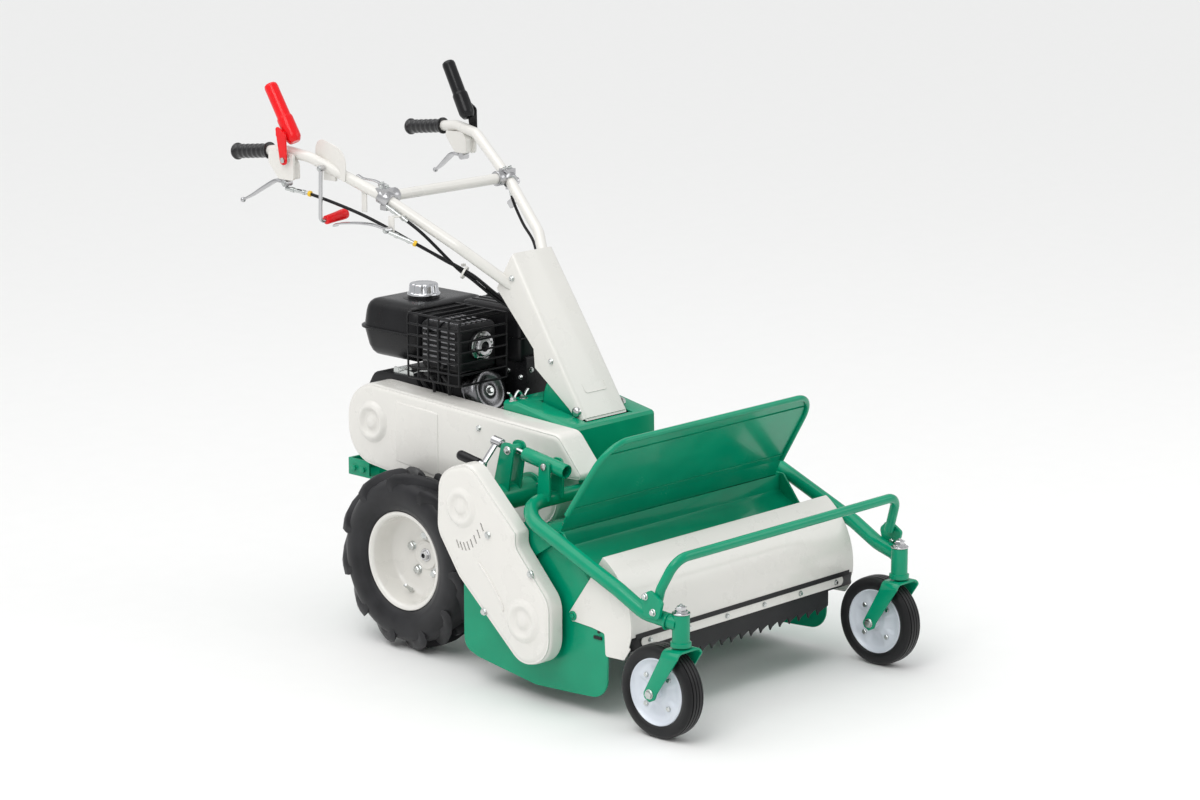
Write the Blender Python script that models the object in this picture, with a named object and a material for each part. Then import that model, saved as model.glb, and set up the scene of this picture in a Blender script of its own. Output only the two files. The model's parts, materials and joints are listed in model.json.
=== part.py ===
"""Walk-behind hammer knife mower, modelled as separate sub-parts.

Metres, +Z up. -Y is the front, where the casters are, +Y is the side of the operator,
and -X is the right-hand side of the machine, where the belt covers are. Sizes are laid
out from the ground below the middle of the rear axle, and the whole machine is then
moved by TO_MIDDLE, so that its origin is on the ground below the middle of its length
and width.
"""
import bpy
import bmesh
from math import radians, degrees, sin, cos, tan, acos, atan2, pi, sqrt
from mathutils import Vector, Matrix

# From the middle of the rear axle to the middle of the machine's length and width
TO_MIDDLE = Vector((0.011, 0.183, 0.0))

# Clearances between pieces
GAP = 0.0003
RUN = 0.0006

# Ground wheels
WHEEL_SIDES = 20
TYRE_R = 0.206
TYRE_HALF = 0.052
LUG_H = 0.014
LUG_COUNT = 11
BEAD_R = 0.105
FLANGE_R = 0.113
FLANGE_HALF = 0.038
DISH = 0.037
WHEEL_X = 0.261
HUB_R = 0.028
AXLE_TUBE_R = 0.031
AXLE_HALF = 0.190

# Cutting deck
ROTOR_HALF = 0.330
ROTOR_END_GAP = 0.0253
DECK_X = ROTOR_HALF + ROTOR_END_GAP
SIDE_T = 0.005
DECK_OUT = DECK_X + SIDE_T
SHEET_T = 0.003
ROTOR_Y = -0.497
ROTOR_Z = 0.192
SHELL_R = 0.190
LEDGE_Y = -0.541
KNIFE_TIP_R = 0.145
ROTOR_TUBE_R = 0.042
ROTOR_SHAFT_R = 0.014
KNIFE_ROWS = 3
LUGS_PER_ROW = 3
ROD_CIRCLE_R = 0.066
KNIFE_W = 0.026
ROD_R = 0.005
ROD_SIDES = 8
GUARD_INSET = 0.0073
GUARD_HALF = DECK_X - GUARD_INSET
GUARD_H = 0.203
GUARD_TOP_Y = -0.663

# From the side plates of the deck outwards: hood, brackets, frame tube, stems, bumper
HOOD_T = 0.0025
HOOD_IN = DECK_OUT + RUN
HOOD_OUT = HOOD_IN + HOOD_T
BRACKET_IN = HOOD_OUT + 0.0016
FRAME_X = BRACKET_IN + 0.019
STEM_X = FRAME_X - 0.026
BUMPER_X = BRACKET_IN + 0.0255

# Casters
CASTER_R = 0.100
CASTER_HALF = 0.024
CASTER_RIM_R = 0.072
STEM_Y = -0.892
STEM_R = 0.0185
STEM_LOW = 0.2045
STEM_HIGH = 0.274
TRAIL = 0.051
FORK_T = 0.0045
FORK_HALF = 0.038
CASTER_BOLT_R = 0.006

# Caster frame and bumper
FRAME_TUBE_R = 0.016
FRAME_PIVOT_Y = -0.449
FRAME_PIVOT_Z = 0.333
CROSS_Y = -0.440
CROSS_Z = 0.424
BUMPER_R = 0.0105
SWIVEL_R = 0.0085
BRACKET_T = 0.006
FRAME_PIN_R = 0.007
PIN_HEAD_T = 0.0045

# Hood and flap
HOOD_PIVOT_Y = -0.590
HOOD_PIVOT_Z = 0.211
HOOD_R = 0.168
HOOD_PIN_R = 0.006
FLAP_T = 0.004
FLAP_LOW = 0.131
NOTCH_X = 0.282
NOTCH_Z = 0.164
TOOTH_PITCH = 0.032
TOOTH_H = 0.016
HOOD_EDGE_Z = HOOD_PIVOT_Z + HOOD_R * sin(radians(186))
STRIP_HALF = 0.330

# Belt drive
CRANK_Y = 0.196
CRANK_Z = 0.480
COUNTER_Y = -0.312
COUNTER_Z = 0.408
COUNTER_SHAFT_R = 0.0125
MAIN_CASE_OUT = 0.204
MAIN_CASE_IN = 0.135
COVER_DEPTH = 0.0415
COVER_IN = BRACKET_IN + 0.0135
COVER_OUT = COVER_IN + COVER_DEPTH
COVER_WALL = 0.003
ENGINE_PULLEY_R = 0.046
COUNTER_MAIN_R = 0.060
COUNTER_FRONT_R = 0.058
ROTOR_PULLEY_R = 0.050
BELT_T = 0.008
BELT_W = 0.013
COUNTER_TUBE_R = 0.030
PULLEY_X = 0.176
BELT_X = COVER_IN + 0.0195

# Height adjuster
JACK_X = -0.280
JACK_R = 0.0160
TRUNNION_Y = -0.335
TRUNNION_Z = 0.5165
TRUNNION_R = 0.0110
TRUNNION_HALF = 0.0180
SCREW_R = 0.006
EAR_SHEET_T = 0.005
YOKE_Y = -0.447
YOKE_Z = 0.4990

# Chassis and engine
CHASSIS_TOP = 0.3755
CHASSIS_HALF = 0.130
CHASSIS_FRONT = -0.372
CHASSIS_REAR = 0.290
PLATE_T = 0.0055
RAIL_X = 0.070
RAIL_W = 0.030
RAIL_H = 0.050
HITCH_HALF = 0.125
HITCH_REAR = 0.365
CYL_X = -0.045
CYL_TILT = radians(20)
TANK_Z = 0.600
CAP_R = 0.0385
ENGINE_HALF = 0.078
FAN_X = 0.150
HEAD_D = 0.205
CRANK_R = 0.0125
TANK_X0 = -0.112
TANK_X1 = 0.145
TANK_TOP = 0.735
CAP_X = 0.0
CAP_Y = 0.235
MUFF_X0 = -0.150
MUFF_X1 = -0.030
MUFF_Y0 = -0.034
MUFF_Y1 = 0.092
MUFF_Z0 = 0.614
MUFF_Z1 = 0.722

# Handle
HANDLE_PIVOT_Y = -0.322
HANDLE_PIVOT_Z = 0.561
HANDLE_TUBE_R = 0.0125
HANDLE_X = 0.274
GRIP_R = 0.0165
COLUMN_HALF = 0.070
COLUMN_FOOT_Y = -0.336
COLUMN_FOOT_Z = 0.563
COLUMN_LEAN = radians(56.4)
EAR_X = 0.056
EAR_T = 0.005
CROSSBAR_HALF = 0.178
LEVER_X = HANDLE_X + 0.027
LEVER_Y = 0.371
LEVER_Z = 1.073
SQUEEZE_Y = 0.385
SQUEEZE_Z = 1.0176

SIDES = (("right", -1), ("left", 1))


def clear_scene():
    for obj in list(bpy.data.objects):
        bpy.data.objects.remove(obj, do_unlink=True)


def material(name, colour, roughness, metallic=0.0):
    mat = bpy.data.materials.new(name)
    mat.use_nodes = True
    shader = mat.node_tree.nodes["Principled BSDF"]
    shader.inputs["Base Color"].default_value = (*colour, 1.0)
    shader.inputs["Roughness"].default_value = roughness
    shader.inputs["Metallic"].default_value = metallic
    return mat


clear_scene()
GREEN = material("green_paint", (0.0, 0.26, 0.155), 0.35)
WHITE = material("white_paint", (0.78, 0.76, 0.72), 0.35)
RED = material("red_paint", (0.75, 0.02, 0.02), 0.35)
BLACK = material("black_plastic", (0.02, 0.02, 0.022), 0.45)
RUBBER = material("rubber", (0.018, 0.018, 0.018), 0.75)
STEEL = material("bright_steel", (0.62, 0.62, 0.63), 0.3, 1.0)
ALLOY = material("cast_alloy", (0.55, 0.56, 0.57), 0.4, 1.0)
RIM_GREY = material("rim_grey", (0.62, 0.65, 0.70), 0.4)
DARK = material("dark_engine", (0.035, 0.036, 0.038), 0.5, 0.3)


# Outlines in two dimensions

def arc(centre, radius, start, end, steps):
    """Points on an arc, angles in degrees."""
    out = []
    for i in range(steps + 1):
        a = radians(start + (end - start) * i / steps)
        out.append((centre[0] + radius * cos(a), centre[1] + radius * sin(a)))
    return out


def area(points):
    total = 0.0
    for (ax, ay), (bx, by) in zip(points, points[1:] + points[:1]):
        total += ax * by - bx * ay
    return total / 2


def inset_corners(corners, amount):
    """Move every side of a polygon of (a, b, radius) corners inwards."""
    if not amount:
        return corners
    flat = [(c[0], c[1]) for c in corners]
    turn = 1 if area(flat) > 0 else -1
    out = []
    for i, (ca, cb, radius) in enumerate(corners):
        here = Vector((ca, cb))
        before = (here - Vector(flat[i - 1])).normalized()
        after = (Vector(flat[(i + 1) % len(flat)]) - here).normalized()
        n0 = Vector((-before.y, before.x)) * turn
        n1 = Vector((-after.y, after.x)) * turn
        mitre = (n0 + n1) / (1 + n0.dot(n1))
        convex = (before.x * after.y - before.y * after.x) * turn > 0
        moved = here + mitre * amount
        out.append((moved.x, moved.y, max(radius + (-amount if convex else amount), 0)))
    return out


def rounded(corners, steps=4, inset=0.0):
    """Outline through (a, b, radius) corners, each rounded by its own radius."""
    corners = inset_corners(corners, inset)
    out = []
    for i, (ca, cb, radius) in enumerate(corners):
        here = Vector((ca, cb))
        to_last = Vector(corners[i - 1][:2]) - here
        to_next = Vector(corners[(i + 1) % len(corners)][:2]) - here
        half = to_last.angle(to_next) / 2
        if radius < 1e-5 or abs(half - pi / 2) < 1e-3:
            out.append((ca, cb))
            continue
        reach = min(radius / tan(half), 0.49 * to_last.length, 0.49 * to_next.length)
        radius = reach * tan(half)
        centre = here + (to_last.normalized() + to_next.normalized()).normalized() * (radius / sin(half))
        first = here + to_last.normalized() * reach - centre
        last = here + to_next.normalized() * reach - centre
        sweep = first.angle_signed(last)
        for k in range(steps + 1):
            spoke = first.copy()
            spoke.rotate(Matrix.Rotation(-sweep * k / steps, 2))
            out.append((centre.x + spoke.x, centre.y + spoke.y))
    return out


def thick_line(points, thickness):
    """Closed outline of a bent sheet: the line, and the same line moved to its left."""
    pts = [Vector(p) for p in points]
    moved = []
    for i, here in enumerate(pts):
        before = (here - pts[i - 1]).normalized() if i else (pts[1] - here).normalized()
        after = (pts[i + 1] - here).normalized() if i < len(pts) - 1 else before
        n0 = Vector((-before.y, before.x))
        n1 = Vector((-after.y, after.x))
        moved.append(here + (n0 + n1) / (1 + n0.dot(n1)) * thickness)
    return [tuple(p) for p in pts] + [tuple(p) for p in reversed(moved)]


def fillet_path(points, radius, steps=4):
    """Round the corners of a path in space."""
    pts = [Vector(p) for p in points]
    out = [pts[0]]
    for i in range(1, len(pts) - 1):
        here = pts[i]
        a = pts[i - 1] - here
        b = pts[i + 1] - here
        half = a.angle(b) / 2
        if half > radians(88.5):
            out.append(here)
            continue
        reach = min(radius / tan(half), 0.45 * a.length, 0.45 * b.length)
        real = reach * tan(half)
        centre = here + (a.normalized() + b.normalized()).normalized() * (real / sin(half))
        first = here + a.normalized() * reach - centre
        last = here + b.normalized() * reach - centre
        axis = first.cross(last).normalized()
        sweep = first.angle(last)
        for k in range(steps + 1):
            out.append(centre + Matrix.Rotation(sweep * k / steps, 3, axis) @ first)
    out.append(pts[-1])
    return out


# Solids as bmesh

def loft(sections, closed=False):
    """Skin a list of rings with equal counts, capped at both ends unless closed."""
    bm = bmesh.new()
    rings = [[bm.verts.new(p) for p in ring] for ring in sections]
    count = len(rings[0])
    pairs = list(zip(rings, rings[1:]))
    if closed:
        pairs.append((rings[-1], rings[0]))
    for low, high in pairs:
        for i in range(count):
            j = (i + 1) % count
            bm.faces.new((low[i], low[j], high[j], high[i]))
    if not closed:
        bm.faces.new(list(reversed(rings[0])))
        bm.faces.new(rings[-1])
    bmesh.ops.recalc_face_normals(bm, faces=bm.faces)
    return bm


def slab(outline, low, high, axis="x"):
    """Extrude an outline along an axis. For x the outline is (y, z), y (x, z), z (x, y)."""
    def point(p, t):
        if axis == "x":
            return (t, p[0], p[1])
        if axis == "y":
            return (p[0], t, p[1])
        return (p[0], p[1], t)
    return loft([[point(p, low) for p in outline], [point(p, high) for p in outline]])


def box(low, high):
    return slab([(low[1], low[2]), (high[1], low[2]), (high[1], high[2]), (low[1], high[2])], low[0],
                high[0])


def bevelled_box(low, high, width, segments=2):
    bm = box(low, high)
    bmesh.ops.bevel(bm, geom=bm.edges[:], offset=width, segments=segments, affect="EDGES", profile=0.5)
    return bm


def turned(profile, centre=(0, 0, 0), axis="x", steps=24):
    """Turn (along, radius) points about an axis. Points of radius 0 close on the axis;
    a profile with none of them is closed into a ring."""
    bm = bmesh.new()
    centre = Vector(centre)
    basis = {"x": ((1, 0, 0), (0, 1, 0), (0, 0, 1)),
             "y": ((0, 1, 0), (0, 0, 1), (1, 0, 0)),
             "z": ((0, 0, 1), (1, 0, 0), (0, 1, 0))}[axis]
    along, side, up = (Vector(v) for v in basis)
    rings = []
    for t, r in profile:
        if r < 1e-7:
            rings.append([bm.verts.new(centre + along * t)])
            continue
        rings.append([bm.verts.new(centre + along * t + (side * cos(2 * pi * i / steps)
                      + up * sin(2 * pi * i / steps)) * r) for i in range(steps)])
    pairs = list(zip(rings, rings[1:]))
    if len(rings[0]) > 1 or len(rings[-1]) > 1:
        pairs.append((rings[-1], rings[0]))
    for low, high in pairs:
        for i in range(steps):
            j = (i + 1) % steps
            corners = [low[i % len(low)], low[j % len(low)], high[j % len(high)], high[i % len(high)]]
            face = list(dict.fromkeys(corners))
            if len(face) > 2:
                bm.faces.new(face)
    bmesh.ops.recalc_face_normals(bm, faces=bm.faces)
    return bm


def rod(low, high, radius, sides=12):
    """Plain cylinder between two points."""
    return swept([low, high], circle(radius, sides))


def circle(radius, sides):
    return [(radius * cos(2 * pi * (i + 0.5) / sides),
             radius * sin(2 * pi * (i + 0.5) / sides)) for i in range(sides)]


def clearing(pin_radius, sides):
    """Corner radius of a hole whose flats still clear a pin of this radius."""
    return (pin_radius + RUN) / cos(pi / sides)


def flat_section(width, thickness):
    return [(-width / 2, -thickness / 2), (width / 2, -thickness / 2),
            (width / 2, thickness / 2), (-width / 2, thickness / 2)]


def swept(path, section, side=None, scales=None):
    """Carry a section along a path, mitred at the corners. side is the section's first axis."""
    pts = [Vector(p) for p in path]
    first = (pts[1] - pts[0]).normalized()
    if side is None:
        side = Vector((0, 0, 1)) if abs(first.z) < 0.9 else Vector((1, 0, 0))
    side = Vector(side)
    rings = []
    tangent = first
    side = (side - tangent * side.dot(tangent)).normalized()
    for i, here in enumerate(pts):
        before = (here - pts[i - 1]).normalized() if i else first
        after = (pts[i + 1] - here).normalized() if i < len(pts) - 1 else before
        turn = tangent.rotation_difference(before)
        side = turn @ side
        tangent = before
        plane = (before + after).normalized()
        up = tangent.cross(side)
        ring = []
        grow = scales[i] if scales else 1.0
        for a, b in section:
            offset = side * a * grow + up * b * grow
            offset -= tangent * (offset.dot(plane) / tangent.dot(plane))
            ring.append(here + offset)
        rings.append(ring)
    return loft(rings)


def merged(*parts):
    """One bmesh that holds several closed bodies, for use as a Boolean operand."""
    out = bmesh.new()
    for part in parts:
        temp = bpy.data.meshes.new("operand")
        part.to_mesh(temp)
        part.free()
        out.from_mesh(temp)
        bpy.data.meshes.remove(temp)
    return out


def spun(bm, angle, axis, centre):
    bmesh.ops.rotate(bm, cent=centre, matrix=Matrix.Rotation(angle, 3, axis), verts=bm.verts)
    return bm


# Objects

def pivot(name, location, parent=None):
    """An empty on a joint's axis, which carries the pieces that move there."""
    empty = bpy.data.objects.new(name, None)
    bpy.context.collection.objects.link(empty)
    empty["place"] = tuple(location)
    base = Vector(parent["place"]) if parent else -TO_MIDDLE
    empty.parent = parent
    empty.location = Vector(location) - base
    return empty


def add(name, bm, mat, parent=None, at=None, smooth=40):
    """Make the object. With at, the mesh is drawn about the origin and placed there."""
    mesh = bpy.data.meshes.new(name)
    bm.to_mesh(mesh)
    bm.free()
    mesh.materials.append(mat)
    mesh.shade_smooth()
    mesh.set_sharp_from_angle(angle=radians(smooth))
    obj = bpy.data.objects.new(name, mesh)
    bpy.context.collection.objects.link(obj)
    base = Vector(parent["place"]) if parent else -TO_MIDDLE
    obj.parent = parent
    obj.location = Vector(at or (0, 0, 0)) - base
    return obj


def operate(obj, bm, operation):
    """Boolean with a hidden operand drawn in the same frame as the object's mesh."""
    mesh = bpy.data.meshes.new(obj.name + "_operand")
    bm.to_mesh(mesh)
    bm.free()
    tool = bpy.data.objects.new(obj.name + "_operand", mesh)
    bpy.context.collection.objects.link(tool)
    tool.parent = obj
    tool.hide_render = True
    tool.display_type = "WIRE"
    mod = obj.modifiers.new(operation.lower(), "BOOLEAN")
    mod.operation = operation
    mod.solver = "EXACT"
    mod.object = tool
    return obj


def cut(obj, *parts):
    return operate(obj, merged(*parts), "DIFFERENCE")


def join(obj, *parts):
    """Union, one Boolean for pieces that don't meet each other."""
    return operate(obj, merged(*parts), "UNION")


# Ground wheels

def tyre_profile():
    """Half section from bead to crown, mirrored: (along, radius)."""
    carcass = TYRE_R - LUG_H
    half = [(FLANGE_HALF - 0.0035, BEAD_R), (FLANGE_HALF - 0.0035, FLANGE_R + 0.002),
            (TYRE_HALF, BEAD_R + 0.040),
            (TYRE_HALF - 0.005, carcass - 0.016), (TYRE_HALF - 0.020, carcass - 0.003), (0.0, carcass)]
    return half + [(-a, r) for a, r in reversed(half[:-1])]


def lug(angle, side):
    """One bar of the chevron tread, from the middle of the crown down the shoulder."""
    carcass = TYRE_R - LUG_H
    along = [0.002, TYRE_HALF - 0.004]
    top = [TYRE_R, TYRE_R - 0.006]
    foot = [carcass - 0.006, carcass - 0.024]
    width = [0.0095, 0.0125]
    rings = []
    for t, high, low, half in zip(along, top, foot, width):
        middle = angle + 7.5 * (t / TYRE_HALF) * radians(4.2)
        ring = []
        for radius, edge in ((low, -1.25 * half), (low, 1.25 * half), (high, 0.8 * half),
                             (high, -0.8 * half)):
            a = middle + edge / radius
            ring.append((side * t, radius * cos(a), radius * sin(a)))
        rings.append(ring)
    return loft(rings)


def rim_profile():
    """Pressed rim with its disc set to the inner side, as (along, radius) for the left wheel."""
    w = FLANGE_HALF
    t = 0.003
    seat = BEAD_R - GAP
    return [(w, FLANGE_R), (w - t, FLANGE_R), (w - t, seat), (-w + t, seat), (-w + t, FLANGE_R),
            (-w, FLANGE_R),
            (-w, seat - 2 * t), (-DISH - t, 0.058), (-DISH - t, 0.0), (-DISH, 0.0), (-DISH, 0.058),
            (-w + 4 * t, seat - 2 * t), (w - 0.004, seat - t)]


def rear_wheels():
    for side_name, s in SIDES:
        spin = pivot("wheel_spin_" + side_name, (s * WHEEL_X, 0, TYRE_R))
        place = (s * WHEEL_X, 0, TYRE_R)
        tyre = add("tyre_" + side_name, turned(tyre_profile(), steps=WHEEL_SIDES), RUBBER, spin, place)
        lugs = []
        for i in range(LUG_COUNT):
            lugs.append(lug(2 * pi * i / LUG_COUNT, 1))
            lugs.append(lug(2 * pi * (i + 0.5) / LUG_COUNT, -1))
        join(tyre, *lugs)
        rim = add("rim_" + side_name, turned([(s * a, r) for a, r in rim_profile()], steps=WHEEL_SIDES),
                  WHITE, spin, place)
        hub_in = WHEEL_X - AXLE_HALF - GAP
        hub = turned([(s * -hub_in, 0), (s * -hub_in, HUB_R), (s * -(DISH - 0.002), HUB_R),
                      (s * -(DISH - 0.006), 0.010),
                      (s * -(DISH - 0.014), 0.010), (s * -(DISH - 0.014), 0)], steps=12)
        join(rim, hub)


def drive_unit():
    low = CHASSIS_TOP - PLATE_T
    under = low - GAP
    case_half = RAIL_X - 0.010
    outline = rounded([(-0.090, TYRE_R - 0.078, 0.055), (0.105, TYRE_R - 0.078, 0.055),
                       (0.105, under, 0.012), (-0.110, under, 0.012)], 3)
    case = add("transmission_case", slab(outline, -case_half, case_half), DARK)
    join(case, rod((-AXLE_HALF, 0, TYRE_R), (AXLE_HALF, 0, TYRE_R), AXLE_TUBE_R, 14))
    bosses = []
    for side_name, s in SIDES:
        bosses.append(turned([(s * (case_half - 0.004), 0), (s * (case_half - 0.004), 0.058),
                              (s * (case_half + 0.014), 0.050), (s * (case_half + 0.030), 0.036),
                              (s * (case_half + 0.030), 0)], (0, 0, TYRE_R), "x", 12))
    join(case, *bosses)

    plate = add("chassis", box((-CHASSIS_HALF, CHASSIS_FRONT, low),
                               (CHASSIS_HALF, CHASSIS_REAR, CHASSIS_TOP)), GREEN)
    rails = []
    for side_name, s in SIDES:
        a, b = sorted((s * RAIL_X, s * (RAIL_X + RAIL_W)))
        rails.append(box((a, ROTOR_Y + 0.03, low - RAIL_H), (b, CHASSIS_REAR - 0.004, low + 0.002)))
    join(plate, *rails)
    cut(plate, rod((-0.2, ROTOR_Y, ROTOR_Z), (0.2, ROTOR_Y, ROTOR_Z), SHELL_R + GAP + RUN, 48))
    ears = []
    for side_name, s in SIDES:
        a, b = sorted((s * EAR_X, s * (EAR_X - EAR_T)))
        ear = rounded([(HANDLE_PIVOT_Y - 0.036, low + 0.002, 0), (HANDLE_PIVOT_Y + 0.060, low + 0.002, 0),
                       (HANDLE_PIVOT_Y + 0.012, HANDLE_PIVOT_Z + 0.009, 0.010),
                       (HANDLE_PIVOT_Y - 0.009, HANDLE_PIVOT_Z + 0.009, 0.009),
                       (HANDLE_PIVOT_Y - 0.010, HANDLE_PIVOT_Z - 0.030, 0)], 3)
        ears.append(slab(ear, a, b))
    join(plate, *ears)
    join(plate, rod((-EAR_X + 0.002, HANDLE_PIVOT_Y, HANDLE_PIVOT_Z),
                    (EAR_X - 0.002, HANDLE_PIVOT_Y, HANDLE_PIVOT_Z),
                    0.007, 10))


def rear_hitch():
    low = CHASSIS_TOP - PLATE_T - RAIL_H
    top = low - GAP
    bottom = top - 0.005
    tray = add("rear_hitch", box((-HITCH_HALF, CHASSIS_REAR - 0.09, bottom), (HITCH_HALF, HITCH_REAR, top)),
               GREEN)
    flanges = [box((-HITCH_HALF, CHASSIS_REAR + 0.004, bottom + 0.001),
                   (-HITCH_HALF + 0.005, HITCH_REAR, bottom + 0.040)),
               box((HITCH_HALF - 0.005, CHASSIS_REAR + 0.004, bottom + 0.001),
                   (HITCH_HALF, HITCH_REAR, bottom + 0.040))]
    join(tray, *flanges)
    join(tray, box((-HITCH_HALF + 0.002, HITCH_REAR - 0.006, bottom + 0.001),
                   (HITCH_HALF - 0.002, HITCH_REAR, bottom + 0.040)))
    heads = []
    for y in (HITCH_REAR - 0.022, HITCH_REAR - 0.052):
        for s in (-1, 1):
            heads.append(rod((s * (HITCH_HALF - 0.001), y, bottom + 0.018),
                             (s * (HITCH_HALF + 0.006), y, bottom + 0.018), 0.0075, 6))
    join(tray, *heads)


# Engine

def along_cylinder(d, p):
    """Point (y, z) at distance d from the crank along the cylinder and p across it."""
    return (CRANK_Y - d * cos(CYL_TILT) + p * sin(CYL_TILT),
            CRANK_Z + d * sin(CYL_TILT) + p * cos(CYL_TILT))


def cylinder_slab(d0, d1, p, half):
    outline = [along_cylinder(d0, -p), along_cylinder(d1, -p), along_cylinder(d1, p), along_cylinder(d0, p)]
    return slab(outline, CYL_X - half, CYL_X + half)


def engine():
    base = CHASSIS_TOP + GAP
    face = -MAIN_CASE_IN + GAP
    case = add("engine_block", slab(rounded([
        (CRANK_Y + 0.098, base, 0), (CRANK_Y + 0.098, CRANK_Z + 0.040, 0.03),
        (CRANK_Y + 0.062, CRANK_Z + 0.100, 0.03),
        (CRANK_Y - 0.075, CRANK_Z + 0.100, 0.02), (CRANK_Y - 0.112, CRANK_Z + 0.02, 0.02),
        (CRANK_Y - 0.112, base, 0)], 3),
        face, ENGINE_HALF), DARK)
    join(case, cylinder_slab(0.060, HEAD_D - 0.034, 0.046, 0.048))
    fins = []
    for i in range(5):
        d = 0.114 + i * 0.0118
        fins.append(cylinder_slab(d, d + 0.0042, 0.062, 0.064))
    join(case, *fins)
    join(case, cylinder_slab(HEAD_D - 0.040, HEAD_D, 0.056, 0.058))
    cut(case, rod((face - 0.01, CRANK_Y, CRANK_Z), (face + 0.030, CRANK_Y, CRANK_Z), CRANK_R + RUN, 16))

    cover = turned([(0, 0), (0, 0.060), (0.005, 0.060), (0.026, 0.048), (0.034, 0.038),
                    (0.034, 0.014), (0.040, 0.009), (0.040, 0)], (0, 0, 0), "y", 16)
    spun(cover, pi - CYL_TILT, "X", (0, 0, 0))
    y, z = along_cylinder(HEAD_D + GAP, 0)
    add("rocker_cover", cover, ALLOY, None, (CYL_X, y, z))

    fan = add("fan_housing", slab(rounded([
        (CRANK_Y + 0.112, base, 0.03), (CRANK_Y + 0.112, TANK_Z, 0.085), (CRANK_Y - 0.115, TANK_Z, 0.085),
        (CRANK_Y - 0.115, base, 0.03)], 3), ENGINE_HALF + GAP, FAN_X), DARK)
    join(fan, turned([(FAN_X - 0.003, 0), (FAN_X - 0.003, 0.092), (FAN_X + 0.020, 0.088),
                      (FAN_X + 0.036, 0.066),
                      (FAN_X + 0.040, 0.030), (FAN_X + 0.040, 0)], (0, CRANK_Y, CRANK_Z), "x", 16))

    add("engine_pulley", turned([
        (-PULLEY_X - 0.010, 0), (-PULLEY_X - 0.010, 0.020), (-PULLEY_X - BELT_W / 2 - 0.003, 0.020),
        *groove(-PULLEY_X, ENGINE_PULLEY_R), (-PULLEY_X + BELT_W / 2 + 0.003, CRANK_R),
        (face + 0.029, CRANK_R), (face + 0.029, 0)], (0, 0, 0), "x", 16), STEEL,
        pivot("crank_spin", (0, CRANK_Y, CRANK_Z)), (0, CRANK_Y, CRANK_Z))


def ring_xy(low, high, radius, z, inset):
    corners = [(low[0], low[1], radius), (high[0], low[1], radius), (high[0], high[1], radius),
               (low[0], high[1], radius)]
    return [(x, y, z) for x, y in rounded(corners, 3, inset)]


def fuel_tank():
    low = (TANK_X0, CRANK_Y - 0.056)
    high = (TANK_X1, CRANK_Y + 0.152)
    seam = TANK_Z + 0.070
    steps = [(TANK_Z + GAP, 0.034), (TANK_Z + 0.022, 0.016), (seam - 0.0025, 0.004), (seam - 0.002, -0.004),
             (seam + 0.002, -0.004), (seam + 0.0025, 0.004), (TANK_TOP - 0.026, 0.010),
             (TANK_TOP - 0.009, 0.020),
             (TANK_TOP, 0.040)]
    tank = add("fuel_tank", loft([ring_xy(low, high, 0.045, z, i) for z, i in steps]), BLACK, smooth=50)
    neck = CAP_R - 0.008
    join(tank, rod((CAP_X, CAP_Y, TANK_TOP - 0.008), (CAP_X, CAP_Y, TANK_TOP + 0.006), neck, 14))
    scallops = 8
    sides = scallops * 3
    rings = []
    for z, r, wave in ((0.0063, CAP_R, 0.0), (0.011, CAP_R, 0.0), (0.013, CAP_R - 0.002, 0.06),
                       (0.034, CAP_R - 0.005, 0.06)):
        ring = []
        for i in range(sides):
            a = 2 * pi * i / sides
            rr = r * (1 - wave * (0.5 + 0.5 * cos(scallops * a)))
            ring.append((rr * cos(a), rr * sin(a), z))
        rings.append(ring)
    add("fuel_cap", loft(rings), ALLOY, pivot("cap_turn", (CAP_X, CAP_Y, TANK_TOP)),
        (CAP_X, CAP_Y, TANK_TOP))


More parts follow.
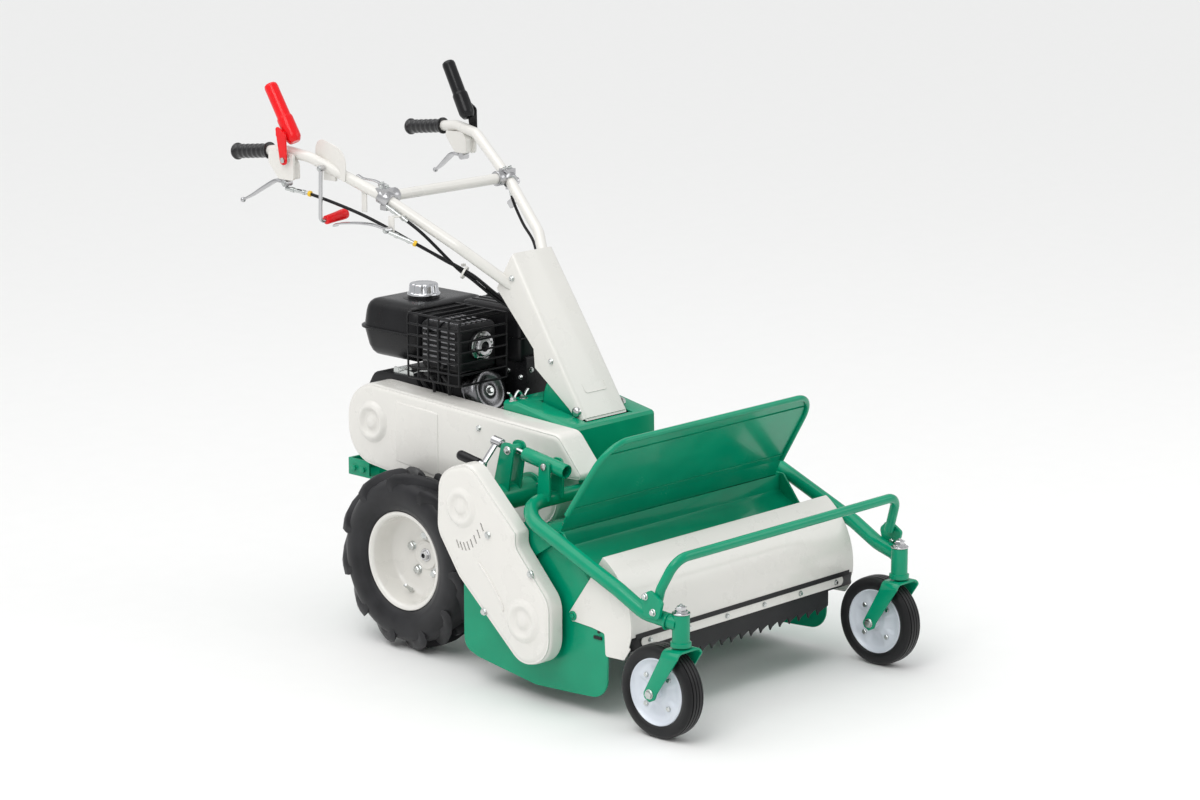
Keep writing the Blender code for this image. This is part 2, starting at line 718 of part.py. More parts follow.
def muffler():
    low = (MUFF_X0, MUFF_Y0, MUFF_Z0)
    high = (MUFF_X1, MUFF_Y1, MUFF_Z1)
    body = add("muffler", bevelled_box(low, high, 0.008, 1), DARK)
    mid = (MUFF_X0 + MUFF_X1) / 2
    y, z = along_cylinder(HEAD_D - 0.020, 0.056)
    join(body, rod((mid, y + 0.002, z + 0.004), (mid, y + 0.002, MUFF_Z0 + 0.004), 0.013, 10))
    outlet = ((MUFF_X0 + MUFF_X1) / 2 + 0.004, MUFF_Y0 + 0.002, MUFF_Z0 + 0.058)
    join(body, turned([(0, 0), (0, 0.032), (-0.009, 0.032), (-0.009, 0.026), (-0.014, 0.024),
                       (-0.014, 0.012),
                       (-0.006, 0.012), (-0.006, 0)], outlet, "y", 14))

    pad = 0.018
    x0, x1 = MUFF_X0 - pad, MUFF_X1 + 0.012
    y0, y1 = MUFF_Y0 - pad, MUFF_Y1 + 0.020
    z0, z1 = MUFF_Z0 - 0.022, MUFF_Z1 + pad
    bm = bmesh.new()

    def sheet(origin, edge_a, edge_b, count_a, count_b):
        a, b = Vector(edge_a) / count_a, Vector(edge_b) / count_b
        grid = [[bm.verts.new(Vector(origin) + a * i + b * j)
                 for j in range(count_b + 1)] for i in range(count_a + 1)]
        for i in range(count_a):
            for j in range(count_b):
                bm.faces.new((grid[i][j], grid[i + 1][j], grid[i + 1][j + 1], grid[i][j + 1]))
    sheet((x0, y0, z0), (0, y1 - y0, 0), (0, 0, z1 - z0), 3, 4)
    sheet((x0, y0, z1), (0, y1 - y0, 0), (x1 - x0, 0, 0), 3, 1)
    sheet((x0, y0, z0), (x1 - x0, 0, 0), (0, 0, z1 - z0), 1, 4)
    bmesh.ops.remove_doubles(bm, verts=bm.verts, dist=0.0001)
    bmesh.ops.recalc_face_normals(bm, faces=bm.faces)
    cage = add("muffler_guard", bm, DARK, smooth=20)
    wire = cage.modifiers.new("wire", "WIREFRAME")
    wire.thickness = 0.0042
    wire.use_boundary = True
    wire.use_replace = True
    wire.use_even_offset = False
    stays = []
    for t in (0.33, 0.67):
        z = z0 + (z1 - z0) / 4 * (1 if t < 0.5 else 3)
        y = y0 + (y1 - y0) * (1 / 3 if t < 0.5 else 2 / 3)
        stays.append(box((x0 - 0.001, y - 0.004, z - 0.004), (MUFF_X0 - GAP, y + 0.004, z + 0.004)))
    join(cage, *stays)


def air_cleaner():
    low = (0.010, -0.070, 0.618)
    high = (0.150, CRANK_Y - 0.070, 0.745)
    body = add("air_cleaner", bevelled_box(low, high, 0.014, 2), BLACK)
    join(body, box((CYL_X + 0.064 + GAP, 0.030, 0.500), (0.062, 0.080, low[2] + 0.01)))


# Belt drive on the right-hand side

MAIN_CASE = [(0.281, 0.571, 0.085), (-0.392, 0.542, 0.035), (-0.474, 0.4505, 0.012),
             (-0.389, 0.4465, 0.012),
             (-0.387, 0.333, 0.070), (-0.25, 0.325, 0.060), (0.281, 0.384, 0.085)]
FRONT_COVER = [(-0.234, 0.345, 0.060), (-0.240, 0.478, 0.060), (-0.334, 0.511, 0.050),
               (-0.475, 0.379, 0.012),
               (-0.474, 0.350, 0.030), (-0.573, 0.245, 0.060), (-0.573, 0.120, 0.070),
               (-0.492, 0.086, 0.060),
               (-0.300, 0.252, 0.080)]


def belt_loop(centre_a, radius_a, centre_b, radius_b, x, width, thick):
    """Closed belt round two pulleys: the tangent hull of two circles, as a ring."""
    def hull(extra):
        a, b = Vector(centre_a), Vector(centre_b)
        ra, rb = radius_a + extra, radius_b + extra
        away = (b - a).normalized()
        base = atan2(away.y, away.x)
        open_a = acos((ra - rb) / (b - a).length)
        out = []
        n = 8
        for i in range(n + 1):
            ang = base + open_a + (2 * pi - 2 * open_a) * i / n
            out.append((a.x + ra * cos(ang), a.y + ra * sin(ang)))
        for i in range(n + 1):
            ang = base - open_a + 2 * open_a * i / n
            out.append((b.x + rb * cos(ang), b.y + rb * sin(ang)))
        return out
    outer = hull(0)
    inner = hull(-thick)
    rings = []
    for outline, t in ((outer, x - width / 2), (outer, x + width / 2), (inner, x + width / 3),
                       (inner, x - width / 3)):
        rings.append([(t, p[0], p[1]) for p in outline])
    return loft(rings, closed=True)


def groove(x, radius):
    """Points of a belt groove, from low x to high x."""
    half = BELT_W / 2 + 0.003
    floor = radius - BELT_T - 0.004
    return [(x - half, radius), (x - 0.0042, floor), (x + 0.0042, floor), (x + half, radius)]


def pan(corners, steps, face, back, soft):
    """Pressed cover, open towards the machine, with a rounded rim round its face."""
    rings = [(face + COVER_WALL, COVER_WALL), (back, COVER_WALL), (back, 0), (face + soft, 0),
             (face + soft * 0.3, soft * 0.3), (face, soft)]
    return loft([[(x, a, b) for a, b in rounded(corners, steps, inset)] for x, inset in rings])


def belt_side():
    case = add("main_belt_case", pan(MAIN_CASE, 3, -MAIN_CASE_OUT, -MAIN_CASE_IN, 0.006), WHITE)
    join(case, turned([(-MAIN_CASE_OUT - 0.006, 0), (-MAIN_CASE_OUT - 0.006, 0.034),
                       (-MAIN_CASE_OUT + 0.001, 0.044),
                      (-MAIN_CASE_OUT + 0.002, 0)], (0, CRANK_Y, CRANK_Z), "x", 16))
    cut(case, rod((-MAIN_CASE_OUT - 0.02, COUNTER_Y, COUNTER_Z),
                  (-MAIN_CASE_OUT + 0.02, COUNTER_Y, COUNTER_Z),
                 COUNTER_SHAFT_R + RUN, 12))

    cover = add("front_belt_cover", pan(FRONT_COVER, 3, -COVER_OUT, -COVER_IN, 0.007), WHITE)
    slots = []
    for i in range(8):
        t = i / 7
        y = -0.302 - 0.074 * t
        z = 0.326 + 0.008 * sin(pi * t) * -1 + 0.050 * t * t
        slot = box((-COVER_OUT - 0.01, y - 0.0012, z - 0.009), (-COVER_OUT + 0.01, y + 0.0012, z + 0.009))
        slots.append(spun(slot, radians(18 + 12 * t), "X", (0, y, z)))
    cut(cover, *slots)
    bosses = []
    for y, z, r in ((COUNTER_Y, COUNTER_Z, 0.040), (ROTOR_Y, ROTOR_Z, 0.044)):
        bosses.append(turned([(-COVER_OUT - 0.006, 0), (-COVER_OUT - 0.006, r - 0.012),
                              (-COVER_OUT + 0.001, r),
                              (-COVER_OUT + 0.001, 0)], (0, y, z), "x", 16))
    join(cover, *bosses)
    posts = []
    for y, z in ((-0.394, 0.362), (-0.380, 0.190), (-0.520, 0.300)):
        posts.append(rod((-COVER_OUT + 0.001, y, z), (-DECK_OUT - GAP, y, z), 0.006, 6))
    join(cover, *posts)

    tube = add("countershaft_housing", turned([
        (-MAIN_CASE_OUT - GAP, COUNTER_SHAFT_R + RUN), (-MAIN_CASE_OUT - GAP, COUNTER_TUBE_R + 0.010),
        (-MAIN_CASE_OUT - 0.008, COUNTER_TUBE_R + 0.010), (-MAIN_CASE_OUT - 0.008, COUNTER_TUBE_R),
        (-COVER_IN + 0.001, COUNTER_TUBE_R), (-COVER_IN + 0.001, COUNTER_SHAFT_R + RUN)],
        (0, COUNTER_Y, COUNTER_Z), "x", 14), GREEN)
    ears = []
    for x in (JACK_X - TRUNNION_HALF - EAR_SHEET_T / 2, JACK_X + TRUNNION_HALF - EAR_SHEET_T / 2):
        ear = rounded([(COUNTER_Y + 0.024, COUNTER_Z + 0.016, 0.003),
                       (COUNTER_Y - 0.024, COUNTER_Z + 0.016, 0.003),
                       (TRUNNION_Y - 0.020, TRUNNION_Z + 0.016, 0.014),
                       (TRUNNION_Y + 0.018, TRUNNION_Z + 0.016, 0.014)], 3)
        ears.append(slab(ear, x, x + EAR_SHEET_T))
    join(tube, *ears)
    trunnion = Vector((JACK_X, TRUNNION_Y, TRUNNION_Z))
    across = Vector((1, 0, 0))
    join(tube, rod(trunnion - across * TRUNNION_HALF, trunnion + across * TRUNNION_HALF, TRUNNION_R, 10))
    head = TRUNNION_HALF + EAR_SHEET_T / 2
    join(tube, rod(trunnion - across * (head + 0.0045), trunnion - across * (head - 0.002), 0.0085, 6),
         rod(trunnion + across * (head - 0.002), trunnion + across * (head + 0.0045), 0.0085, 6))
    along = screw_direction()
    cut(tube, rod(trunnion - along * 0.03, trunnion + along * 0.03, clearing(SCREW_R, 10), 10))

    spin = pivot("counter_spin", (0, COUNTER_Y, COUNTER_Z))
    inner = -PULLEY_X
    outer = -BELT_X
    profile = [(inner + 0.022, 0), (inner + 0.022, 0.022), (inner + BELT_W / 2 + 0.003, 0.022)]
    profile += list(reversed(groove(inner, COUNTER_MAIN_R)))
    profile += [(inner - BELT_W / 2 - 0.003, COUNTER_SHAFT_R),
                (outer + BELT_W / 2 + 0.003, COUNTER_SHAFT_R)]
    profile += list(reversed(groove(outer, COUNTER_FRONT_R)))
    profile += [(outer - BELT_W / 2 - 0.003, 0.018), (outer - 0.013, 0.018), (outer - 0.013, 0)]
    add("countershaft", turned(profile, (0, 0, 0), "x", 12), STEEL, spin, (0, COUNTER_Y, COUNTER_Z))

    width = BELT_W + 0.0025
    add("main_belt", belt_loop((CRANK_Y, CRANK_Z), ENGINE_PULLEY_R, (COUNTER_Y, COUNTER_Z), COUNTER_MAIN_R,
                               -PULLEY_X, width, BELT_T - 0.001), RUBBER)
    add("front_belt", belt_loop((COUNTER_Y, COUNTER_Z), COUNTER_FRONT_R, (ROTOR_Y, ROTOR_Z), ROTOR_PULLEY_R,
                                -BELT_X, width, BELT_T - 0.001), RUBBER)


# Cutting deck

def deck():
    outer = [(-0.268, 0.104), (ROTOR_Y + SHELL_R * cos(radians(-8)), ROTOR_Z + SHELL_R * sin(radians(-8)))]
    outer += arc((ROTOR_Y, ROTOR_Z), SHELL_R, 4, 90, 9)
    outer += [(LEDGE_Y - 0.006, ROTOR_Z + SHELL_R)]
    inner_r = SHELL_R - 0.030
    start = degrees(acos((LEDGE_Y - 0.006 - ROTOR_Y) / inner_r))
    outer += [(LEDGE_Y - 0.006, ROTOR_Z + inner_r * sin(radians(start)) + 0.004)]
    outer += arc((ROTOR_Y, ROTOR_Z), inner_r, start + 3, 150, 4)
    half = DECK_X - GAP
    add("deck_shell", slab(thick_line(outer, SHEET_T), -half, half), GREEN)

    side = rounded([(-0.258, 0.225, 0.02), (-0.300, 0.345, 0.04), (-0.365, 0.386, 0.02),
                    (-0.556, 0.386, 0.012),
                    (-0.600, 0.330, 0.03), (-0.668, 0.262, 0.03), (-0.689, 0.180, 0.02),
                    (-0.686, 0.046, 0.055),
                    (-0.600, 0.040, 0.03), (-0.476, 0.034, 0.06), (-0.300, 0.060, 0.03),
                    (-0.258, 0.075, 0.045)], 2)
    for side_name, s in SIDES:
        a, b = sorted((s * DECK_X, s * DECK_OUT))
        plate = add("deck_side_" + side_name, slab(side, a, b), GREEN)
        join(plate, turned([(s * (DECK_X - 0.008), 0), (s * (DECK_X - 0.008), 0.030),
                            (s * (DECK_X + 0.001), 0.034),
                            (s * (DECK_OUT - 0.001), 0.034), (s * (DECK_OUT + 0.010), 0.030),
                            (s * (DECK_OUT + 0.010), 0)],
                           (0, ROTOR_Y, ROTOR_Z), "x", 12))
        cut(plate, rod((s * (DECK_X - 0.03), ROTOR_Y, ROTOR_Z), (s * (DECK_OUT + 0.03), ROTOR_Y, ROTOR_Z),
                       ROTOR_SHAFT_R + RUN, 12))
        seat = HOOD_OUT + RUN
        hood_pin = turned([(s * (DECK_OUT - 0.002), 0), (s * (DECK_OUT - 0.002), HOOD_PIN_R),
                           (s * seat, HOOD_PIN_R),
                           (s * seat, 0.0105), (s * (seat + PIN_HEAD_T), 0.0085),
                           (s * (seat + PIN_HEAD_T), 0)],
                          (0, HOOD_PIVOT_Y, HOOD_PIVOT_Z), "x", 8)
        shoulder = BRACKET_IN - GAP
        seat = BRACKET_IN + BRACKET_T + RUN
        frame_pin = turned([(s * (DECK_OUT - 0.002), 0), (s * (DECK_OUT - 0.002), 0.0125),
                            (s * shoulder, 0.0125),
                            (s * shoulder, FRAME_PIN_R), (s * seat, FRAME_PIN_R), (s * seat, 0.0115),
                            (s * (seat + PIN_HEAD_T), 0.009), (s * (seat + PIN_HEAD_T), 0)],
                           (0, FRAME_PIVOT_Y, FRAME_PIVOT_Z), "x", 8)
        join(plate, hood_pin, frame_pin)

    lean = [(LEDGE_Y + 0.045, 0.0), (LEDGE_Y, 0.0), (LEDGE_Y - 0.016, 0.037), (GUARD_TOP_Y, GUARD_H)]
    base = ROTOR_Z + SHELL_R + GAP
    line = [(y, base + z) for y, z in lean]
    panel = add("guard_panel", slab(thick_line(line, -0.0025), -GUARD_HALF, GUARD_HALF), GREEN, smooth=20)
    shape = rounded([(-GUARD_HALF - 0.01, base - 0.02, 0), (GUARD_HALF + 0.01, base - 0.02, 0),
                     (GUARD_HALF - 0.014, base + GUARD_H + 0.004, 0.065),
                     (-GUARD_HALF + 0.014, base + GUARD_H + 0.004, 0.065)], 6)
    trim = slab(shape, -0.9, 0.1, "y")
    operate(panel, trim, "INTERSECT")
    rim = []
    edge = rounded([(-GUARD_HALF + 0.001, base + 0.038, 0),
                    (-GUARD_HALF + 0.0145, base + GUARD_H + 0.003, 0.065),
                    (GUARD_HALF - 0.0145, base + GUARD_H + 0.003, 0.065),
                    (GUARD_HALF - 0.001, base + 0.038, 0)], 6)
    slope = (GUARD_TOP_Y - LEDGE_Y + 0.016) / (GUARD_H - 0.037)
    for x, z in edge:
        rim.append((x, LEDGE_Y - 0.016 + (z - base - 0.037) * slope, z))
    join(panel, swept(rim, circle(0.0065, 6)))


def row_angle(row):
    """Where a row's rod stands on the rotor, with the first row at the bottom."""
    return 2 * pi * row / KNIFE_ROWS - pi / 2


def rotor():
    spin = pivot("rotor_spin", (0, ROTOR_Y, ROTOR_Z))
    pulley = -BELT_X
    profile = [(ROTOR_HALF + 0.033, 0), (ROTOR_HALF + 0.033, ROTOR_SHAFT_R), (ROTOR_HALF, ROTOR_SHAFT_R),
               (ROTOR_HALF, ROTOR_TUBE_R), (-ROTOR_HALF, ROTOR_TUBE_R), (-ROTOR_HALF, ROTOR_SHAFT_R),
               (pulley + BELT_W / 2 + 0.003, ROTOR_SHAFT_R)]
    profile += list(reversed(groove(pulley, ROTOR_PULLEY_R)))
    profile += [(pulley - BELT_W / 2 - 0.003, 0.018), (pulley - 0.012, 0.018), (pulley - 0.012, 0)]
    drum = add("rotor", turned(profile, (0, 0, 0), "x", 12), STEEL, spin, (0, ROTOR_Y, ROTOR_Z))
    lugs = []
    holes = []
    pitch = 2 * ROTOR_HALF / LUGS_PER_ROW
    lug_t = 0.008
    for row in range(KNIFE_ROWS):
        angle = row_angle(row)
        for i in range(LUGS_PER_ROW):
            x = -ROTOR_HALF + pitch * (i + 0.5) + pitch * (row - 1) / KNIFE_ROWS
            plate = slab([(ROTOR_TUBE_R - 0.006, -0.020), (ROD_CIRCLE_R + 0.010, -0.010),
                          (ROD_CIRCLE_R + 0.010, 0.010), (ROTOR_TUBE_R - 0.006, 0.020)], x - lug_t / 2,
                          x + lug_t / 2)
            lugs.append(spun(plate, angle, "X", (0, 0, 0)))
        a = Vector((-ROTOR_HALF - 0.05, ROD_CIRCLE_R * cos(angle), ROD_CIRCLE_R * sin(angle)))
        holes.append(rod(a, a + Vector((2 * ROTOR_HALF + 0.1, 0, 0)), clearing(ROD_R, ROD_SIDES),
                         ROD_SIDES))
    join(drum, *lugs)
    cut(drum, *holes)

    for row in range(KNIFE_ROWS):
        angle = row_angle(row)
        place = (0, ROTOR_Y + ROD_CIRCLE_R * cos(angle), ROTOR_Z + ROD_CIRCLE_R * sin(angle))
        swing = pivot("knife_swing_%d" % (row + 1), place, spin)
        xs = [-ROTOR_HALF + pitch * (i + 0.5) + pitch * (row - 1) / KNIFE_ROWS for i in range(LUGS_PER_ROW)]
        bar = rod((xs[0] - 0.020, 0, 0), (xs[-1] + 0.020, 0, 0), ROD_R, ROD_SIDES)
        knives = add("knife_row_%d" % (row + 1), bar, STEEL, swing, place)
        blades = []
        reach = KNIFE_TIP_R - ROD_CIRCLE_R
        for x in xs:
            for s in (-1, 1):
                foot = x + s * (lug_t / 2 + 0.004)
                path = [(foot, 0, 0.010), (foot, 0, -reach * 0.58), (foot + s * 0.020, 0, -reach)]
                blades.append(swept(path, flat_section(KNIFE_W, 0.004), Vector((0, 1, 0))))
        join(knives, *blades)


# Hood with its rubber flap

def hood():
    swing = pivot("hood_swing", (0, HOOD_PIVOT_Y, HOOD_PIVOT_Z))
    centre = (HOOD_PIVOT_Y, HOOD_PIVOT_Z)
    sheet = arc(centre, HOOD_R, 186, 121, 8)
    body = add("hood", slab(thick_line(sheet, -HOOD_T), -HOOD_OUT, HOOD_OUT), WHITE, swing)
    top = arc(centre, HOOD_R, 121, 186, 8)
    plate = top + [(-0.757, 0.172), (-0.737, 0.143), (-0.684, 0.141), (-0.681, 0.190), (-0.645, 0.196)]
    plate += arc(centre, 0.0125, 250, 395, 4)[:-1]
    plate = plate + [(-0.640, 0.302)]
    ends = []
    for side_name, s in SIDES:
        a, b = sorted((s * HOOD_IN, s * HOOD_OUT))
        ends.append(slab(plate, a, b))
    join(body, *ends)
    holes = []
    for side_name, s in SIDES:
        holes.append(rod((s * (HOOD_IN - 0.01), HOOD_PIVOT_Y, HOOD_PIVOT_Z),
                         (s * (HOOD_OUT + 0.01), HOOD_PIVOT_Y, HOOD_PIVOT_Z), clearing(HOOD_PIN_R, 10), 10))
    cut(body, *holes)

    out = HOOD_PIVOT_Y - sqrt((HOOD_R - HOOD_T) ** 2 - (HOOD_PIVOT_Z - HOOD_EDGE_Z) ** 2) + GAP
    flap_half = HOOD_IN - GAP
    teeth = int(2 * NOTCH_X / TOOTH_PITCH)
    start = -teeth * TOOTH_PITCH / 2
    outline = [(-flap_half, HOOD_EDGE_Z + 0.020), (-flap_half, NOTCH_Z), (-NOTCH_X, NOTCH_Z),
               (-NOTCH_X, FLAP_LOW)]
    for i in range(teeth):
        x = start + i * TOOTH_PITCH
        outline += [(x + 0.001, FLAP_LOW), (x + TOOTH_PITCH * 0.22, FLAP_LOW - TOOTH_H),
                    (x + TOOTH_PITCH * 0.40, FLAP_LOW - TOOTH_H * 0.55)]
    outline += [(NOTCH_X, FLAP_LOW), (NOTCH_X, NOTCH_Z), (flap_half, NOTCH_Z),
                (flap_half, HOOD_EDGE_Z + 0.020)]
    add("hood_flap", slab(outline, out, out + FLAP_T, "y"), RUBBER, swing)
    strip_h = 0.021
    mid = HOOD_EDGE_Z - 0.003 - strip_h / 2
    bar = rounded([(-STRIP_HALF, mid - strip_h / 2, strip_h * 0.48),
                   (STRIP_HALF, mid - strip_h / 2, strip_h * 0.48),
                   (STRIP_HALF, mid + strip_h / 2, strip_h * 0.48),
                   (-STRIP_HALF, mid + strip_h / 2, strip_h * 0.48)], 3)
    strip = add("flap_strip", slab(bar, out - GAP - 0.0022, out - GAP, "y"), WHITE, swing)
    heads = []
    for i in range(6):
        x = -STRIP_HALF * 0.92 + 2 * STRIP_HALF * 0.92 * i / 5
        heads.append(rod((x, out - 0.001, mid), (x, out - 0.0065, mid), 0.006, 6))
    join(strip, *heads)


# Caster frame, forks and wheels

def caster_frame():
    tilt = pivot("frame_tilt", (0, FRAME_PIVOT_Y, FRAME_PIVOT_Z))
    side = [(-FRAME_X, CROSS_Y, CROSS_Z), (-FRAME_X, -0.743, 0.301), (-FRAME_X + 0.003, -0.812, 0.266),
            (-STEM_X - 0.006, STEM_Y + 0.004, 0.254)]
    path = [(0, CROSS_Y, CROSS_Z)] + side
    path = fillet_path(path, 0.085, 3)
    mirror = [Vector((-p.x, p.y, p.z)) for p in reversed(path[1:])]
    frame = add("caster_frame", swept(mirror + path, circle(FRAME_TUBE_R, 10)), GREEN, tilt)
    stems = []
    for side_name, s in SIDES:
        stems.append(turned([(STEM_LOW, 0), (STEM_LOW, STEM_R + 0.003), (STEM_LOW + 0.011, STEM_R + 0.003),
                             (STEM_LOW + 0.011, STEM_R), (STEM_HIGH, STEM_R), (STEM_HIGH, 0)],
                            (s * STEM_X, STEM_Y, 0), "z", 12))
    join(frame, *stems)
    plates = []
    for side_name, s in SIDES:
        a, b = sorted((s * BRACKET_IN, s * (BRACKET_IN + BRACKET_T)))
        plates.append(slab(rounded([(-0.462, 0.412, 0.004), (-0.560, 0.372, 0.004), (-0.470, 0.313, 0.012),
                                    (FRAME_PIVOT_Y + 0.019, FRAME_PIVOT_Z - 0.014, 0.014)], 1), a, b))
        a, b = sorted((s * (BUMPER_X - 0.004), s * (BUMPER_X + 0.0045)))
        plates.append(slab(rounded([(-0.822, 0.262, 0.006), (-0.862, 0.262, 0.010), (-0.872, 0.300, 0.008),
                                    (-0.836, 0.322, 0.012), (-0.812, 0.300, 0.012)], 1), a, b))
    join(frame, *plates)
    yoke = []
    for dx in (-JACK_R - 0.0070, JACK_R + 0.0010):
        yoke.append(slab(rounded([(YOKE_Y + 0.022, CROSS_Z, 0.004), (YOKE_Y - 0.016, CROSS_Z, 0.004),
                                  (YOKE_Y - 0.015, YOKE_Z + 0.014, 0.012),
                                  (YOKE_Y + 0.015, YOKE_Z + 0.014, 0.012)], 1),
                         JACK_X + dx, JACK_X + dx + 0.006))
    join(frame, *yoke)
    holes = []
    for side_name, s in SIDES:
        holes.append(rod((s * STEM_X, STEM_Y, STEM_LOW - 0.01), (s * STEM_X, STEM_Y, STEM_HIGH + 0.01),
                         clearing(SWIVEL_R, 12), 12))
        holes.append(rod((s * DECK_OUT, FRAME_PIVOT_Y, FRAME_PIVOT_Z),
                         (s * (BRACKET_IN + BRACKET_T + 0.010), FRAME_PIVOT_Y, FRAME_PIVOT_Z),
                         clearing(FRAME_PIN_R, 10), 10))
    holes.append(rod((JACK_X - 0.05, YOKE_Y, YOKE_Z), (JACK_X + 0.05, YOKE_Y, YOKE_Z), 0.0055 + RUN, 10))
    cut(frame, *holes)

    foot = Vector((-BUMPER_X + 0.004 + GAP + BUMPER_R * cos(pi / 8), -0.846, 0.300))
    top = Vector((-BUMPER_X + 0.030, -0.880, 0.388))
    half_path = [(foot.x, foot.y, foot.z), (foot.x, foot.y - 0.006, foot.z + 0.022), (top.x, top.y, top.z),
                 (0, top.y, top.z)]
    rail = fillet_path(half_path, 0.042, 3)
    rail = rail + [Vector((-p.x, p.y, p.z)) for p in reversed(rail[:-1])]
    add("bumper_bar", swept(rail, circle(BUMPER_R, 8)), GREEN, tilt)
    return tilt


def casters(tilt):
    for side_name, s in SIDES:
        stem = (s * STEM_X, STEM_Y, 0)
        swivel = pivot("caster_swivel_" + side_name, stem, tilt)
        axle = Vector((0, TRAIL, CASTER_R))
        crown = STEM_LOW - 0.0028
        h = FORK_HALF
        leg = rounded([(-0.024, crown, 0), (0.022, crown, 0), (TRAIL + 0.017, CASTER_R + 0.010, 0.014),
                       (TRAIL + 0.010, CASTER_R - 0.018, 0.012), (TRAIL - 0.017, CASTER_R - 0.010, 0.012)],
                       2)
        plate = box((-h, -0.024, crown - FORK_T), (h, 0.019, crown))
        fork = add("caster_fork_" + side_name, plate, GREEN, swivel, stem)
        join(fork, slab(leg, -h - FORK_T / 2, -h + FORK_T / 2), slab(leg, h - FORK_T / 2, h + FORK_T / 2))
        join(fork, turned([(crown - 0.002, 0), (crown - 0.002, STEM_R), (STEM_LOW - GAP, STEM_R),
                           (STEM_LOW - GAP, SWIVEL_R), (STEM_HIGH + GAP, SWIVEL_R),
                           (STEM_HIGH + GAP, 0.0175),
                           (STEM_HIGH + 0.0035, 0.0165), (STEM_HIGH + 0.0035, 0.0115),
                           (STEM_HIGH + 0.014, 0.0105),
                           (STEM_HIGH + 0.021, 0.0055), (STEM_HIGH + 0.021, 0)], (0, 0, 0), "z", 10))
        join(fork, turned([(-h - 0.008, 0), (-h - 0.008, 0.008), (-h - 0.001, 0.0095),
                           (-h - 0.001, CASTER_BOLT_R),
                           (h + 0.001, CASTER_BOLT_R), (h + 0.001, 0.0095), (h + 0.008, 0.008),
                           (h + 0.008, 0)],
                          axle, "x", 8))
        spin = pivot("caster_spin_" + side_name, (s * STEM_X, STEM_Y + TRAIL, CASTER_R), swivel)
        place = (s * STEM_X, STEM_Y + TRAIL, CASTER_R)
        hub = FORK_HALF - FORK_T / 2 - GAP
        bore = CASTER_BOLT_R + RUN
        w = CASTER_HALF
        profile = [(hub, bore), (hub, 0.0135), (w * 0.50, 0.0175), (w * 0.45, 0.046),
                   (w * 0.82, CASTER_RIM_R)]
        profile = profile + [(-a, r) for a, r in reversed(profile)]
        add("caster_rim_" + side_name, turned(profile, steps=16), RIM_GREY, spin, place)
        r = CASTER_R
        half = [(w * 0.80, CASTER_RIM_R + GAP), (w * 0.98, CASTER_RIM_R + 0.007), (w, r - 0.012),
                (w * 0.80, r - 0.0035),
                (w * 0.20, r)]
        profile = half + [(-a, b) for a, b in reversed(half)]
        add("caster_tyre_" + side_name, turned(profile, steps=16), RUBBER, spin, place)


def screw_direction():
    """Along the height adjuster's screw, from the trunnion to the yoke."""
    return Vector((0, YOKE_Y - TRUNNION_Y, YOKE_Z - TRUNNION_Z)).normalized()


def height_jack():
    direction = screw_direction()
    yoke = Vector((JACK_X, YOKE_Y, YOKE_Z))
    trunnion = Vector((JACK_X, TRUNNION_Y, TRUNNION_Z))
    swing = pivot("jack_swing", yoke)
    front = yoke + direction * 0.046
    back = yoke - direction * 0.078
    section = circle(JACK_R - 0.0005, 12)
    tube = add("jack_tube", swept([back, front], section), GREEN, swing)
    join(tube, rod(yoke - Vector((JACK_R + 0.012, 0, 0)), yoke + Vector((JACK_R + 0.012, 0, 0)), 0.0055,
                   10))
    cut(tube, rod(back - direction * 0.01, front + direction * 0.02, JACK_R - 0.0035, 12))

    turn = pivot("crank_turn", trunnion)
    screw = add("height_crank", rod(trunnion - direction * 0.060, yoke + direction * 0.024, SCREW_R, 10),
                STEEL, turn)
    hub = trunnion - direction * 0.052
    join(screw, rod(hub - direction * 0.012, hub + direction * 0.016, 0.0105, 12))
    arm_end = hub + Vector((-0.045, 0, -0.044))
    join(screw, swept([hub, arm_end], flat_section(0.014, 0.006), Vector((0, 1, 0))))
    join(screw, rod(arm_end + direction * 0.006, arm_end - direction * 0.004, 0.0075, 8))
    join(screw, swept([arm_end, arm_end - direction * 0.010, arm_end - direction * 0.012,
                       arm_end - direction * 0.070, arm_end - direction * 0.073],
                      circle(0.0105, 10), None, [0.6, 0.6, 1.0, 1.08, 0.85]))


# Cover in front of the engine

def front_cover():
    base = CHASSIS_TOP + GAP
    x0, x1 = -0.132, 0.132
    back, front = -0.150, -0.372
    foot = base - 0.012
    shape = [(back, foot), (back, 0.572), (-0.200, 0.572), (front, 0.540), (front - 0.004, foot)]
    shell = add("front_cover", slab(shape, x0, x1), GREEN)
    soft = shell.modifiers.new("soft_edge", "BEVEL")
    soft.width = 0.006
    soft.segments = 1
    t = 0.003
    cut(shell, slab([(back + 0.01, foot - 0.01), (back + 0.01, 0.572 - t), (-0.200, 0.572 - t),
                     (front + t, 0.540 - t),
                     (front - 0.004 + t, foot - 0.01)], x0 + t, x1 - t))
    slot = box((-COLUMN_HALF - 0.004, HANDLE_PIVOT_Y - 0.034, 0.50),
               (COLUMN_HALF + 0.004, HANDLE_PIVOT_Y + 0.112, 0.62))
    cut(shell, slot)
    cut(shell, box((x0 - 0.01, front - 0.02, foot - 0.01), (x1 + 0.01, back + 0.01, base)))


# Handle

def column_point(s, d):
    """Point (y, z) on the column: s up its front face from the foot, d behind the face."""
    a = COLUMN_LEAN
    return (COLUMN_FOOT_Y + s * cos(a) + d * sin(a), COLUMN_FOOT_Z + s * sin(a) - d * cos(a))


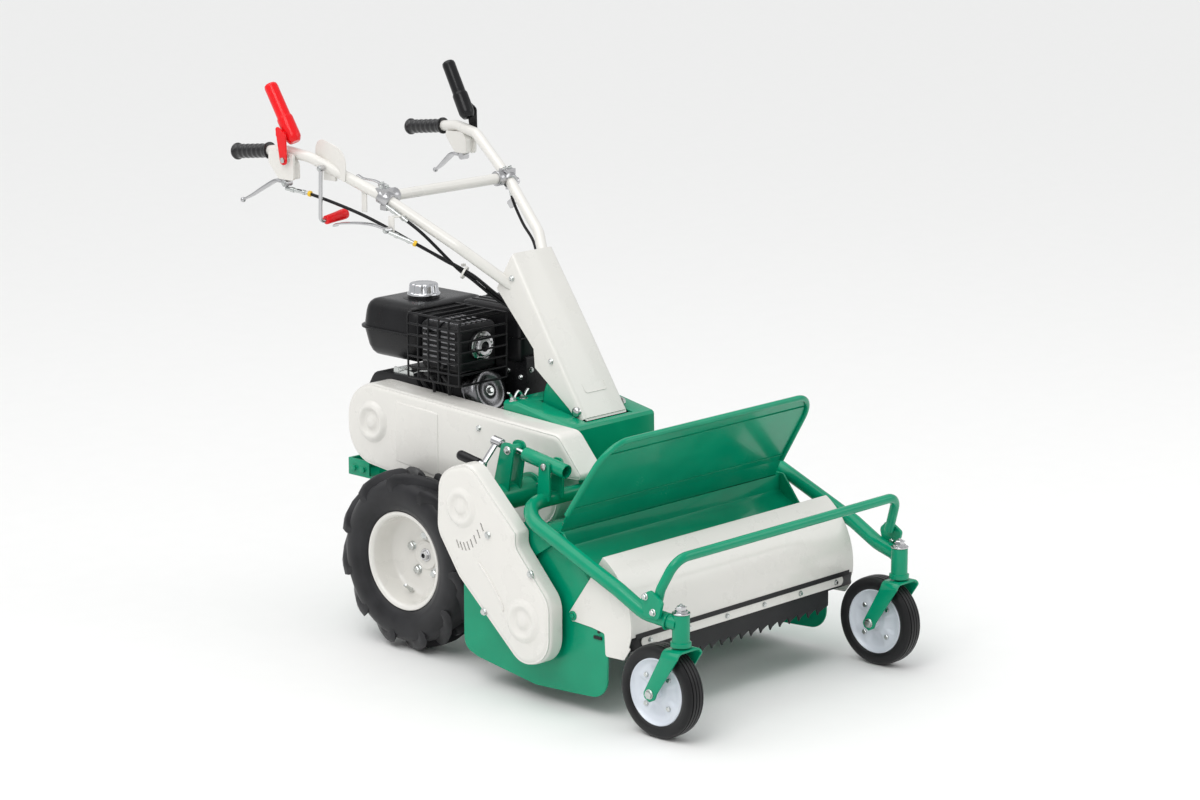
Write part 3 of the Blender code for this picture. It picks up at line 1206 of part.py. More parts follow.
def column_section(s, depth, half, wall, lift=0.0):
    """U-shaped ring: front panel with chamfered edges and two wings."""
    c = 0.012
    outer = [(-half, depth), (-half, c), (-half + c, 0), (half - c, 0), (half, c), (half, depth)]
    inner = [(half - wall, depth), (half - wall, c + wall * 0.4), (half - c - wall * 0.4, wall),
             (-half + c + wall * 0.4, wall), (-half + wall, c + wall * 0.4), (-half + wall, depth)]
    ring = []
    for x, d in outer + inner:
        y, z = column_point(s + lift * d, d)
        ring.append((x, y, z))
    return ring


def handle():
    tilt = pivot("handle_tilt", (0, HANDLE_PIVOT_Y, HANDLE_PIVOT_Z))
    half = COLUMN_HALF
    wall = 0.0025
    sections = [column_section(-0.016, 0.022, half, wall), column_section(0.024, 0.032, half, wall),
                column_section(0.145, 0.076, half, wall), column_section(0.182, 0.056, half, wall),
                column_section(0.300, 0.078, half - 0.002, wall),
                column_section(0.392, 0.088, half - 0.004, wall, -0.50)]
    cover = add("column_cover", loft(sections), WHITE, tilt, smooth=30)
    pads = []
    for side_name, s in SIDES:
        a, b = sorted((s * (EAR_X + GAP), s * (half - wall + 0.001)))
        pads.append(rod((a, HANDLE_PIVOT_Y, HANDLE_PIVOT_Z), (b, HANDLE_PIVOT_Y, HANDLE_PIVOT_Z), 0.010, 8))
        pads.append(turned([(s * (half - 0.001), 0), (s * (half - 0.001), 0.011),
                            (s * (half + 0.004), 0.010),
                            (s * (half + 0.010), 0)], (0, HANDLE_PIVOT_Y, HANDLE_PIVOT_Z), "x", 10))
    join(cover, *pads)
    cutters = []

    for side_name, s in SIDES:
        x_in = EAR_X - EAR_T - GAP - HANDLE_TUBE_R
        low_y, low_z = column_point(0.040, 0.034)
        mid_y, mid_z = column_point(0.300, 0.040)
        path = [(x_in, low_y, low_z), (x_in, mid_y, mid_z), (0.129, -0.011, 0.900), (0.195, 0.151, 0.999),
                (0.262, 0.325, 1.080), (HANDLE_X, 0.400, 1.090), (HANDLE_X, 0.562, 1.071)]
        path = [Vector((s * x, y, z)) for x, y, z in path]
        path = fillet_path(path, 0.07, 2)
        tube = add("handle_tube_" + side_name, swept(path, circle(HANDLE_TUBE_R, 8)), WHITE, tilt)
        cutters.append(swept(path[:7], circle(HANDLE_TUBE_R + GAP, 8)))
        bx = s * (HANDLE_X + HANDLE_TUBE_R)
        a, b = sorted((bx - s * 0.003, bx + s * 0.004))
        bracket = slab(rounded([(0.352, 1.086, 0.008), (0.352, 1.026, 0.008), (0.402, 1.026, 0.008),
                                (0.436, 1.060, 0.01),
                                (0.436, 1.092, 0.008)], 2), a, b)
        join(tube, bracket)
        if s > 0:
            join(tube, box((0.200, 0.149, 0.981), (0.2125, 0.167, 1.000)))
        else:
            join(tube, box((-0.2155, 0.192, 0.9643), (-0.2125, 0.208, 1.018)))
            guide = slab(rounded([(0.330, 1.068, 0.004), (0.326, 1.128, 0.045), (0.226, 1.100, 0.045),
                                  (0.232, 1.030, 0.004)], 4), -0.2440, -0.2410)
            join(tube, guide)
            join(tube, box((-0.246, 0.262, 1.030), (-0.238, 0.300, 1.062)),
                 box((-0.2225, 0.096, 0.924), (-0.2195, 0.114, 0.966)),
                 box((-0.200, 0.168, 1.0045), (-0.166, 0.192, 1.0085)))
            join(tube, box((-0.2215, 0.097, 0.9625), (-0.170, 0.113, 0.9655)))
        direction = (path[-1] - path[-2]).normalized()
        centre_in = path[-1] - direction * 0.116
        bore = HANDLE_TUBE_R + 0.0009
        profile = [(0, bore), (0, GRIP_R + 0.003), (0.005, GRIP_R + 0.003), (0.007, GRIP_R - 0.001),
                   (0.050, GRIP_R + 0.0008), (0.108, GRIP_R - 0.0005), (0.112, GRIP_R + 0.003),
                   (0.122, GRIP_R),
                   (0.122, 0), (0.1165, 0), (0.1165, bore)]
        tilt_angle = atan2(direction.z, direction.y)
        grip = turned(profile, (0, 0, 0), "y", 12)
        spun(grip, tilt_angle, "X", (0, 0, 0))
        add("grip_" + side_name, grip, RUBBER, tilt, tuple(centre_in))

    cut(cover, *cutters)
    bar_y, bar_z = 0.156, 1.001
    bar_half = CROSSBAR_HALF
    add("handle_crossbar", rod((-bar_half, bar_y, bar_z), (bar_half, bar_y, bar_z), 0.0125, 12), WHITE,
        tilt)
    return tilt


def levers(tilt):
    for side_name, s in SIDES:
        place = (s * LEVER_X, LEVER_Y, LEVER_Z)
        swing = pivot("clutch_lever_swing_" + side_name, place, tilt)
        low = Vector((s * HANDLE_X, 0.362, 1.112))
        top = Vector((s * (HANDLE_X + 0.006), 0.438, 1.239))
        up = (top - low).normalized()
        colour = RED if s < 0 else BLACK
        lever = add("clutch_lever_" + side_name, swept(
            [low, low + up * 0.062, low + up * 0.064, top - up * 0.003, top], circle(0.0145, 10), None,
            [1.0, 1.0, 0.86, 0.86, 0.70]), colour, swing)
        a, b = sorted((s * (LEVER_X - 0.0020), s * (LEVER_X + 0.0022)))
        plate = rounded([(LEVER_Y - 0.014, LEVER_Z - 0.014, 0.012),
                         (LEVER_Y + 0.014, LEVER_Z - 0.014, 0.012),
                         (LEVER_Y + 0.030, LEVER_Z + 0.080, 0.006),
                         (LEVER_Y - 0.012, LEVER_Z + 0.058, 0.010)], 3)
        cheek = slab(plate, a, b)
        join(lever, cheek)
        a, b = sorted((s * (HANDLE_X + 0.004), s * (LEVER_X + 0.0020)))
        join(lever, box((a, LEVER_Y + 0.004, LEVER_Z + 0.056), (b, LEVER_Y + 0.026, LEVER_Z + 0.060)))
        inner = HANDLE_X + HANDLE_TUBE_R + 0.004 + GAP
        join(lever, rod((s * inner, LEVER_Y, LEVER_Z), (s * (LEVER_X + 0.007), LEVER_Y, LEVER_Z), 0.008,
                        10))

        tip = Vector((s * (HANDLE_X + 0.031), 0.509, 0.968))
        root = Vector((s * (HANDLE_X + 0.006), SQUEEZE_Y, SQUEEZE_Z))
        squeeze = pivot("side_lever_swing_" + side_name, tuple(root), tilt)
        route = [root, root + Vector((0, 0.034, 0.002)), root + Vector((s * 0.008, 0.064, -0.014)),
                 root + Vector((s * 0.018, 0.098, -0.036)), tip]
        hand = add("side_clutch_lever_" + side_name,
                   swept(route, flat_section(0.014, 0.006), Vector((1, 0, 0)),
                   [1.1, 1.35, 1.15, 0.85, 0.55]), ALLOY, squeeze)
        join(hand, rod(root - Vector((0.010, 0, 0)), root + Vector((0.010, 0, 0)), 0.0085, 10),
             turned([(-0.006, 0), (-0.0045, 0.0045), (0, 0.0062), (0.0045, 0.0045), (0.006, 0)], tip, "y",
                    8))


def controls(tilt):
    axis = Vector((-0.2690, 0.283, 1.060))
    shift = pivot("shift_swing", tuple(axis), tilt)
    knee = Vector((axis.x, axis.y + 0.004, 0.938))
    path = fillet_path([axis + Vector((0, 0, 0.004)), knee, knee + Vector((0.030, 0, 0.004))], 0.010, 3)
    stick = add("shift_lever", swept(path, circle(0.0045, 8)), STEEL, shift)
    start = knee + Vector((0.016, 0, 0.002))
    join(stick, swept([start, start + Vector((0.003, 0, 0.0004)), start + Vector((0.060, 0, 0.008)),
                       start + Vector((0.065, 0, 0.0086))],
                      circle(0.0125, 10), None, [0.75, 0.85, 1.0, 0.8]))
    join(stick, rod(axis + Vector((-0.0055, 0, 0)), axis + Vector((0.0079, 0, 0)), 0.007, 8))

    hub = Vector((-0.177, 0.180, 1.0198))
    gas = pivot("throttle_swing", tuple(hub), tilt)
    lever = add("throttle_lever", swept([hub, hub + Vector((-0.006, 0.020, 0.012)),
                                         hub + Vector((-0.010, 0.052, 0.014)),
                                         hub + Vector((-0.011, 0.070, 0.020))], flat_section(0.009, 0.003),
                                         Vector((1, 0, 0))), STEEL, gas)
    join(lever, rod(hub + Vector((0, 0, -0.011)), hub + Vector((0, 0, 0.006)), 0.010, 10))

    pin = Vector((-0.232, 0.105, 0.936))
    brake = pivot("brake_swing", tuple(pin), tilt)
    route = [pin, pin + Vector((0, 0.045, 0.006)), pin + Vector((0, 0.100, 0.006)),
             pin + Vector((0, 0.160, -0.002)),
             pin + Vector((0, 0.176, -0.010))]
    blade = add("brake_lever", swept(route, flat_section(0.012, 0.003), Vector((1, 0, 0)),
                                     [0.8, 1.0, 1.5, 1.4, 0.6]), STEEL, brake)
    join(blade, rod(pin - Vector((0.009, 0, 0)), pin + Vector((0.009, 0, 0)), 0.007, 10))

    far = Vector((0.2228, 0.158, 0.988))
    lock = pivot("lock_swing", tuple(far), tilt)
    catch = add("lock_lever", swept([far, far + Vector((0.004, 0.004, -0.020)),
                                     far + Vector((0.008, 0.012, -0.048)),
                                     far + Vector((0.010, 0.030, -0.062))], flat_section(0.018, 0.003),
                                     Vector((0, 1, 0)), [0.8, 1.1, 1.0, 0.6]), STEEL, lock)
    join(catch, rod(far - Vector((0.010, 0, 0)), far + Vector((0.008, 0, 0)), 0.009, 10))


def cables(tilt):
    strands = []
    for k, (dx, dz) in enumerate(((0.0, 0.0), (0.0085, -0.004), (0.003, -0.0105))):
        route = [(-0.279, 0.380, 1.004), (-0.262, 0.325, 0.996), (-0.214, 0.200, 0.955),
                 (-0.160, 0.075, 0.893),
                 (-0.110, -0.030, 0.838), (-0.050, -0.066, 0.780), (-0.018, -0.142, 0.746),
                 (-0.012, -0.203, 0.691),
                 (-0.012, -0.243, 0.648)]
        points = [Vector((x + dx, y, z + dz)) for x, y, z in route]
        strands.append(swept(smooth_route(points, 9), circle(0.0038, 5)))
    loom = add("cable_loom", strands[0], BLACK, tilt)
    join(loom, rod((-0.162, 0.090, 0.892), (-0.152, 0.070, 0.8815), 0.0130, 10),
         rod((-0.2140, 0.2093, 0.9538), (-0.2060, 0.1907, 0.9462), 0.0115, 10))
    join(loom, strands[1])
    join(loom, strands[2])
    route = [(0.206, 0.158, 0.9802), (0.205, 0.146, 0.945), (0.190, 0.100, 0.900), (0.160, 0.035, 0.866),
             (0.105, -0.030, 0.825),
             (0.050, -0.066, 0.780), (0.018, -0.142, 0.746), (0.014, -0.203, 0.691)]
    add("lock_cable", swept(smooth_route([Vector(p) for p in route], 10), circle(0.0035, 5)), BLACK, tilt)


def smooth_route(points, count):
    """Points on a smooth curve through the given ones."""
    ends = [points[0] * 2 - points[1]] + points + [points[-1] * 2 - points[-2]]
    spans = len(points) - 1
    out = []
    for i in range(count):
        u = spans * i / (count - 1)
        k = min(int(u), spans - 1)
        f = u - k
        p0, p1, p2, p3 = ends[k:k + 4]
        out.append(0.5 * (2 * p1 + (p2 - p0) * f + (2 * p0 - 5 * p1 + 4 * p2 - p3) * f * f
                          + (3 * p1 - p0 - 3 * p2 + p3) * f * f * f))
    return out


def build():
    rear_wheels()
    drive_unit()
    rear_hitch()
    engine()
    fuel_tank()
    muffler()
    air_cleaner()
    belt_side()
    deck()
    rotor()
    hood()
    tilt = caster_frame()
    casters(tilt)
    height_jack()
    front_cover()
    tilt = handle()
    levers(tilt)
    controls(tilt)
    cables(tilt)


build()
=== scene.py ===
# %% [markdown]
# # A walk-behind hammer knife mower, dressed for the studio
# The solids of the machine come from its CAD model, in metres, with the front at -Y
# and the belt covers at -X. This script gives them paint, rubber, steel and the small
# parts that a person sees first: nuts, welds, cables, tread and cooling slots. Its sizes
# are laid out from the ground below the rear axle, and every piece is then moved by
# TO_MIDDLE, because the model's origin is below the middle of the machine.

import json
from math import cos, pi, radians, sin, sqrt

import bmesh
import bpy
from mathutils import Matrix, Vector


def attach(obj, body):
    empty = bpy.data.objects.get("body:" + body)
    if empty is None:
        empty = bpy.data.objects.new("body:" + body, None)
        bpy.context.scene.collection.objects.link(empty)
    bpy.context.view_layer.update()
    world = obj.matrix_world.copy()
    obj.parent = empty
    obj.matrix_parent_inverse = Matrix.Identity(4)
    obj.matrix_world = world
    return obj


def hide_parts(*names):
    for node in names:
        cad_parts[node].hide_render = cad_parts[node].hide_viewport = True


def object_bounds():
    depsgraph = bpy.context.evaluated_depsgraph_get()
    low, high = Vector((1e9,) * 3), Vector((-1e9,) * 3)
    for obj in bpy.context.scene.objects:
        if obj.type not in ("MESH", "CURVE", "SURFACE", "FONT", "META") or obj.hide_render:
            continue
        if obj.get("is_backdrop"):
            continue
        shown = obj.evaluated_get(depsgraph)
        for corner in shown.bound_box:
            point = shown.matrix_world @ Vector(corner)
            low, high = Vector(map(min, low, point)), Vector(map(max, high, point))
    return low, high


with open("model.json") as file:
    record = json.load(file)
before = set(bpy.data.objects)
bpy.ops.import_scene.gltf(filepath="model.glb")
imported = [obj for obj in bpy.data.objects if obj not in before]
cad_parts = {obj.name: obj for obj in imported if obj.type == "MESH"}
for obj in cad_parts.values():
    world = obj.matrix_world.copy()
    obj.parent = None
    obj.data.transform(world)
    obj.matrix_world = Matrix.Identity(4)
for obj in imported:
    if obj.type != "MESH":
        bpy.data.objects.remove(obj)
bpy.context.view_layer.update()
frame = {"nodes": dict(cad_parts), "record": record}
TO_MIDDLE = Vector((0.011, 0.183, 0.0))

# %% [markdown]
# The camera stands in front and to the right of the machine, above its handle and far
# away with a long lens, so the upright lines stay nearly parallel. A wide lens close by
# would show the same side, but it would swell the casters and shrink the handle.

# %% Camera
EYE_AT = Vector((-5.439, -5.465, 2.261))
LOOKS_DOWN, HEADING = 12.68, -46.62


def stand(name, data):
    """Put an object with this data into the scene."""
    made = bpy.data.objects.new(name, data)
    bpy.context.collection.objects.link(made)
    return made


eye = bpy.data.cameras.new("camera")
eye.sensor_width = 36.0
eye.lens = 104.0
camera = stand("camera", eye)
camera.location = EYE_AT + TO_MIDDLE
camera.rotation_euler = (radians(90 - LOOKS_DOWN), 0, radians(HEADING))
bpy.context.scene.camera = camera
bpy.context.scene.view_settings.view_transform = "Standard"
print("camera at", tuple(camera.location))

# %% [markdown]
# Finishes are made of nodes. Writing `1 - mask * 0.3` is easier to read than a list of
# nodes and links, so one small class wraps a socket: arithmetic on it adds Math nodes,
# and its method `node` makes every other kind.

# %% Sockets as numbers
class Wire:
    """A socket of a material's node tree."""

    def __init__(self, tree, socket=None):
        self.tree = tree
        self.socket = socket

    def node(self, kind, settings=None, sockets=None, out=0):
        made = self.tree.nodes.new(kind)
        for key, value in (settings or {}).items():
            if key == "stops":
                steps = made.color_ramp.elements
                while len(steps) < len(value):
                    steps.new(0.5)
                for step, (place, level) in zip(steps, value):
                    step.position = place
                    step.color = (level, level, level, 1)
            else:
                setattr(made, key, value)
        for key, value in (sockets or {}).items():
            if isinstance(value, Wire):
                self.tree.links.new(value.socket, made.inputs[key])
            else:
                made.inputs[key].default_value = value
        return Wire(self.tree, made.outputs[out])

    def maths(self, operation, first, second):
        return self.node("ShaderNodeMath", {"operation": operation}, {0: first, 1: second})

    def __add__(self, other):
        return self.maths("ADD", self, other)

    def __sub__(self, other):
        return self.maths("SUBTRACT", self, other)

    def __rsub__(self, other):
        return self.maths("SUBTRACT", other, self)

    def __mul__(self, other):
        return self.maths("MULTIPLY", self, other)

    __radd__ = __add__
    __rmul__ = __mul__


# %% [markdown]
# Every finish starts from the same three things: where a point is, in metres, a cloudy
# noise a few centimetres across, and a fine one of about a millimetre. The clouds
# change the colour and the gloss a little, as handling and dust do. The fine noise is
# bump: orange peel on paint, sand grain on castings, moulding texture on plastic. Black
# and deep colours also get a lower specular level, because the pale studio round the
# machine would otherwise lift them to grey.

# %% How a finish is made
def finish(name, colour, gloss, metal=0.0, coat=0.0, tint=0.06, wander=0.06, grain=900.0,
           grain_height=0.00004, cloud=14.0, sheen=0.0, stretch=(1, 1, 1)):
    """A material whose colour varies by tint and whose roughness varies by wander."""
    made = bpy.data.materials.new(name)
    made.use_nodes = True
    tree = made.node_tree
    shader = tree.nodes["Principled BSDF"]
    start = Wire(tree)
    place = start.node("ShaderNodeTexCoord", out="Object")
    place = place.node("ShaderNodeMapping", None, {"Vector": place, "Scale": stretch})
    clouds = place.node("ShaderNodeTexNoise", None,
                        {"Vector": place, "Scale": cloud, "Detail": 3.0})
    mask = clouds.node("ShaderNodeValToRGB", {"stops": ((0.35, 0.0), (0.68, 1.0))}, {"Fac": clouds})
    fine = place.node("ShaderNodeTexNoise", None, {"Vector": place, "Scale": grain, "Detail": 2.0})
    dark = tuple(c * (1 - tint) for c in colour) + (1,)
    light = tuple(min(c * (1 + tint) + tint * 0.01, 1) for c in colour) + (1,)
    shade = mask.node("ShaderNodeMix", {"data_type": "RGBA"}, {0: mask, 6: dark, 7: light}, 2)
    rough = gloss - wander / 2 + mask * wander + (fine - 0.5) * (wander * 0.5)
    bump = fine.node("ShaderNodeBump", None,
                     {"Height": fine, "Strength": 1.0, "Distance": grain_height})
    tree.links.new(shade.socket, shader.inputs["Base Color"])
    tree.links.new(rough.socket, shader.inputs["Roughness"])
    tree.links.new(bump.socket, shader.inputs["Normal"])
    shader.inputs["Metallic"].default_value = metal
    shader.inputs["Coat Weight"].default_value = coat
    shader.inputs["Coat Roughness"].default_value = 0.06
    shader.inputs["Sheen Weight"].default_value = sheen
    return made


# %% The finishes of this machine
FINISH = {
    "green_paint": finish("green_paint", (0.0, 0.282, 0.148), 0.24, coat=0.22, tint=0.05, grain=420,
                          grain_height=0.00005),
    "white_paint": finish("white_paint", (0.74, 0.725, 0.685), 0.28, coat=0.4, tint=0.008,
                          wander=0.02, grain=420, grain_height=0.00005),
    "red_paint": finish("red_paint", (0.80, 0.006, 0.010), 0.22, coat=0.2, tint=0.05, grain=600),
    "black_paint": finish("black_paint", (0.008, 0.008, 0.009), 0.24, coat=0.1, tint=0.2,
                          grain=600),
    "black_plastic": finish("black_plastic", (0.008, 0.008, 0.009), 0.28, tint=0.15, grain=1500,
                            grain_height=0.00008),
    "rubber": finish("rubber", (0.010, 0.010, 0.011), 0.42, tint=0.2, grain=1300,
                     grain_height=0.0001, sheen=0.1),
    "tyre_rubber": finish("tyre_rubber", (0.016, 0.016, 0.018), 0.46, tint=0.25, wander=0.14,
                          grain=800, grain_height=0.00012, cloud=20, sheen=0.1),
    "bright_steel": finish("bright_steel", (0.56, 0.56, 0.57), 0.22, metal=1.0, tint=0.06,
                           wander=0.12, grain=500, grain_height=0.00002, stretch=(1, 1, 0.15)),
    "cast_alloy": finish("cast_alloy", (0.50, 0.50, 0.51), 0.30, metal=1.0, tint=0.08, wander=0.14,
                         grain=700, grain_height=0.00006),
    "cap_metal": finish("cap_metal", (0.62, 0.63, 0.65), 0.14, metal=1.0, tint=0.03,
                        grain_height=0.00001),
    "rim_grey": finish("rim_grey", (0.66, 0.70, 0.76), 0.30, coat=0.3, tint=0.03, grain=500),
    "drive_case": finish("drive_case", (0.022, 0.023, 0.024), 0.42, tint=0.2, grain=500,
                         grain_height=0.0002),
    "engine_casting": finish("engine_casting", (0.010, 0.010, 0.011), 0.36, tint=0.2, grain=420,
                             grain_height=0.0002),
    "muffler_metal": finish("muffler_metal", (0.009, 0.009, 0.010), 0.34, tint=0.2, grain=900),
}
ZINC = finish("zinc_plate", (0.58, 0.60, 0.59), 0.24, metal=1.0, tint=0.05, wander=0.1, cloud=60)
YELLOW = finish("yellow_tag", (0.80, 0.50, 0.02), 0.45, tint=0.03)
DARK_ALLOY = finish("dark_alloy", (0.26, 0.26, 0.27), 0.26, metal=1.0, tint=0.10, wander=0.14,
                    grain=700, grain_height=0.00005)
GRIP = finish("grip_rubber", (0.008, 0.008, 0.009), 0.26, tint=0.15, grain=1500,
              grain_height=0.00005)
DEEP = ("tyre_rubber", "rubber", "black_plastic", "engine_casting", "muffler_metal", "drive_case",
        "black_paint", "green_paint", "red_paint")
DEEP_SPECULAR = 0.22
for name in DEEP:
    shader = FINISH[name].node_tree.nodes["Principled BSDF"]
    shader.inputs["Specular IOR Level"].default_value = DEEP_SPECULAR
print("finishes", len(FINISH) + len((ZINC, YELLOW, DARK_ALLOY, GRIP)), "with less specular",
      len(DEEP))

# %% [markdown]
# A CAD solid has knife-sharp edges, and no real casting or pressing does. A bevel of
# about a millimetre catches the light along each edge. The Weld modifier comes first,
# because an exported mesh has its corners split apart.

# %% Dress the CAD nodes
SLOT_OF = {row["node"]: row["material_slot"] for row in frame["record"]["subparts"]}
CAD_EDGE, CAD_ANGLE = 0.0010, 32


def soften(piece, width, angle, weld=False):
    """Bevel the edges that are sharper than an angle, in degrees."""
    if weld:
        piece.modifiers.new("weld", "WELD").merge_threshold = 0.00002
    bevel = piece.modifiers.new("soft_edges", "BEVEL")
    bevel.width = width
    bevel.segments = 2
    bevel.limit_method = "ANGLE"
    bevel.angle_limit = radians(angle)
    bevel.harden_normals = True
    bevel.use_clamp_overlap = True


for node, piece in frame["nodes"].items():
    piece.data.materials.clear()
    piece.data.materials.append(FINISH[SLOT_OF[node]])
    piece.data.shade_smooth()
    soften(piece, CAD_EDGE, CAD_ANGLE, True)
print("dressed", len(frame["nodes"]))

# %% [markdown]
# The smooth pieces are drawn again with more steps than a collision model can afford.
# It starts with flat outlines and routes in space. A sheet metal worker gives every
# corner a radius, so rounding a corner is a helper here and not a modifier: the radius
# of each corner is then a number beside its place.

# %% Outlines
def arc(centre, radius, start, end, steps):
    """Points on an arc between two angles in degrees."""
    out = []
    for i in range(steps + 1):
        a = radians(start + (end - start) * i / steps)
        out.append((centre[0] + radius * cos(a), centre[1] + radius * sin(a)))
    return out


def rounded(corners, steps=8, inset=0.0):
    """Outline through (a, b, radius) corners, moved inwards by inset."""
    flat = [Vector(c[:2]) for c in corners]
    area = sum(p.x * q.y - q.x * p.y for p, q in zip(flat, flat[1:] + flat[:1]))
    turn = 1 if area > 0 else -1
    moved = []
    for i, here in enumerate(flat):
        before = (here - flat[i - 1]).normalized()
        after = (flat[(i + 1) % len(flat)] - here).normalized()
        n0 = Vector((-before.y, before.x)) * turn
        n1 = Vector((-after.y, after.x)) * turn
        convex = (before.x * after.y - before.y * after.x) * turn > 0
        radius = max(corners[i][2] + (-inset if convex else inset), 0.0004 if corners[i][2] else 0)
        moved.append((here + (n0 + n1) / (1 + n0.dot(n1)) * inset, radius))
    out = []
    for i, (here, radius) in enumerate(moved):
        to_last = moved[i - 1][0] - here
        to_next = moved[(i + 1) % len(moved)][0] - here
        half = to_last.angle(to_next) / 2
        if radius < 1e-5 or abs(half - pi / 2) < 1e-3:
            out.append(tuple(here))
            continue
        reach = min(radius / sin(half) * cos(half), 0.49 * to_last.length, 0.49 * to_next.length)
        radius = reach * sin(half) / cos(half)
        middle = (to_last.normalized() + to_next.normalized()).normalized()
        centre = here + middle * (radius / sin(half))
        first = here + to_last.normalized() * reach - centre
        last = here + to_next.normalized() * reach - centre
        sweep = first.angle_signed(last)
        for k in range(steps + 1):
            spoke = first.copy()
            spoke.rotate(Matrix.Rotation(-sweep * k / steps, 2))
            out.append((centre.x + spoke.x, centre.y + spoke.y))
    return out


print("points of a rounded square", len(rounded([(0, 0, 1), (9, 0, 1), (9, 9, 1), (0, 9, 1)])))

# %% Paths with rounded corners
def fillet(points, radius, steps=8):
    """A path in space with its corners rounded."""
    pts = [Vector(p) for p in points]
    out = [pts[0]]
    for last, here, following in zip(pts, pts[1:], pts[2:]):
        a, b = last - here, following - here
        half = a.angle(b) / 2
        if half > radians(88.5):
            out.append(here)
            continue
        reach = min(radius * cos(half) / sin(half), 0.45 * a.length, 0.45 * b.length)
        real = reach * sin(half) / cos(half)
        centre = here + (a.normalized() + b.normalized()).normalized() * (real / sin(half))
        first = here + a.normalized() * reach - centre
        axis = first.cross(here + b.normalized() * reach - centre).normalized()
        sweep = pi - 2 * half
        for k in range(steps + 1):
            out.append(centre + Matrix.Rotation(sweep * k / steps, 3, axis) @ first)
    return out + [pts[-1]]


print("points of a bent path", len(fillet([(0, 0, 0), (9, 0, 0), (9, 9, 0)], 1)))

# %% Routes and sections
def smooth_route(points, count):
    """Points on a smooth curve through the given ones."""
    pts = [Vector(p) for p in points]
    ends = [pts[0] * 2 - pts[1]] + pts + [pts[-1] * 2 - pts[-2]]
    spans = len(pts) - 1
    out = []
    for i in range(count):
        u = spans * i / (count - 1)
        k = min(int(u), spans - 1)
        f = u - k
        p0, p1, p2, p3 = ends[k:k + 4]
        out.append(0.5 * (2 * p1 + (p2 - p0) * f + (2 * p0 - 5 * p1 + 4 * p2 - p3) * f * f
                          + (3 * p1 - p0 - 3 * p2 + p3) * f * f * f))
    return out


def divided(path, step):
    """The same path with a point at least every step."""
    pts = [Vector(p) for p in path]
    out = []
    for a, b in zip(pts, pts[1:]):
        parts = max(1, int((b - a).length / step))
        out += [a.lerp(b, k / parts) for k in range(parts)]
    return out + [pts[-1]]


def circle(radius, sides=24, squeeze=1.0):
    """Section of a wire or bar, flattened by squeeze."""
    turns = [2 * pi * (i + 0.5) / sides for i in range(sides)]
    return [(radius * cos(a), radius * squeeze * sin(a)) for a in turns]


def around(count, radius, phase=0.0):
    """Places for bolts, evenly spaced on a circle."""
    turns = [2 * pi * i / count + phase for i in range(count)]
    return [(radius * cos(a), radius * sin(a)) for a in turns]


def strap(width, thickness, edge=0.0008):
    """Section of a flat bar with eased corners."""
    w, t = width / 2, thickness / 2
    return rounded([(-w, -t, edge), (w, -t, edge), (w, t, edge), (-w, t, edge)], 2)


print("corners of a wire", len(circle(0.002, 8)), "and of a strap", len(strap(0.02, 0.004)))

# %% [markdown]
# A solid is then one of three moves, as in a workshop: stack flat rings into a loft,
# turn a profile on a lathe, or carry a section along a path as a bent bar. Modifiers
# could do the same, but a function with a few numbers is easier to repeat and to read.

# %% Lofts, slabs and boxes
def loft(rings, closed=False):
    """Skin over rings with the same count of points, with its ends or its loop closed."""
    bm = bmesh.new()
    rings = [[bm.verts.new(p) for p in ring] for ring in rings]
    count = len(rings[0])
    pairs = list(zip(rings, rings[1:])) + ([(rings[-1], rings[0])] if closed else [])
    for low, high in pairs:
        for i in range(count):
            j = (i + 1) % count
            bm.faces.new((low[i], low[j], high[j], high[i]))
    if not closed:
        bm.faces.new(rings[0][::-1])
        bm.faces.new(rings[-1])
    bmesh.ops.recalc_face_normals(bm, faces=bm.faces)
    return bm


def slab(outline, low, high, axis="x"):
    order = {"x": lambda p, t: (t, p[0], p[1]), "y": lambda p, t: (p[0], t, p[1]),
             "z": lambda p, t: (p[0], p[1], t)}[axis]
    return loft([[order(p, t) for p in outline] for t in (low, high)])


def box(low, high):
    (x0, y0, z0), (x1, y1, z1) = low, high
    return slab([(y0, z0), (y1, z0), (y1, z1), (y0, z1)], x0, x1)


# %% Turned shapes
AXES = {"x": ((1, 0, 0), (0, 1, 0), (0, 0, 1)), "y": ((0, 1, 0), (0, 0, 1), (1, 0, 0)),
        "z": ((0, 0, 1), (1, 0, 0), (0, 1, 0))}


def cross_axes(axis):
    """A direction of length one, with two others square to it."""
    along = Vector(axis).normalized()
    side = along.orthogonal().normalized()
    return along, side, along.cross(side)


def turned(profile, centre=(0, 0, 0), axis="x", steps=48):
    """Turn (along, radius) points about an axis, given as a letter or a direction."""
    if isinstance(axis, str):
        along, side, up = (Vector(v) for v in AXES[axis])
    else:
        along, side, up = cross_axes(axis)
    bm = bmesh.new()
    rings = []
    for t, r in profile:
        here = Vector(centre) + along * t
        if r < 1e-7:
            rings.append([bm.verts.new(here)])
            continue
        spokes = [side * cos(2 * pi * i / steps) + up * sin(2 * pi * i / steps)
                  for i in range(steps)]
        rings.append([bm.verts.new(here + spoke * r) for spoke in spokes])
    pairs = list(zip(rings, rings[1:]))
    if len(rings[0]) > 1 or len(rings[-1]) > 1:
        pairs.append((rings[-1], rings[0]))
    for low, high in pairs:
        for i in range(steps):
            j = (i + 1) % steps
            ring = [low[i % len(low)], low[j % len(low)], high[j % len(high)], high[i % len(high)]]
            ring = list(dict.fromkeys(ring))
            if len(ring) > 2:
                bm.faces.new(ring)
    bmesh.ops.recalc_face_normals(bm, faces=bm.faces)
    return bm


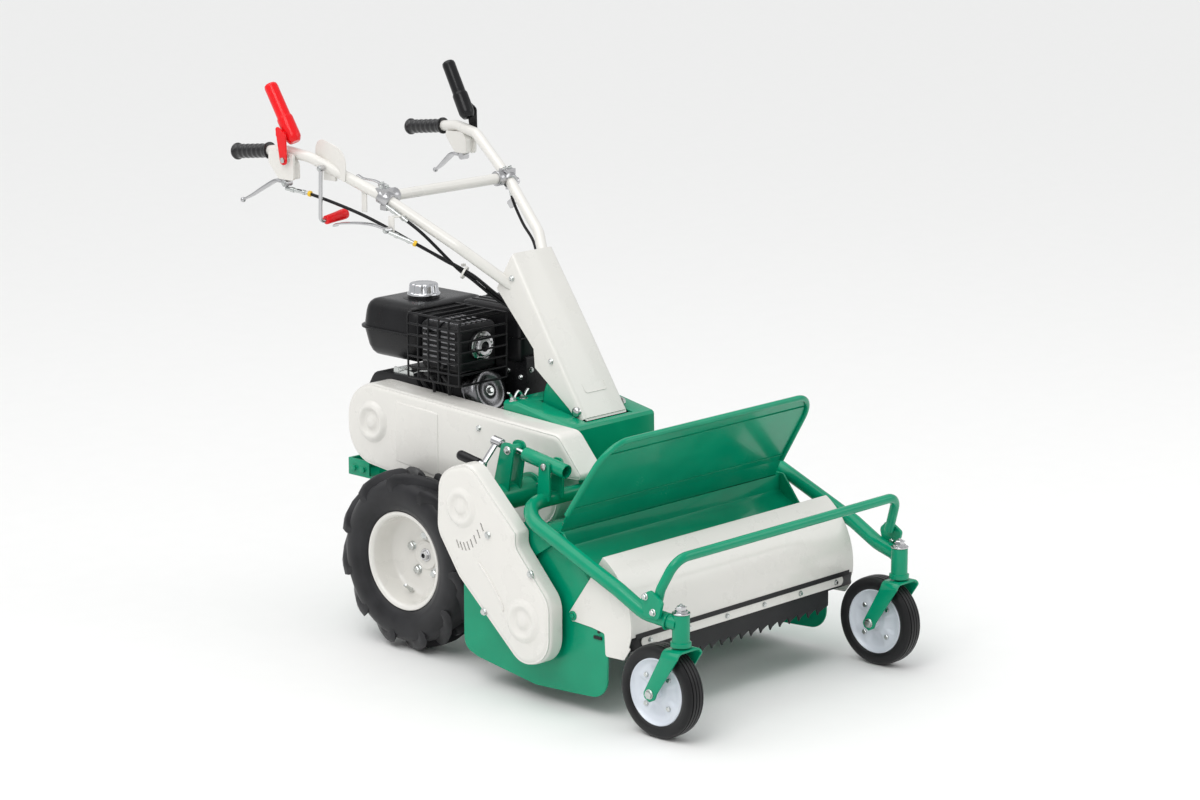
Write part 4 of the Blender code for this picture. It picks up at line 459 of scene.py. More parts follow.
# %% Swept shapes
def swept(path, section, side=None, grow=None):
    """Carry a section along a path. side is the direction of the section's first axis."""
    pts = [Vector(p) for p in path]
    tangent = (pts[1] - pts[0]).normalized()
    if side is None:
        side = (0, 0, 1) if abs(tangent.z) < 0.9 else (1, 0, 0)
    side = Vector(side)
    side = (side - tangent * side.dot(tangent)).normalized()
    rings = []
    for i, here in enumerate(pts):
        before = (here - pts[i - 1]).normalized() if i else tangent
        after = (pts[i + 1] - here).normalized() if i < len(pts) - 1 else before
        side = tangent.rotation_difference(before) @ side
        tangent = before
        plane = (before + after).normalized()
        up = tangent.cross(side)
        size = grow[i] if grow else 1.0
        ring = []
        for a, b in section:
            offset = (side * a + up * b) * size
            ring.append(here + offset - tangent * (offset.dot(plane) / tangent.dot(plane)))
        rings.append(ring)
    return loft(rings)


def rod(low, high, radius, sides=24):
    return swept([low, high], circle(radius, sides))


def into_mesh(name, shape):
    mesh = bpy.data.meshes.new(name)
    shape.to_mesh(mesh)
    shape.free()
    return mesh


def merged(*shapes):
    """Several shapes as one, each still closed by itself."""
    out = bmesh.new()
    for shape in shapes:
        mesh = into_mesh("part", shape)
        out.from_mesh(mesh)
        bpy.data.meshes.remove(mesh)
    return out


# %% [markdown]
# A shape becomes a piece of the machine when it has a finish, a place and a body that
# it moves with. If it stands for a CAD solid, that solid is hidden in its favour. Holes
# that a person can look through are cut with a boolean, once and for good.

# %% Pieces
def put(name, shape, look, body, stands_for=(), soft=0.0, angle=34, at=(0, 0, 0), paint=None):
    """Make an object of a shape, painted with a slot's finish, which rides on a body."""
    mesh = into_mesh(name, shape)
    mesh.shade_smooth()
    if not soft:
        mesh.set_sharp_from_angle(angle=radians(angle))
    mesh.materials.append(paint or FINISH.get(look, look))
    piece = stand(name, mesh)
    piece.location = Vector(at) + TO_MIDDLE
    if soft:
        soften(piece, soft, angle)
    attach(piece, body)
    if stands_for:
        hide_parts(*([stands_for] if isinstance(stands_for, str) else stands_for))
    return piece


def carve(piece, shape):
    """Cut a shape out of a piece for good."""
    cutter = stand("cutter", into_mesh("cutter", shape))
    cutter.matrix_world = piece.matrix_world
    tool = piece.modifiers.new("cut", "BOOLEAN")
    tool.operation = "DIFFERENCE"
    tool.solver = "EXACT"
    tool.object = cutter
    piece.modifiers.move(len(piece.modifiers) - 1, 0)
    bpy.context.view_layer.update()
    others = [m for m in piece.modifiers if m != tool]
    for m in others:
        m.show_viewport = False
    shown = piece.evaluated_get(bpy.context.evaluated_depsgraph_get())
    result = bpy.data.meshes.new_from_object(shown)
    piece.modifiers.remove(tool)
    piece.data = result
    for m in others:
        m.show_viewport = True
    bpy.data.objects.remove(cutter)
    return piece


# %% Bolts and screws
SUNK, SHIM = 0.002, 0.0014
# width across the flats, height of the head, radius of the washer
BOLT_5, BOLT_6 = (0.0085, 0.0040, 0.0062), (0.0100, 0.0042, 0.0072)
BOLT_8 = (0.0110, 0.0050, 0.0078)


def hex_bolt(place, axis, across=0.013, head=0.0055, washer=0.0):
    """Head of a hexagon bolt, sunk a little into the face at place, with its washer."""
    out = Vector(axis).normalized()
    base = Vector(place)
    shapes = []
    if washer:
        shapes.append(turned([(-SUNK, 0), (-SUNK, washer), (0.0010, washer),
                              (SHIM, washer - 0.0004), (SHIM, 0)], base, out, 28))
        base = base + out * SHIM
    r = across / sqrt(3)
    shapes.append(turned([(-SUNK, 0), (-SUNK, r), (head * 0.82, r), (head, r * 0.80), (head, 0)],
                         base, out, 6))
    return merged(*shapes)


def cap_screw(place, axis, radius=0.005, head=0.0028):
    """Round head of a small machine screw."""
    return turned([(-0.001, 0), (-0.001, radius), (head * 0.25, radius),
                   (head * 0.75, radius * 0.86), (head, radius * 0.55), (head * 1.02, 0)],
                  place, axis, 24)


SIDES = (("right", -1), ("left", 1))
print("bolt sizes", BOLT_5, BOLT_6, BOLT_8)

# %% [markdown]
# The ground wheels have a farm tread: bars that slope from the middle of the crown down
# to the shoulder and end in a point. The carcass is turned, and each bar is lofted from
# sections that follow the curve of the tyre, so it grows out of the rubber. The rim is
# turned from one profile: a rolled lip, the well for the bead and the deep dish.

# %% Tyre and its bars
WHEEL_X, TYRE_R, TYRE_HALF, LUG_H = 0.261, 0.206, 0.052, 0.014
BEAD_R, FLANGE_R, FLANGE_HALF, DISH, LUGS = 0.105, 0.113, 0.038, 0.037, 11
CARCASS = TYRE_R - LUG_H - 0.003


def tyre_profile():
    bead = [(0.0342, BEAD_R), (0.0346, FLANGE_R + 0.001), (0.0400, FLANGE_R + 0.004)]
    wall = [(0.0455, 0.022), (0.0462, 0.024), (0.0466, 0.026), (0.0496, 0.034), (0.0512, 0.044),
            (0.0512, 0.052), (0.0500, 0.062)]
    crown = [(0.0475, 0.0155), (0.0430, 0.0095), (0.0370, 0.0052), (0.0280, 0.0024),
             (0.0140, 0.0006)]
    half = bead + [(a, BEAD_R + rise) for a, rise in wall]
    half += [(a, CARCASS - drop) for a, drop in crown]
    return half + [(0.0, CARCASS)] + [(-a, r) for a, r in reversed(half)]


def tread_bar(angle, side):
    """One bar, as sections of its foot and top from the crown to the sidewall.

    Its trailing flank is steep and undercut a little, so its end shows as a hook.
    """
    rings = []
    # distance from the middle of the tyre, drop below the crown, half width
    stations = ((-0.004, 0.003, 0.0100), (0.003, 0.0, 0.0112), (0.016, 0.0004, 0.0128),
                (0.030, 0.0022, 0.0146), (0.042, 0.0070, 0.0158), (0.0490, 0.0160, 0.0150),
                (0.0515, 0.0290, 0.0110), (0.0508, 0.0440, 0.0050))
    for t, drop, half in stations:
        high = TYRE_R - drop
        middle = angle - 0.58 * (max(t, 0) / TYRE_HALF) ** 1.15
        low = min(high - 0.006, CARCASS - 0.004 - 0.35 * max(t - 0.02, 0))
        deep = 0.008 if t > 0.046 else 0.0
        ring = []
        for radius, edge in ((low, -0.95), (high - 0.004, -1.02), (high - 0.0006, -1.0),
                             (high, -0.80), (high - 0.0008, 0.10), (high - 0.0050, 0.80),
                             (low, 1.75)):
            a = middle + edge * half / radius
            out = t - (deep if radius == low else 0)
            ring.append((side * out, radius * cos(a), radius * sin(a)))
        rings.append(ring)
    return loft(rings)


print("carcass radius", CARCASS, "bars on a tyre", 2 * LUGS)

# %% Rim profile
def rim_profile():
    w, seat = FLANGE_HALF, BEAD_R - 0.0005
    lip = [(w - 0.004, seat + 0.001), (w - 0.0036, FLANGE_R - 0.004),
           (w - 0.0030, FLANGE_R - 0.0012), (w - 0.0014, FLANGE_R), (w - 0.0002, FLANGE_R - 0.0014),
           (w, FLANGE_R - 0.0050), (w - 0.0012, seat + 0.0010)]
    well = [(w - 0.0050, seat - 0.0030), (w - 0.0085, seat - 0.0042), (0.010, seat - 0.0060),
            (-0.014, seat - 0.0085), (-0.024, seat - 0.015), (-0.0310, 0.074), (-0.0345, 0.066),
            (-DISH, 0.060), (-DISH, 0.034), (-DISH + 0.0012, 0.0325), (-DISH + 0.0012, 0.0)]
    back = [(-DISH - 0.003, 0.0), (-DISH - 0.003, 0.060), (-w, seat - 0.006), (-w, FLANGE_R),
            (-w + 0.003, FLANGE_R), (-w + 0.003, seat)]
    return lip + well + back


print("rim width", 2 * FLANGE_HALF, "depth of its dish", DISH)

# %% Ground wheels
for side_name, s in SIDES:
    body = "wheel_" + side_name
    place = (s * WHEEL_X, 0, TYRE_R)
    bars = [tread_bar(2 * pi * i / LUGS, 1) for i in range(LUGS)]
    bars += [tread_bar(2 * pi * (i + 0.5) / LUGS, -1) for i in range(LUGS)]
    put("tyre_tread_" + side_name, merged(turned(tyre_profile(), steps=120), *bars), "tyre_rubber",
        body, "tyre_" + side_name, angle=38, at=place)
    put("pressed_rim_" + side_name, turned([(s * a, r) for a, r in rim_profile()], steps=96),
        "white_paint", body, "rim_" + side_name, at=place)
    face = Vector(place) + Vector((-s * DISH, 0, 0))
    nuts = [hex_bolt(face + Vector((0, y, z)), (s, 0, 0), 0.0165, 0.0085, 0.0112)
            for y, z in around(5, 0.047, 0.3)]
    put("wheel_nuts_" + side_name, merged(*nuts), ZINC, body)
    hub = turned([(-0.014, 0.0), (-0.014, 0.0335), (0.0018, 0.0335), (0.0034, 0.0325),
                  (0.0040, 0.0305), (0.0034, 0.0285), (0.0022, 0.0270), (0.0022, 0.0)],
                 face, (s, 0, 0), 56)
    put("wheel_hub_" + side_name, hub, "white_paint", body)
    put("axle_end_" + side_name, merged(
        turned([(0.0015, 0), (0.0015, 0.0150), (0.0036, 0.0150), (0.0044, 0.0140),
                (0.0044, 0.0100)], face, (s, 0, 0), 32),
        turned([(0.0015, 0.0062), (0.0015, 0.0112), (0.0105, 0.0112), (0.0118, 0.0100),
                (0.0118, 0.0062)], face, (s, 0, 0), 6)), "bright_steel", body)
    # Painted shade: a flat dark disc inside the hole of the axle nut stands in for the dark inside
    # the hollow axle end.
    put("axle_bore_" + side_name, turned([(0.0020, 0), (0.0020, 0.0066), (0.0060, 0.0066),
                                          (0.0060, 0)], face, (s, 0, 0), 24), "drive_case", body)
    valve = Vector(place) + Vector((-s * 0.016, 0.030, -BEAD_R + 0.022))
    stalk = turned([(0, 0), (0, 0.0055), (0.006, 0.0045), (0.020, 0.0036), (0.021, 0.0042),
                    (0.027, 0.0040), (0.028, 0.0)], valve, (s * 0.8, -0.1, 0.6), 20)
    put("valve_" + side_name, stalk, ZINC, body)
    collar = turned([(0, 0), (0, 0.040), (0.004, 0.042), (0.010, 0.040), (0.012, 0.0)],
                    (s * 0.1895, 0, TYRE_R), (-s, 0, 0), 40)
    put("axle_collar_" + side_name, collar, "drive_case", "machine")
print("ground wheels done")

# %% [markdown]
# The casters are small, hard wheels on a bent strap fork. The fork is one flat bar
# folded over the tyre: a loft of its cross-section along the bend shows the rounded
# shoulders that a stack of plates would miss. A castle nut and its pin close the stem.

# %% Caster tyre and rim
CASTER_R, CASTER_HALF, CASTER_RIM_R = 0.100, 0.024, 0.072
STEM_X, STEM_Y, STEM_R, STEM_LOW, STEM_HIGH = 0.358, -0.892, 0.0185, 0.2045, 0.274
TRAIL, FORK_HALF, FORK_T = 0.051, 0.038, 0.0045


def caster_tyre():
    """Solid tyre with four round grooves in its tread."""
    w, r, rim = CASTER_HALF, CASTER_R, CASTER_RIM_R
    wall = [(w * 0.80, rim + 0.0004), (w * 0.93, rim + 0.003), (w * 0.99, rim + 0.010),
            (w, r - 0.012), (w * 0.96, r - 0.007), (w * 0.86, r - 0.0035), (w * 0.70, r - 0.0012),
            (w * 0.62, r - 0.0010)]
    ribs = [(w * 0.60, r - 0.0030), (w * 0.53, r - 0.0030), (w * 0.51, r - 0.0003), (w * 0.24, r),
            (w * 0.22, r - 0.0022), (w * 0.15, r - 0.0022), (w * 0.13, r)]
    half = wall + ribs
    return turned(half + [(-a, b) for a, b in reversed(half)], steps=96)


def caster_rim():
    """Pressed rim with four pockets between its ribs, drawn as a polar grid."""
    w, rim, steps, depth = CASTER_HALF, CASTER_RIM_R, 96, 0.0065
    rings = ((w * 0.84, rim + 0.0002, 0), (w * 0.88, rim - 0.002, 0), (w * 0.80, rim - 0.004, 0),
             (w * 0.62, rim - 0.008, 0), (w * 0.58, 0.060, 0), (w * 0.58, 0.056, 0.3),
             (w * 0.58, 0.050, 1), (w * 0.58, 0.040, 1), (w * 0.60, 0.032, 0.7),
             (w * 0.62, 0.027, 0), (w * 0.64, 0.0225, 0))
    bm = bmesh.new()
    made = []
    for side in (1, -1):
        for x, r, pocket in rings if side > 0 else rings[::-1]:
            row = []
            for i in range(steps):
                a = 2 * pi * i / steps
                dip = pocket * depth * max(0.0, min(1.0, 1.6 * cos(4 * a) + 0.6))
                row.append(bm.verts.new((side * (x - dip), r * cos(a), r * sin(a))))
            made.append(row)
    for low, high in zip(made, made[1:] + made[:1]):
        for i in range(steps):
            j = (i + 1) % steps
            bm.faces.new((low[i], low[j], high[j], high[i]))
    bmesh.ops.recalc_face_normals(bm, faces=bm.faces)
    return bm


print("caster radius", CASTER_R, "rim radius", CASTER_RIM_R)

# %% Fork strap
def fork_strap():
    """The strap from one foot over the crown to the other, round the middle of the stem."""
    crown = STEM_LOW - 0.0028 - FORK_T / 2
    foot = CASTER_R - 0.017
    bend = 0.016
    corners = [(-FORK_HALF, 0, foot), (-FORK_HALF, 0, crown), (FORK_HALF, 0, crown),
               (FORK_HALF, 0, foot)]
    dense = divided(fillet(corners, bend, 10), 0.006)
    rings = []
    for i, p in enumerate(dense):
        last, following = dense[max(i - 1, 0)], dense[min(i + 1, len(dense) - 1)]
        run = (following - last).normalized()
        normal = Vector((-run.z, 0, run.x))
        f = min(max((crown - 0.012 - p.z) / (crown - 0.012 - CASTER_R), 0.0), 1.15)
        centre = -0.002 + (TRAIL + 0.002) * min(f, 1.0)
        wide = 0.0225 - 0.0055 * min(f, 1.0)
        if p.z < CASTER_R:
            wide = sqrt(max(0.0170 ** 2 - (CASTER_R - p.z) ** 2, 0.0008 ** 2))
        ring = []
        for a, b in strap(2 * wide, FORK_T, min(0.0008, wide / 3)):
            ring.append(p + Vector((0, centre + a, 0)) + normal * b)
        rings.append(ring)
    return loft(rings)


print("room between the fork's arms", round(2 * FORK_HALF - FORK_T, 4))

# %% Casters
for side_name, s in SIDES:
    hub = Vector((s * STEM_X, STEM_Y + TRAIL, CASTER_R))
    stem = Vector((s * STEM_X, STEM_Y, 0))
    wheel, fork = "caster_wheel_" + side_name, "caster_fork_" + side_name
    put("caster_tread_" + side_name, caster_tyre(), "rubber", wheel, "caster_tyre_" + side_name,
        angle=40, at=hub)
    put("caster_disc_" + side_name, caster_rim(), "rim_grey", wheel, "caster_rim_" + side_name,
        angle=50, at=hub)
    nuts = [hex_bolt(hub + Vector((d * 0.0138, y, z)), (d, 0, 0), 0.0105, 0.0048)
            for y, z in circle(0.044, 4) for d in (-1, 1)]
    put("caster_nuts_" + side_name, merged(*nuts), ZINC, wheel)
    tube = turned([(-0.0352, 0.0068), (-0.0352, 0.0125), (-0.016, 0.0135), (-0.0145, 0.0230),
                   (0.0145, 0.0230), (0.016, 0.0135), (0.0352, 0.0125), (0.0352, 0.0068)],
                  hub, "x", 40)
    put("caster_hub_" + side_name, tube, "rim_grey", wheel)
    put("fork_strap_" + side_name, fork_strap(), "green_paint", fork, "caster_fork_" + side_name,
        at=stem)
    ends = []
    for d in (-1, 1):
        ends.append(hex_bolt(hub + Vector((d * (FORK_HALF + FORK_T / 2), 0, 0)), (d, 0, 0), 0.016,
                             0.0043, 0.0105))
    axle = rod(hub - Vector((0.04, 0, 0)), hub + Vector((0.04, 0, 0)), 0.006)
    put("caster_axle_" + side_name, merged(axle, *ends), ZINC, fork)
    top = stem + Vector((0, 0, STEM_HIGH))
    washer = turned([(0.0003, 0), (0.0003, 0.0188), (0.0010, 0.0195), (0.0030, 0.0195),
                     (0.0036, 0.0188), (0.0040, 0.0150), (0.0075, 0.0140), (0.0085, 0.0125),
                     (0.0085, 0)], top, "z", 40)
    put("stem_washer_" + side_name, washer, "bright_steel", fork)
    castle = hex_bolt(top + Vector((0, 0, 0.0083)), (0, 0, 1), 0.019, 0.0085)
    nipple = turned([(0.016, 0), (0.016, 0.0060), (0.0185, 0.0052), (0.0195, 0.0030),
                     (0.0210, 0.0030), (0.0214, 0.0016), (0.0215, 0)], top, "z", 24)
    pin = rod(top + Vector((-0.013, 0.004, 0.0135)), top + Vector((0.013, -0.004, 0.0135)),
              0.0012, 8)
    put("stem_nut_" + side_name, merged(castle, nipple, pin), "bright_steel", fork)
print("casters done")

# %% [markdown]
# The caster frame is one long tube, bent at four corners, with a welded stem at each
# end. The bumper is a thinner tube on its own brackets. Weld beads are small, but a
# frame without them looks moulded instead of made.

# %% Weld beads
FRAME_R, FRAME_X, FRAME_Y, FRAME_Z = 0.016, 0.384, -0.449, 0.333
CROSS_Y, CROSS_Z, BUMPER_R, BUMPER_X, BRACKET_T = -0.440, 0.424, 0.0105, 0.3905, 0.006
DECK_OUT, HOOD_IN, HOOD_OUT, BRACKET_IN = 0.3603, 0.3609, 0.3634, 0.3650
JACK_X, YOKE_Y, YOKE_Z, JACK_R = -0.280, -0.447, 0.499, 0.016
BEAD, RING_BEAD = 0.0022, 0.0024


def weld(path):
    """A bead of weld along a path, with its ripples."""
    dense = divided(path, 0.0016)
    grow = [0.88 + 0.20 * (i % 3 == 0) for i in range(len(dense))]
    return swept(dense, circle(BEAD, 8), None, grow)


def ring_weld(centre, axis, radius):
    """A bead of weld round a tube's end."""
    along, side, up = cross_axes(axis)
    rings = []
    for i, (x, y) in enumerate(around(60, 1)):
        out = side * x + up * y
        here = Vector(centre) + out * radius
        size = RING_BEAD * (0.9 + 0.18 * (i % 2))
        rings.append([here + out * size * cos(2 * pi * k / 8) + along * size * sin(2 * pi * k / 8)
                      for k in range(8)])
    return loft(rings, closed=True)


print("weld bead", BEAD, "round a tube", RING_BEAD)

# %% Caster frame
side_run = [(-FRAME_X, CROSS_Y, CROSS_Z), (-FRAME_X, -0.743, 0.301),
            (-FRAME_X + 0.003, -0.812, 0.266), (-STEM_X - 0.006, STEM_Y + 0.004, 0.254)]
half_run = fillet([(0, CROSS_Y, CROSS_Z)] + side_run, 0.085, 14)
whole = [Vector((-p.x, p.y, p.z)) for p in reversed(half_run[1:])] + half_run
put("frame_tube", swept(whole, circle(FRAME_R, 28)), "green_paint", "caster_frame", "caster_frame")
stems, plates, welds = [], [], []
for side_name, s in SIDES:
    tube = [(STEM_LOW, 0.0088), (STEM_LOW, STEM_R + 0.002), (STEM_LOW + 0.001, STEM_R + 0.0035),
            (STEM_LOW + 0.010, STEM_R + 0.0035), (STEM_LOW + 0.0115, STEM_R),
            (STEM_HIGH - 0.001, STEM_R), (STEM_HIGH, STEM_R - 0.001), (STEM_HIGH, 0.0088)]
    stems.append(turned(tube, (s * STEM_X, STEM_Y, 0), "z", 40))
    a, b = sorted((s * BRACKET_IN, s * (BRACKET_IN + BRACKET_T)))
    plates.append(slab(rounded([(-0.462, 0.412, 0.004), (-0.560, 0.372, 0.004),
                                (-0.470, 0.313, 0.012),
                                (FRAME_Y + 0.019, FRAME_Z - 0.014, 0.014)], 6), a, b))
    a, b = sorted((s * (BUMPER_X - 0.004), s * (BUMPER_X + 0.0045)))
    plates.append(slab(rounded([(-0.822, 0.262, 0.006), (-0.862, 0.262, 0.010),
                                (-0.872, 0.300, 0.008), (-0.836, 0.322, 0.012),
                                (-0.812, 0.300, 0.012)], 6), a, b))
    welds.append(weld([(s * (FRAME_X - 0.0165), -0.470, 0.404),
                       (s * (FRAME_X - 0.0165), -0.556, 0.368)]))
    welds.append(ring_weld((s * (STEM_X + 0.0145), STEM_Y + 0.024, 0.2565), (0.1 * s, 0.86, 0.13),
                           FRAME_R))
put("caster_stems", merged(*stems), "green_paint", "caster_frame")
put("frame_plates", merged(*plates), "green_paint", "caster_frame", soft=0.0012)
yoke = []
ear = rounded([(YOKE_Y + 0.022, CROSS_Z, 0.004), (YOKE_Y - 0.016, CROSS_Z, 0.004),
               (YOKE_Y - 0.015, YOKE_Z + 0.014, 0.012), (YOKE_Y + 0.015, YOKE_Z + 0.014, 0.012)], 6)
for dx in (-JACK_R - 0.0070, JACK_R + 0.0010):
    yoke.append(slab(ear, JACK_X + dx, JACK_X + dx + 0.006))
put("jack_yoke", merged(*yoke), "green_paint", "caster_frame", soft=0.0010)
for dx in (-JACK_R - 0.004, JACK_R + 0.004):
    x = JACK_X + dx
    bead_z = CROSS_Z + FRAME_R
    welds.append(weld([(x - 0.004, YOKE_Y - 0.013, bead_z), (x + 0.004, YOKE_Y - 0.013, bead_z)]))
put("frame_welds", merged(*welds), "green_paint", "caster_frame")
print("frame tube, points", len(whole))

# %% Bumper
foot = Vector((-BUMPER_X + 0.0043 + BUMPER_R * cos(pi / 8), -0.846, 0.300))
crest = Vector((-BUMPER_X + 0.030, -0.880, 0.388))
rail = fillet([foot, foot + Vector((0, -0.006, 0.022)), crest, (0, crest.y, crest.z)], 0.042, 12)
rail = rail + [Vector((-p.x, p.y, p.z)) for p in reversed(rail[:-1])]
put("bumper_rail", swept(rail, circle(BUMPER_R, 24)), "green_paint", "caster_frame", "bumper_bar")
bolts = []
for side_name, s in SIDES:
    for y, z in ((-0.848, 0.276), (-0.826, 0.306)):
        bolts.append(hex_bolt((s * (BUMPER_X + 0.0045), y, z), (s, 0, 0), 0.011, 0.0055, 0.0078))
    bolts.append(hex_bolt((s * (BUMPER_X - 0.004), -0.848, 0.276), (-s, 0, 0), 0.011, 0.0055))
put("bumper_bolts", merged(*bolts), ZINC, "caster_frame")
bolts = []
for side_name, s in SIDES:
    bolts.append(hex_bolt((s * (BRACKET_IN + BRACKET_T + 0.0006), FRAME_Y, FRAME_Z), (s, 0, 0),
                          0.018, 0.0060, 0.0125))
put("frame_pivot_bolts", merged(*bolts), ZINC, "machine")
print("bumper done")

# %% [markdown]
# Each belt cover is a pan drawn from one sheet. Its look comes from the soft rim that
# runs round the face, so the pan is a loft of the same outline moved inwards step by
# step. Pressed circles stand over the pulleys, and the row of slots in the front cover
# is cut right through, with a black sheet just behind it as painted shade for the dark
# inside the cover.

# %% Belt covers
MAIN_CASE = [(0.281, 0.571, 0.085), (-0.392, 0.542, 0.035), (-0.474, 0.4505, 0.012),
             (-0.389, 0.4465, 0.012), (-0.387, 0.333, 0.070), (-0.25, 0.325, 0.060),
             (0.281, 0.384, 0.085)]
FRONT_COVER = [(-0.234, 0.345, 0.060), (-0.240, 0.478, 0.060), (-0.334, 0.511, 0.050),
               (-0.475, 0.379, 0.012), (-0.474, 0.350, 0.030), (-0.573, 0.245, 0.060),
               (-0.573, 0.120, 0.070), (-0.492, 0.086, 0.060), (-0.300, 0.252, 0.080)]
CRANK_Y, CRANK_Z, COUNTER_Y, COUNTER_Z = 0.196, 0.480, -0.312, 0.408
ROTOR_Y, ROTOR_Z = -0.497, 0.192
CASE_OUT, CASE_IN, COVER_OUT, COVER_IN, WALL = 0.204, 0.135, 0.420, 0.3785, 0.003


def pan(corners, face, back, soft):
    rings = [(face + WALL, WALL), (back, WALL), (back, 0)]
    for k in range(7):
        a = pi / 2 * k / 6
        rings.append((face + soft * (1 - sin(a)), soft * (1 - cos(a))))
    return loft([[(x, a, b) for a, b in rounded(corners, 12, inset)] for x, inset in rings])


def pressed_circle(place, radius, height):
    """A pressed ring with soft shoulders, round a dish with a raised hub."""
    form = ((0.86, 0), (0.84, 0.20), (0.70, 0.27), (0.22, 0.36), (0.12, 0.44), (0.20, 0.52),
            (0.72, 0.62), (0.97, 0.69), (1.0, 0.74), (0.90, 0.81), (0.45, 0.91), (0.12, 0.98),
            (0.0, 1.02))
    points = [(height * h, radius * r) for h, r in form]
    return turned([(-0.001, 0)] + points + [(-0.001, radius * 1.02)], place, (-1, 0, 0), 72)


put("belt_case_shell", pan(MAIN_CASE, -CASE_OUT, -CASE_IN, 0.014), "white_paint", "machine",
    "main_belt_case")
put("belt_case_boss", pressed_circle((-CASE_OUT, CRANK_Y, CRANK_Z), 0.048, 0.0085), "white_paint",
    "machine", angle=60)
panel = [(0.120, 0.540, 0.006), (-0.020, 0.533, 0.006), (-0.020, 0.385, 0.006),
         (0.120, 0.402, 0.006)]
steps = ((-0.001, 0.0), (0.0, 0.0), (0.0014, 0.0016), (0.0017, 0.0030))
ring = [[(-CASE_OUT - height, y, z) for y, z in rounded(panel, 6, inset)]
        for height, inset in steps]
put("belt_case_panel", loft(ring), "white_paint", "machine", angle=60)
print("main belt case done")

# %% Front belt cover
SLOT_COUNT, SLOT_HALF_WIDE, SLOT_HALF_LONG, SLOT_TILT = 8, 0.0018, 0.0095, -26
cover = put("belt_cover_shell", pan(FRONT_COVER, -COVER_OUT, -COVER_IN, 0.016), "white_paint",
            "machine", "front_belt_cover")
slots = []
for i in range(SLOT_COUNT):
    t = i / (SLOT_COUNT - 1)
    y, z = -0.302 - 0.074 * t, 0.326 - 0.008 * sin(pi * t) + 0.050 * t * t
    slot = box((-COVER_OUT - 0.01, y - SLOT_HALF_WIDE, z - SLOT_HALF_LONG),
               (-COVER_OUT + 0.01, y + SLOT_HALF_WIDE, z + SLOT_HALF_LONG))
    bmesh.ops.rotate(slot, cent=(0, y, z), matrix=Matrix.Rotation(radians(SLOT_TILT), 3, "X"),
                     verts=slot.verts)
    slots.append(slot)
carve(cover, merged(*slots))
cover.data.shade_smooth()
cover.data.set_sharp_from_angle(angle=radians(34))
# Painted shade: a black sheet just inside the wall, behind the slots, stands in for the dark inside
# the cover.
put("belt_cover_slot_shade", box((-COVER_OUT + WALL + 0.0004, -0.395, 0.300),
                           (-COVER_OUT + WALL + 0.0012, -0.285, 0.390)), "black_plastic", "machine")
put("belt_cover_bosses", merged(pressed_circle((-COVER_OUT, COUNTER_Y, COUNTER_Z), 0.044, 0.0060),
                                pressed_circle((-COVER_OUT, ROTOR_Y, ROTOR_Z), 0.048, 0.0060)),
    "white_paint", "machine", angle=60)
rib_run = ((-0.366, 0.296), (-0.400, 0.262), (-0.436, 0.216), (-0.438, 0.203))
rib = smooth_route([(-COVER_OUT - 0.0003, y, z) for y, z in rib_run], 24)
put("belt_cover_rib", swept(rib, circle(0.0026, 12)), "white_paint", "machine", angle=60)
screws = []
for y, z in ((-0.394, 0.362), (-0.380, 0.190), (-0.520, 0.300)):
    screws.append(hex_bolt((-COVER_OUT, y, z), (-1, 0, 0), 0.0110, 0.0042, 0.0082))
for y, z in ((-0.150, 0.520), (0.030, 0.345)):
    screws.append(hex_bolt((-CASE_OUT, y, z), (-1, 0, 0), *BOLT_6))
put("cover_screws", merged(*screws), ZINC, "machine")
print("belt covers done")

# %% [markdown]
# The hood is a rolled sheet with two flat ends that swing on a pin each. Rolled steel
# has an even curve, so the sheet is an arc of many steps with the same thickness
# everywhere. A clamp strip with six bolts holds the rubber flap at its lower edge.

# %% Hood
HOOD_Y, HOOD_Z, HOOD_R, HOOD_T = -0.590, 0.211, 0.168, 0.0025
centre = (HOOD_Y, HOOD_Z)
half = HOOD_OUT
HOOD_LOW, HOOD_TOP = 186, 121
outside = arc(centre, HOOD_R, HOOD_LOW, HOOD_TOP, 40)
inside = arc(centre, HOOD_R - HOOD_T, HOOD_TOP, HOOD_LOW, 40)
put("hood_sheet", slab(outside + inside, -half, half), "white_paint", "hood", "hood", soft=0.0008,
    angle=50)
plate = arc(centre, HOOD_R - 0.0002, HOOD_TOP, HOOD_LOW, 40)
plate += rounded([(-0.757, 0.172, 0.004), (-0.737, 0.143, 0.006), (-0.684, 0.141, 0.006),
                  (-0.681, 0.190, 0.006), (-0.645, 0.196, 0.004)], 4)[:-5] + [(-0.645, 0.196)]
plate += arc(centre, 0.0125, 250, 395, 16) + [(-0.640, 0.302)]
ends = []
for side_name, s in SIDES:
    a, b = sorted((s * HOOD_IN, s * (half - 0.0002)))
    ends.append(slab(plate, a, b))
put("hood_ends", merged(*ends), "white_paint", "hood", soft=0.0006, angle=50)
details = []
for side_name, s in SIDES:
    details.append(hex_bolt((s * (half + 0.0004), HOOD_Y, HOOD_Z), (s, 0, 0), 0.0105, 0.0040))
    details.append(turned([(-0.0002, 0.0066), (-0.0002, 0.0108), (0.0022, 0.0104), (0.0026, 0.0096),
                           (0.0026, 0.0066)], (s * half, HOOD_Y, HOOD_Z), (s, 0, 0), 36))
put("hood_pins", merged(*details), "green_paint", "machine")
dots = [turned([(-0.001, 0), (-0.001, 0.0032), (0.0003, 0.0032), (0.0003, 0)],
               (s * half, -0.664, 0.190), (s, 0, 0), 20)
        for _, s in SIDES]
dots += [box((min(s * (half + 0.0004), s * (DECK_OUT + 0.0002)), -0.672, 0.1735),
             (max(s * (half + 0.0004), s * (DECK_OUT + 0.0002)), -0.650, 0.1800)) for _, s in SIDES]
put("hood_stops", merged(*dots), "rubber", "hood")
print("hood sheet and ends done")

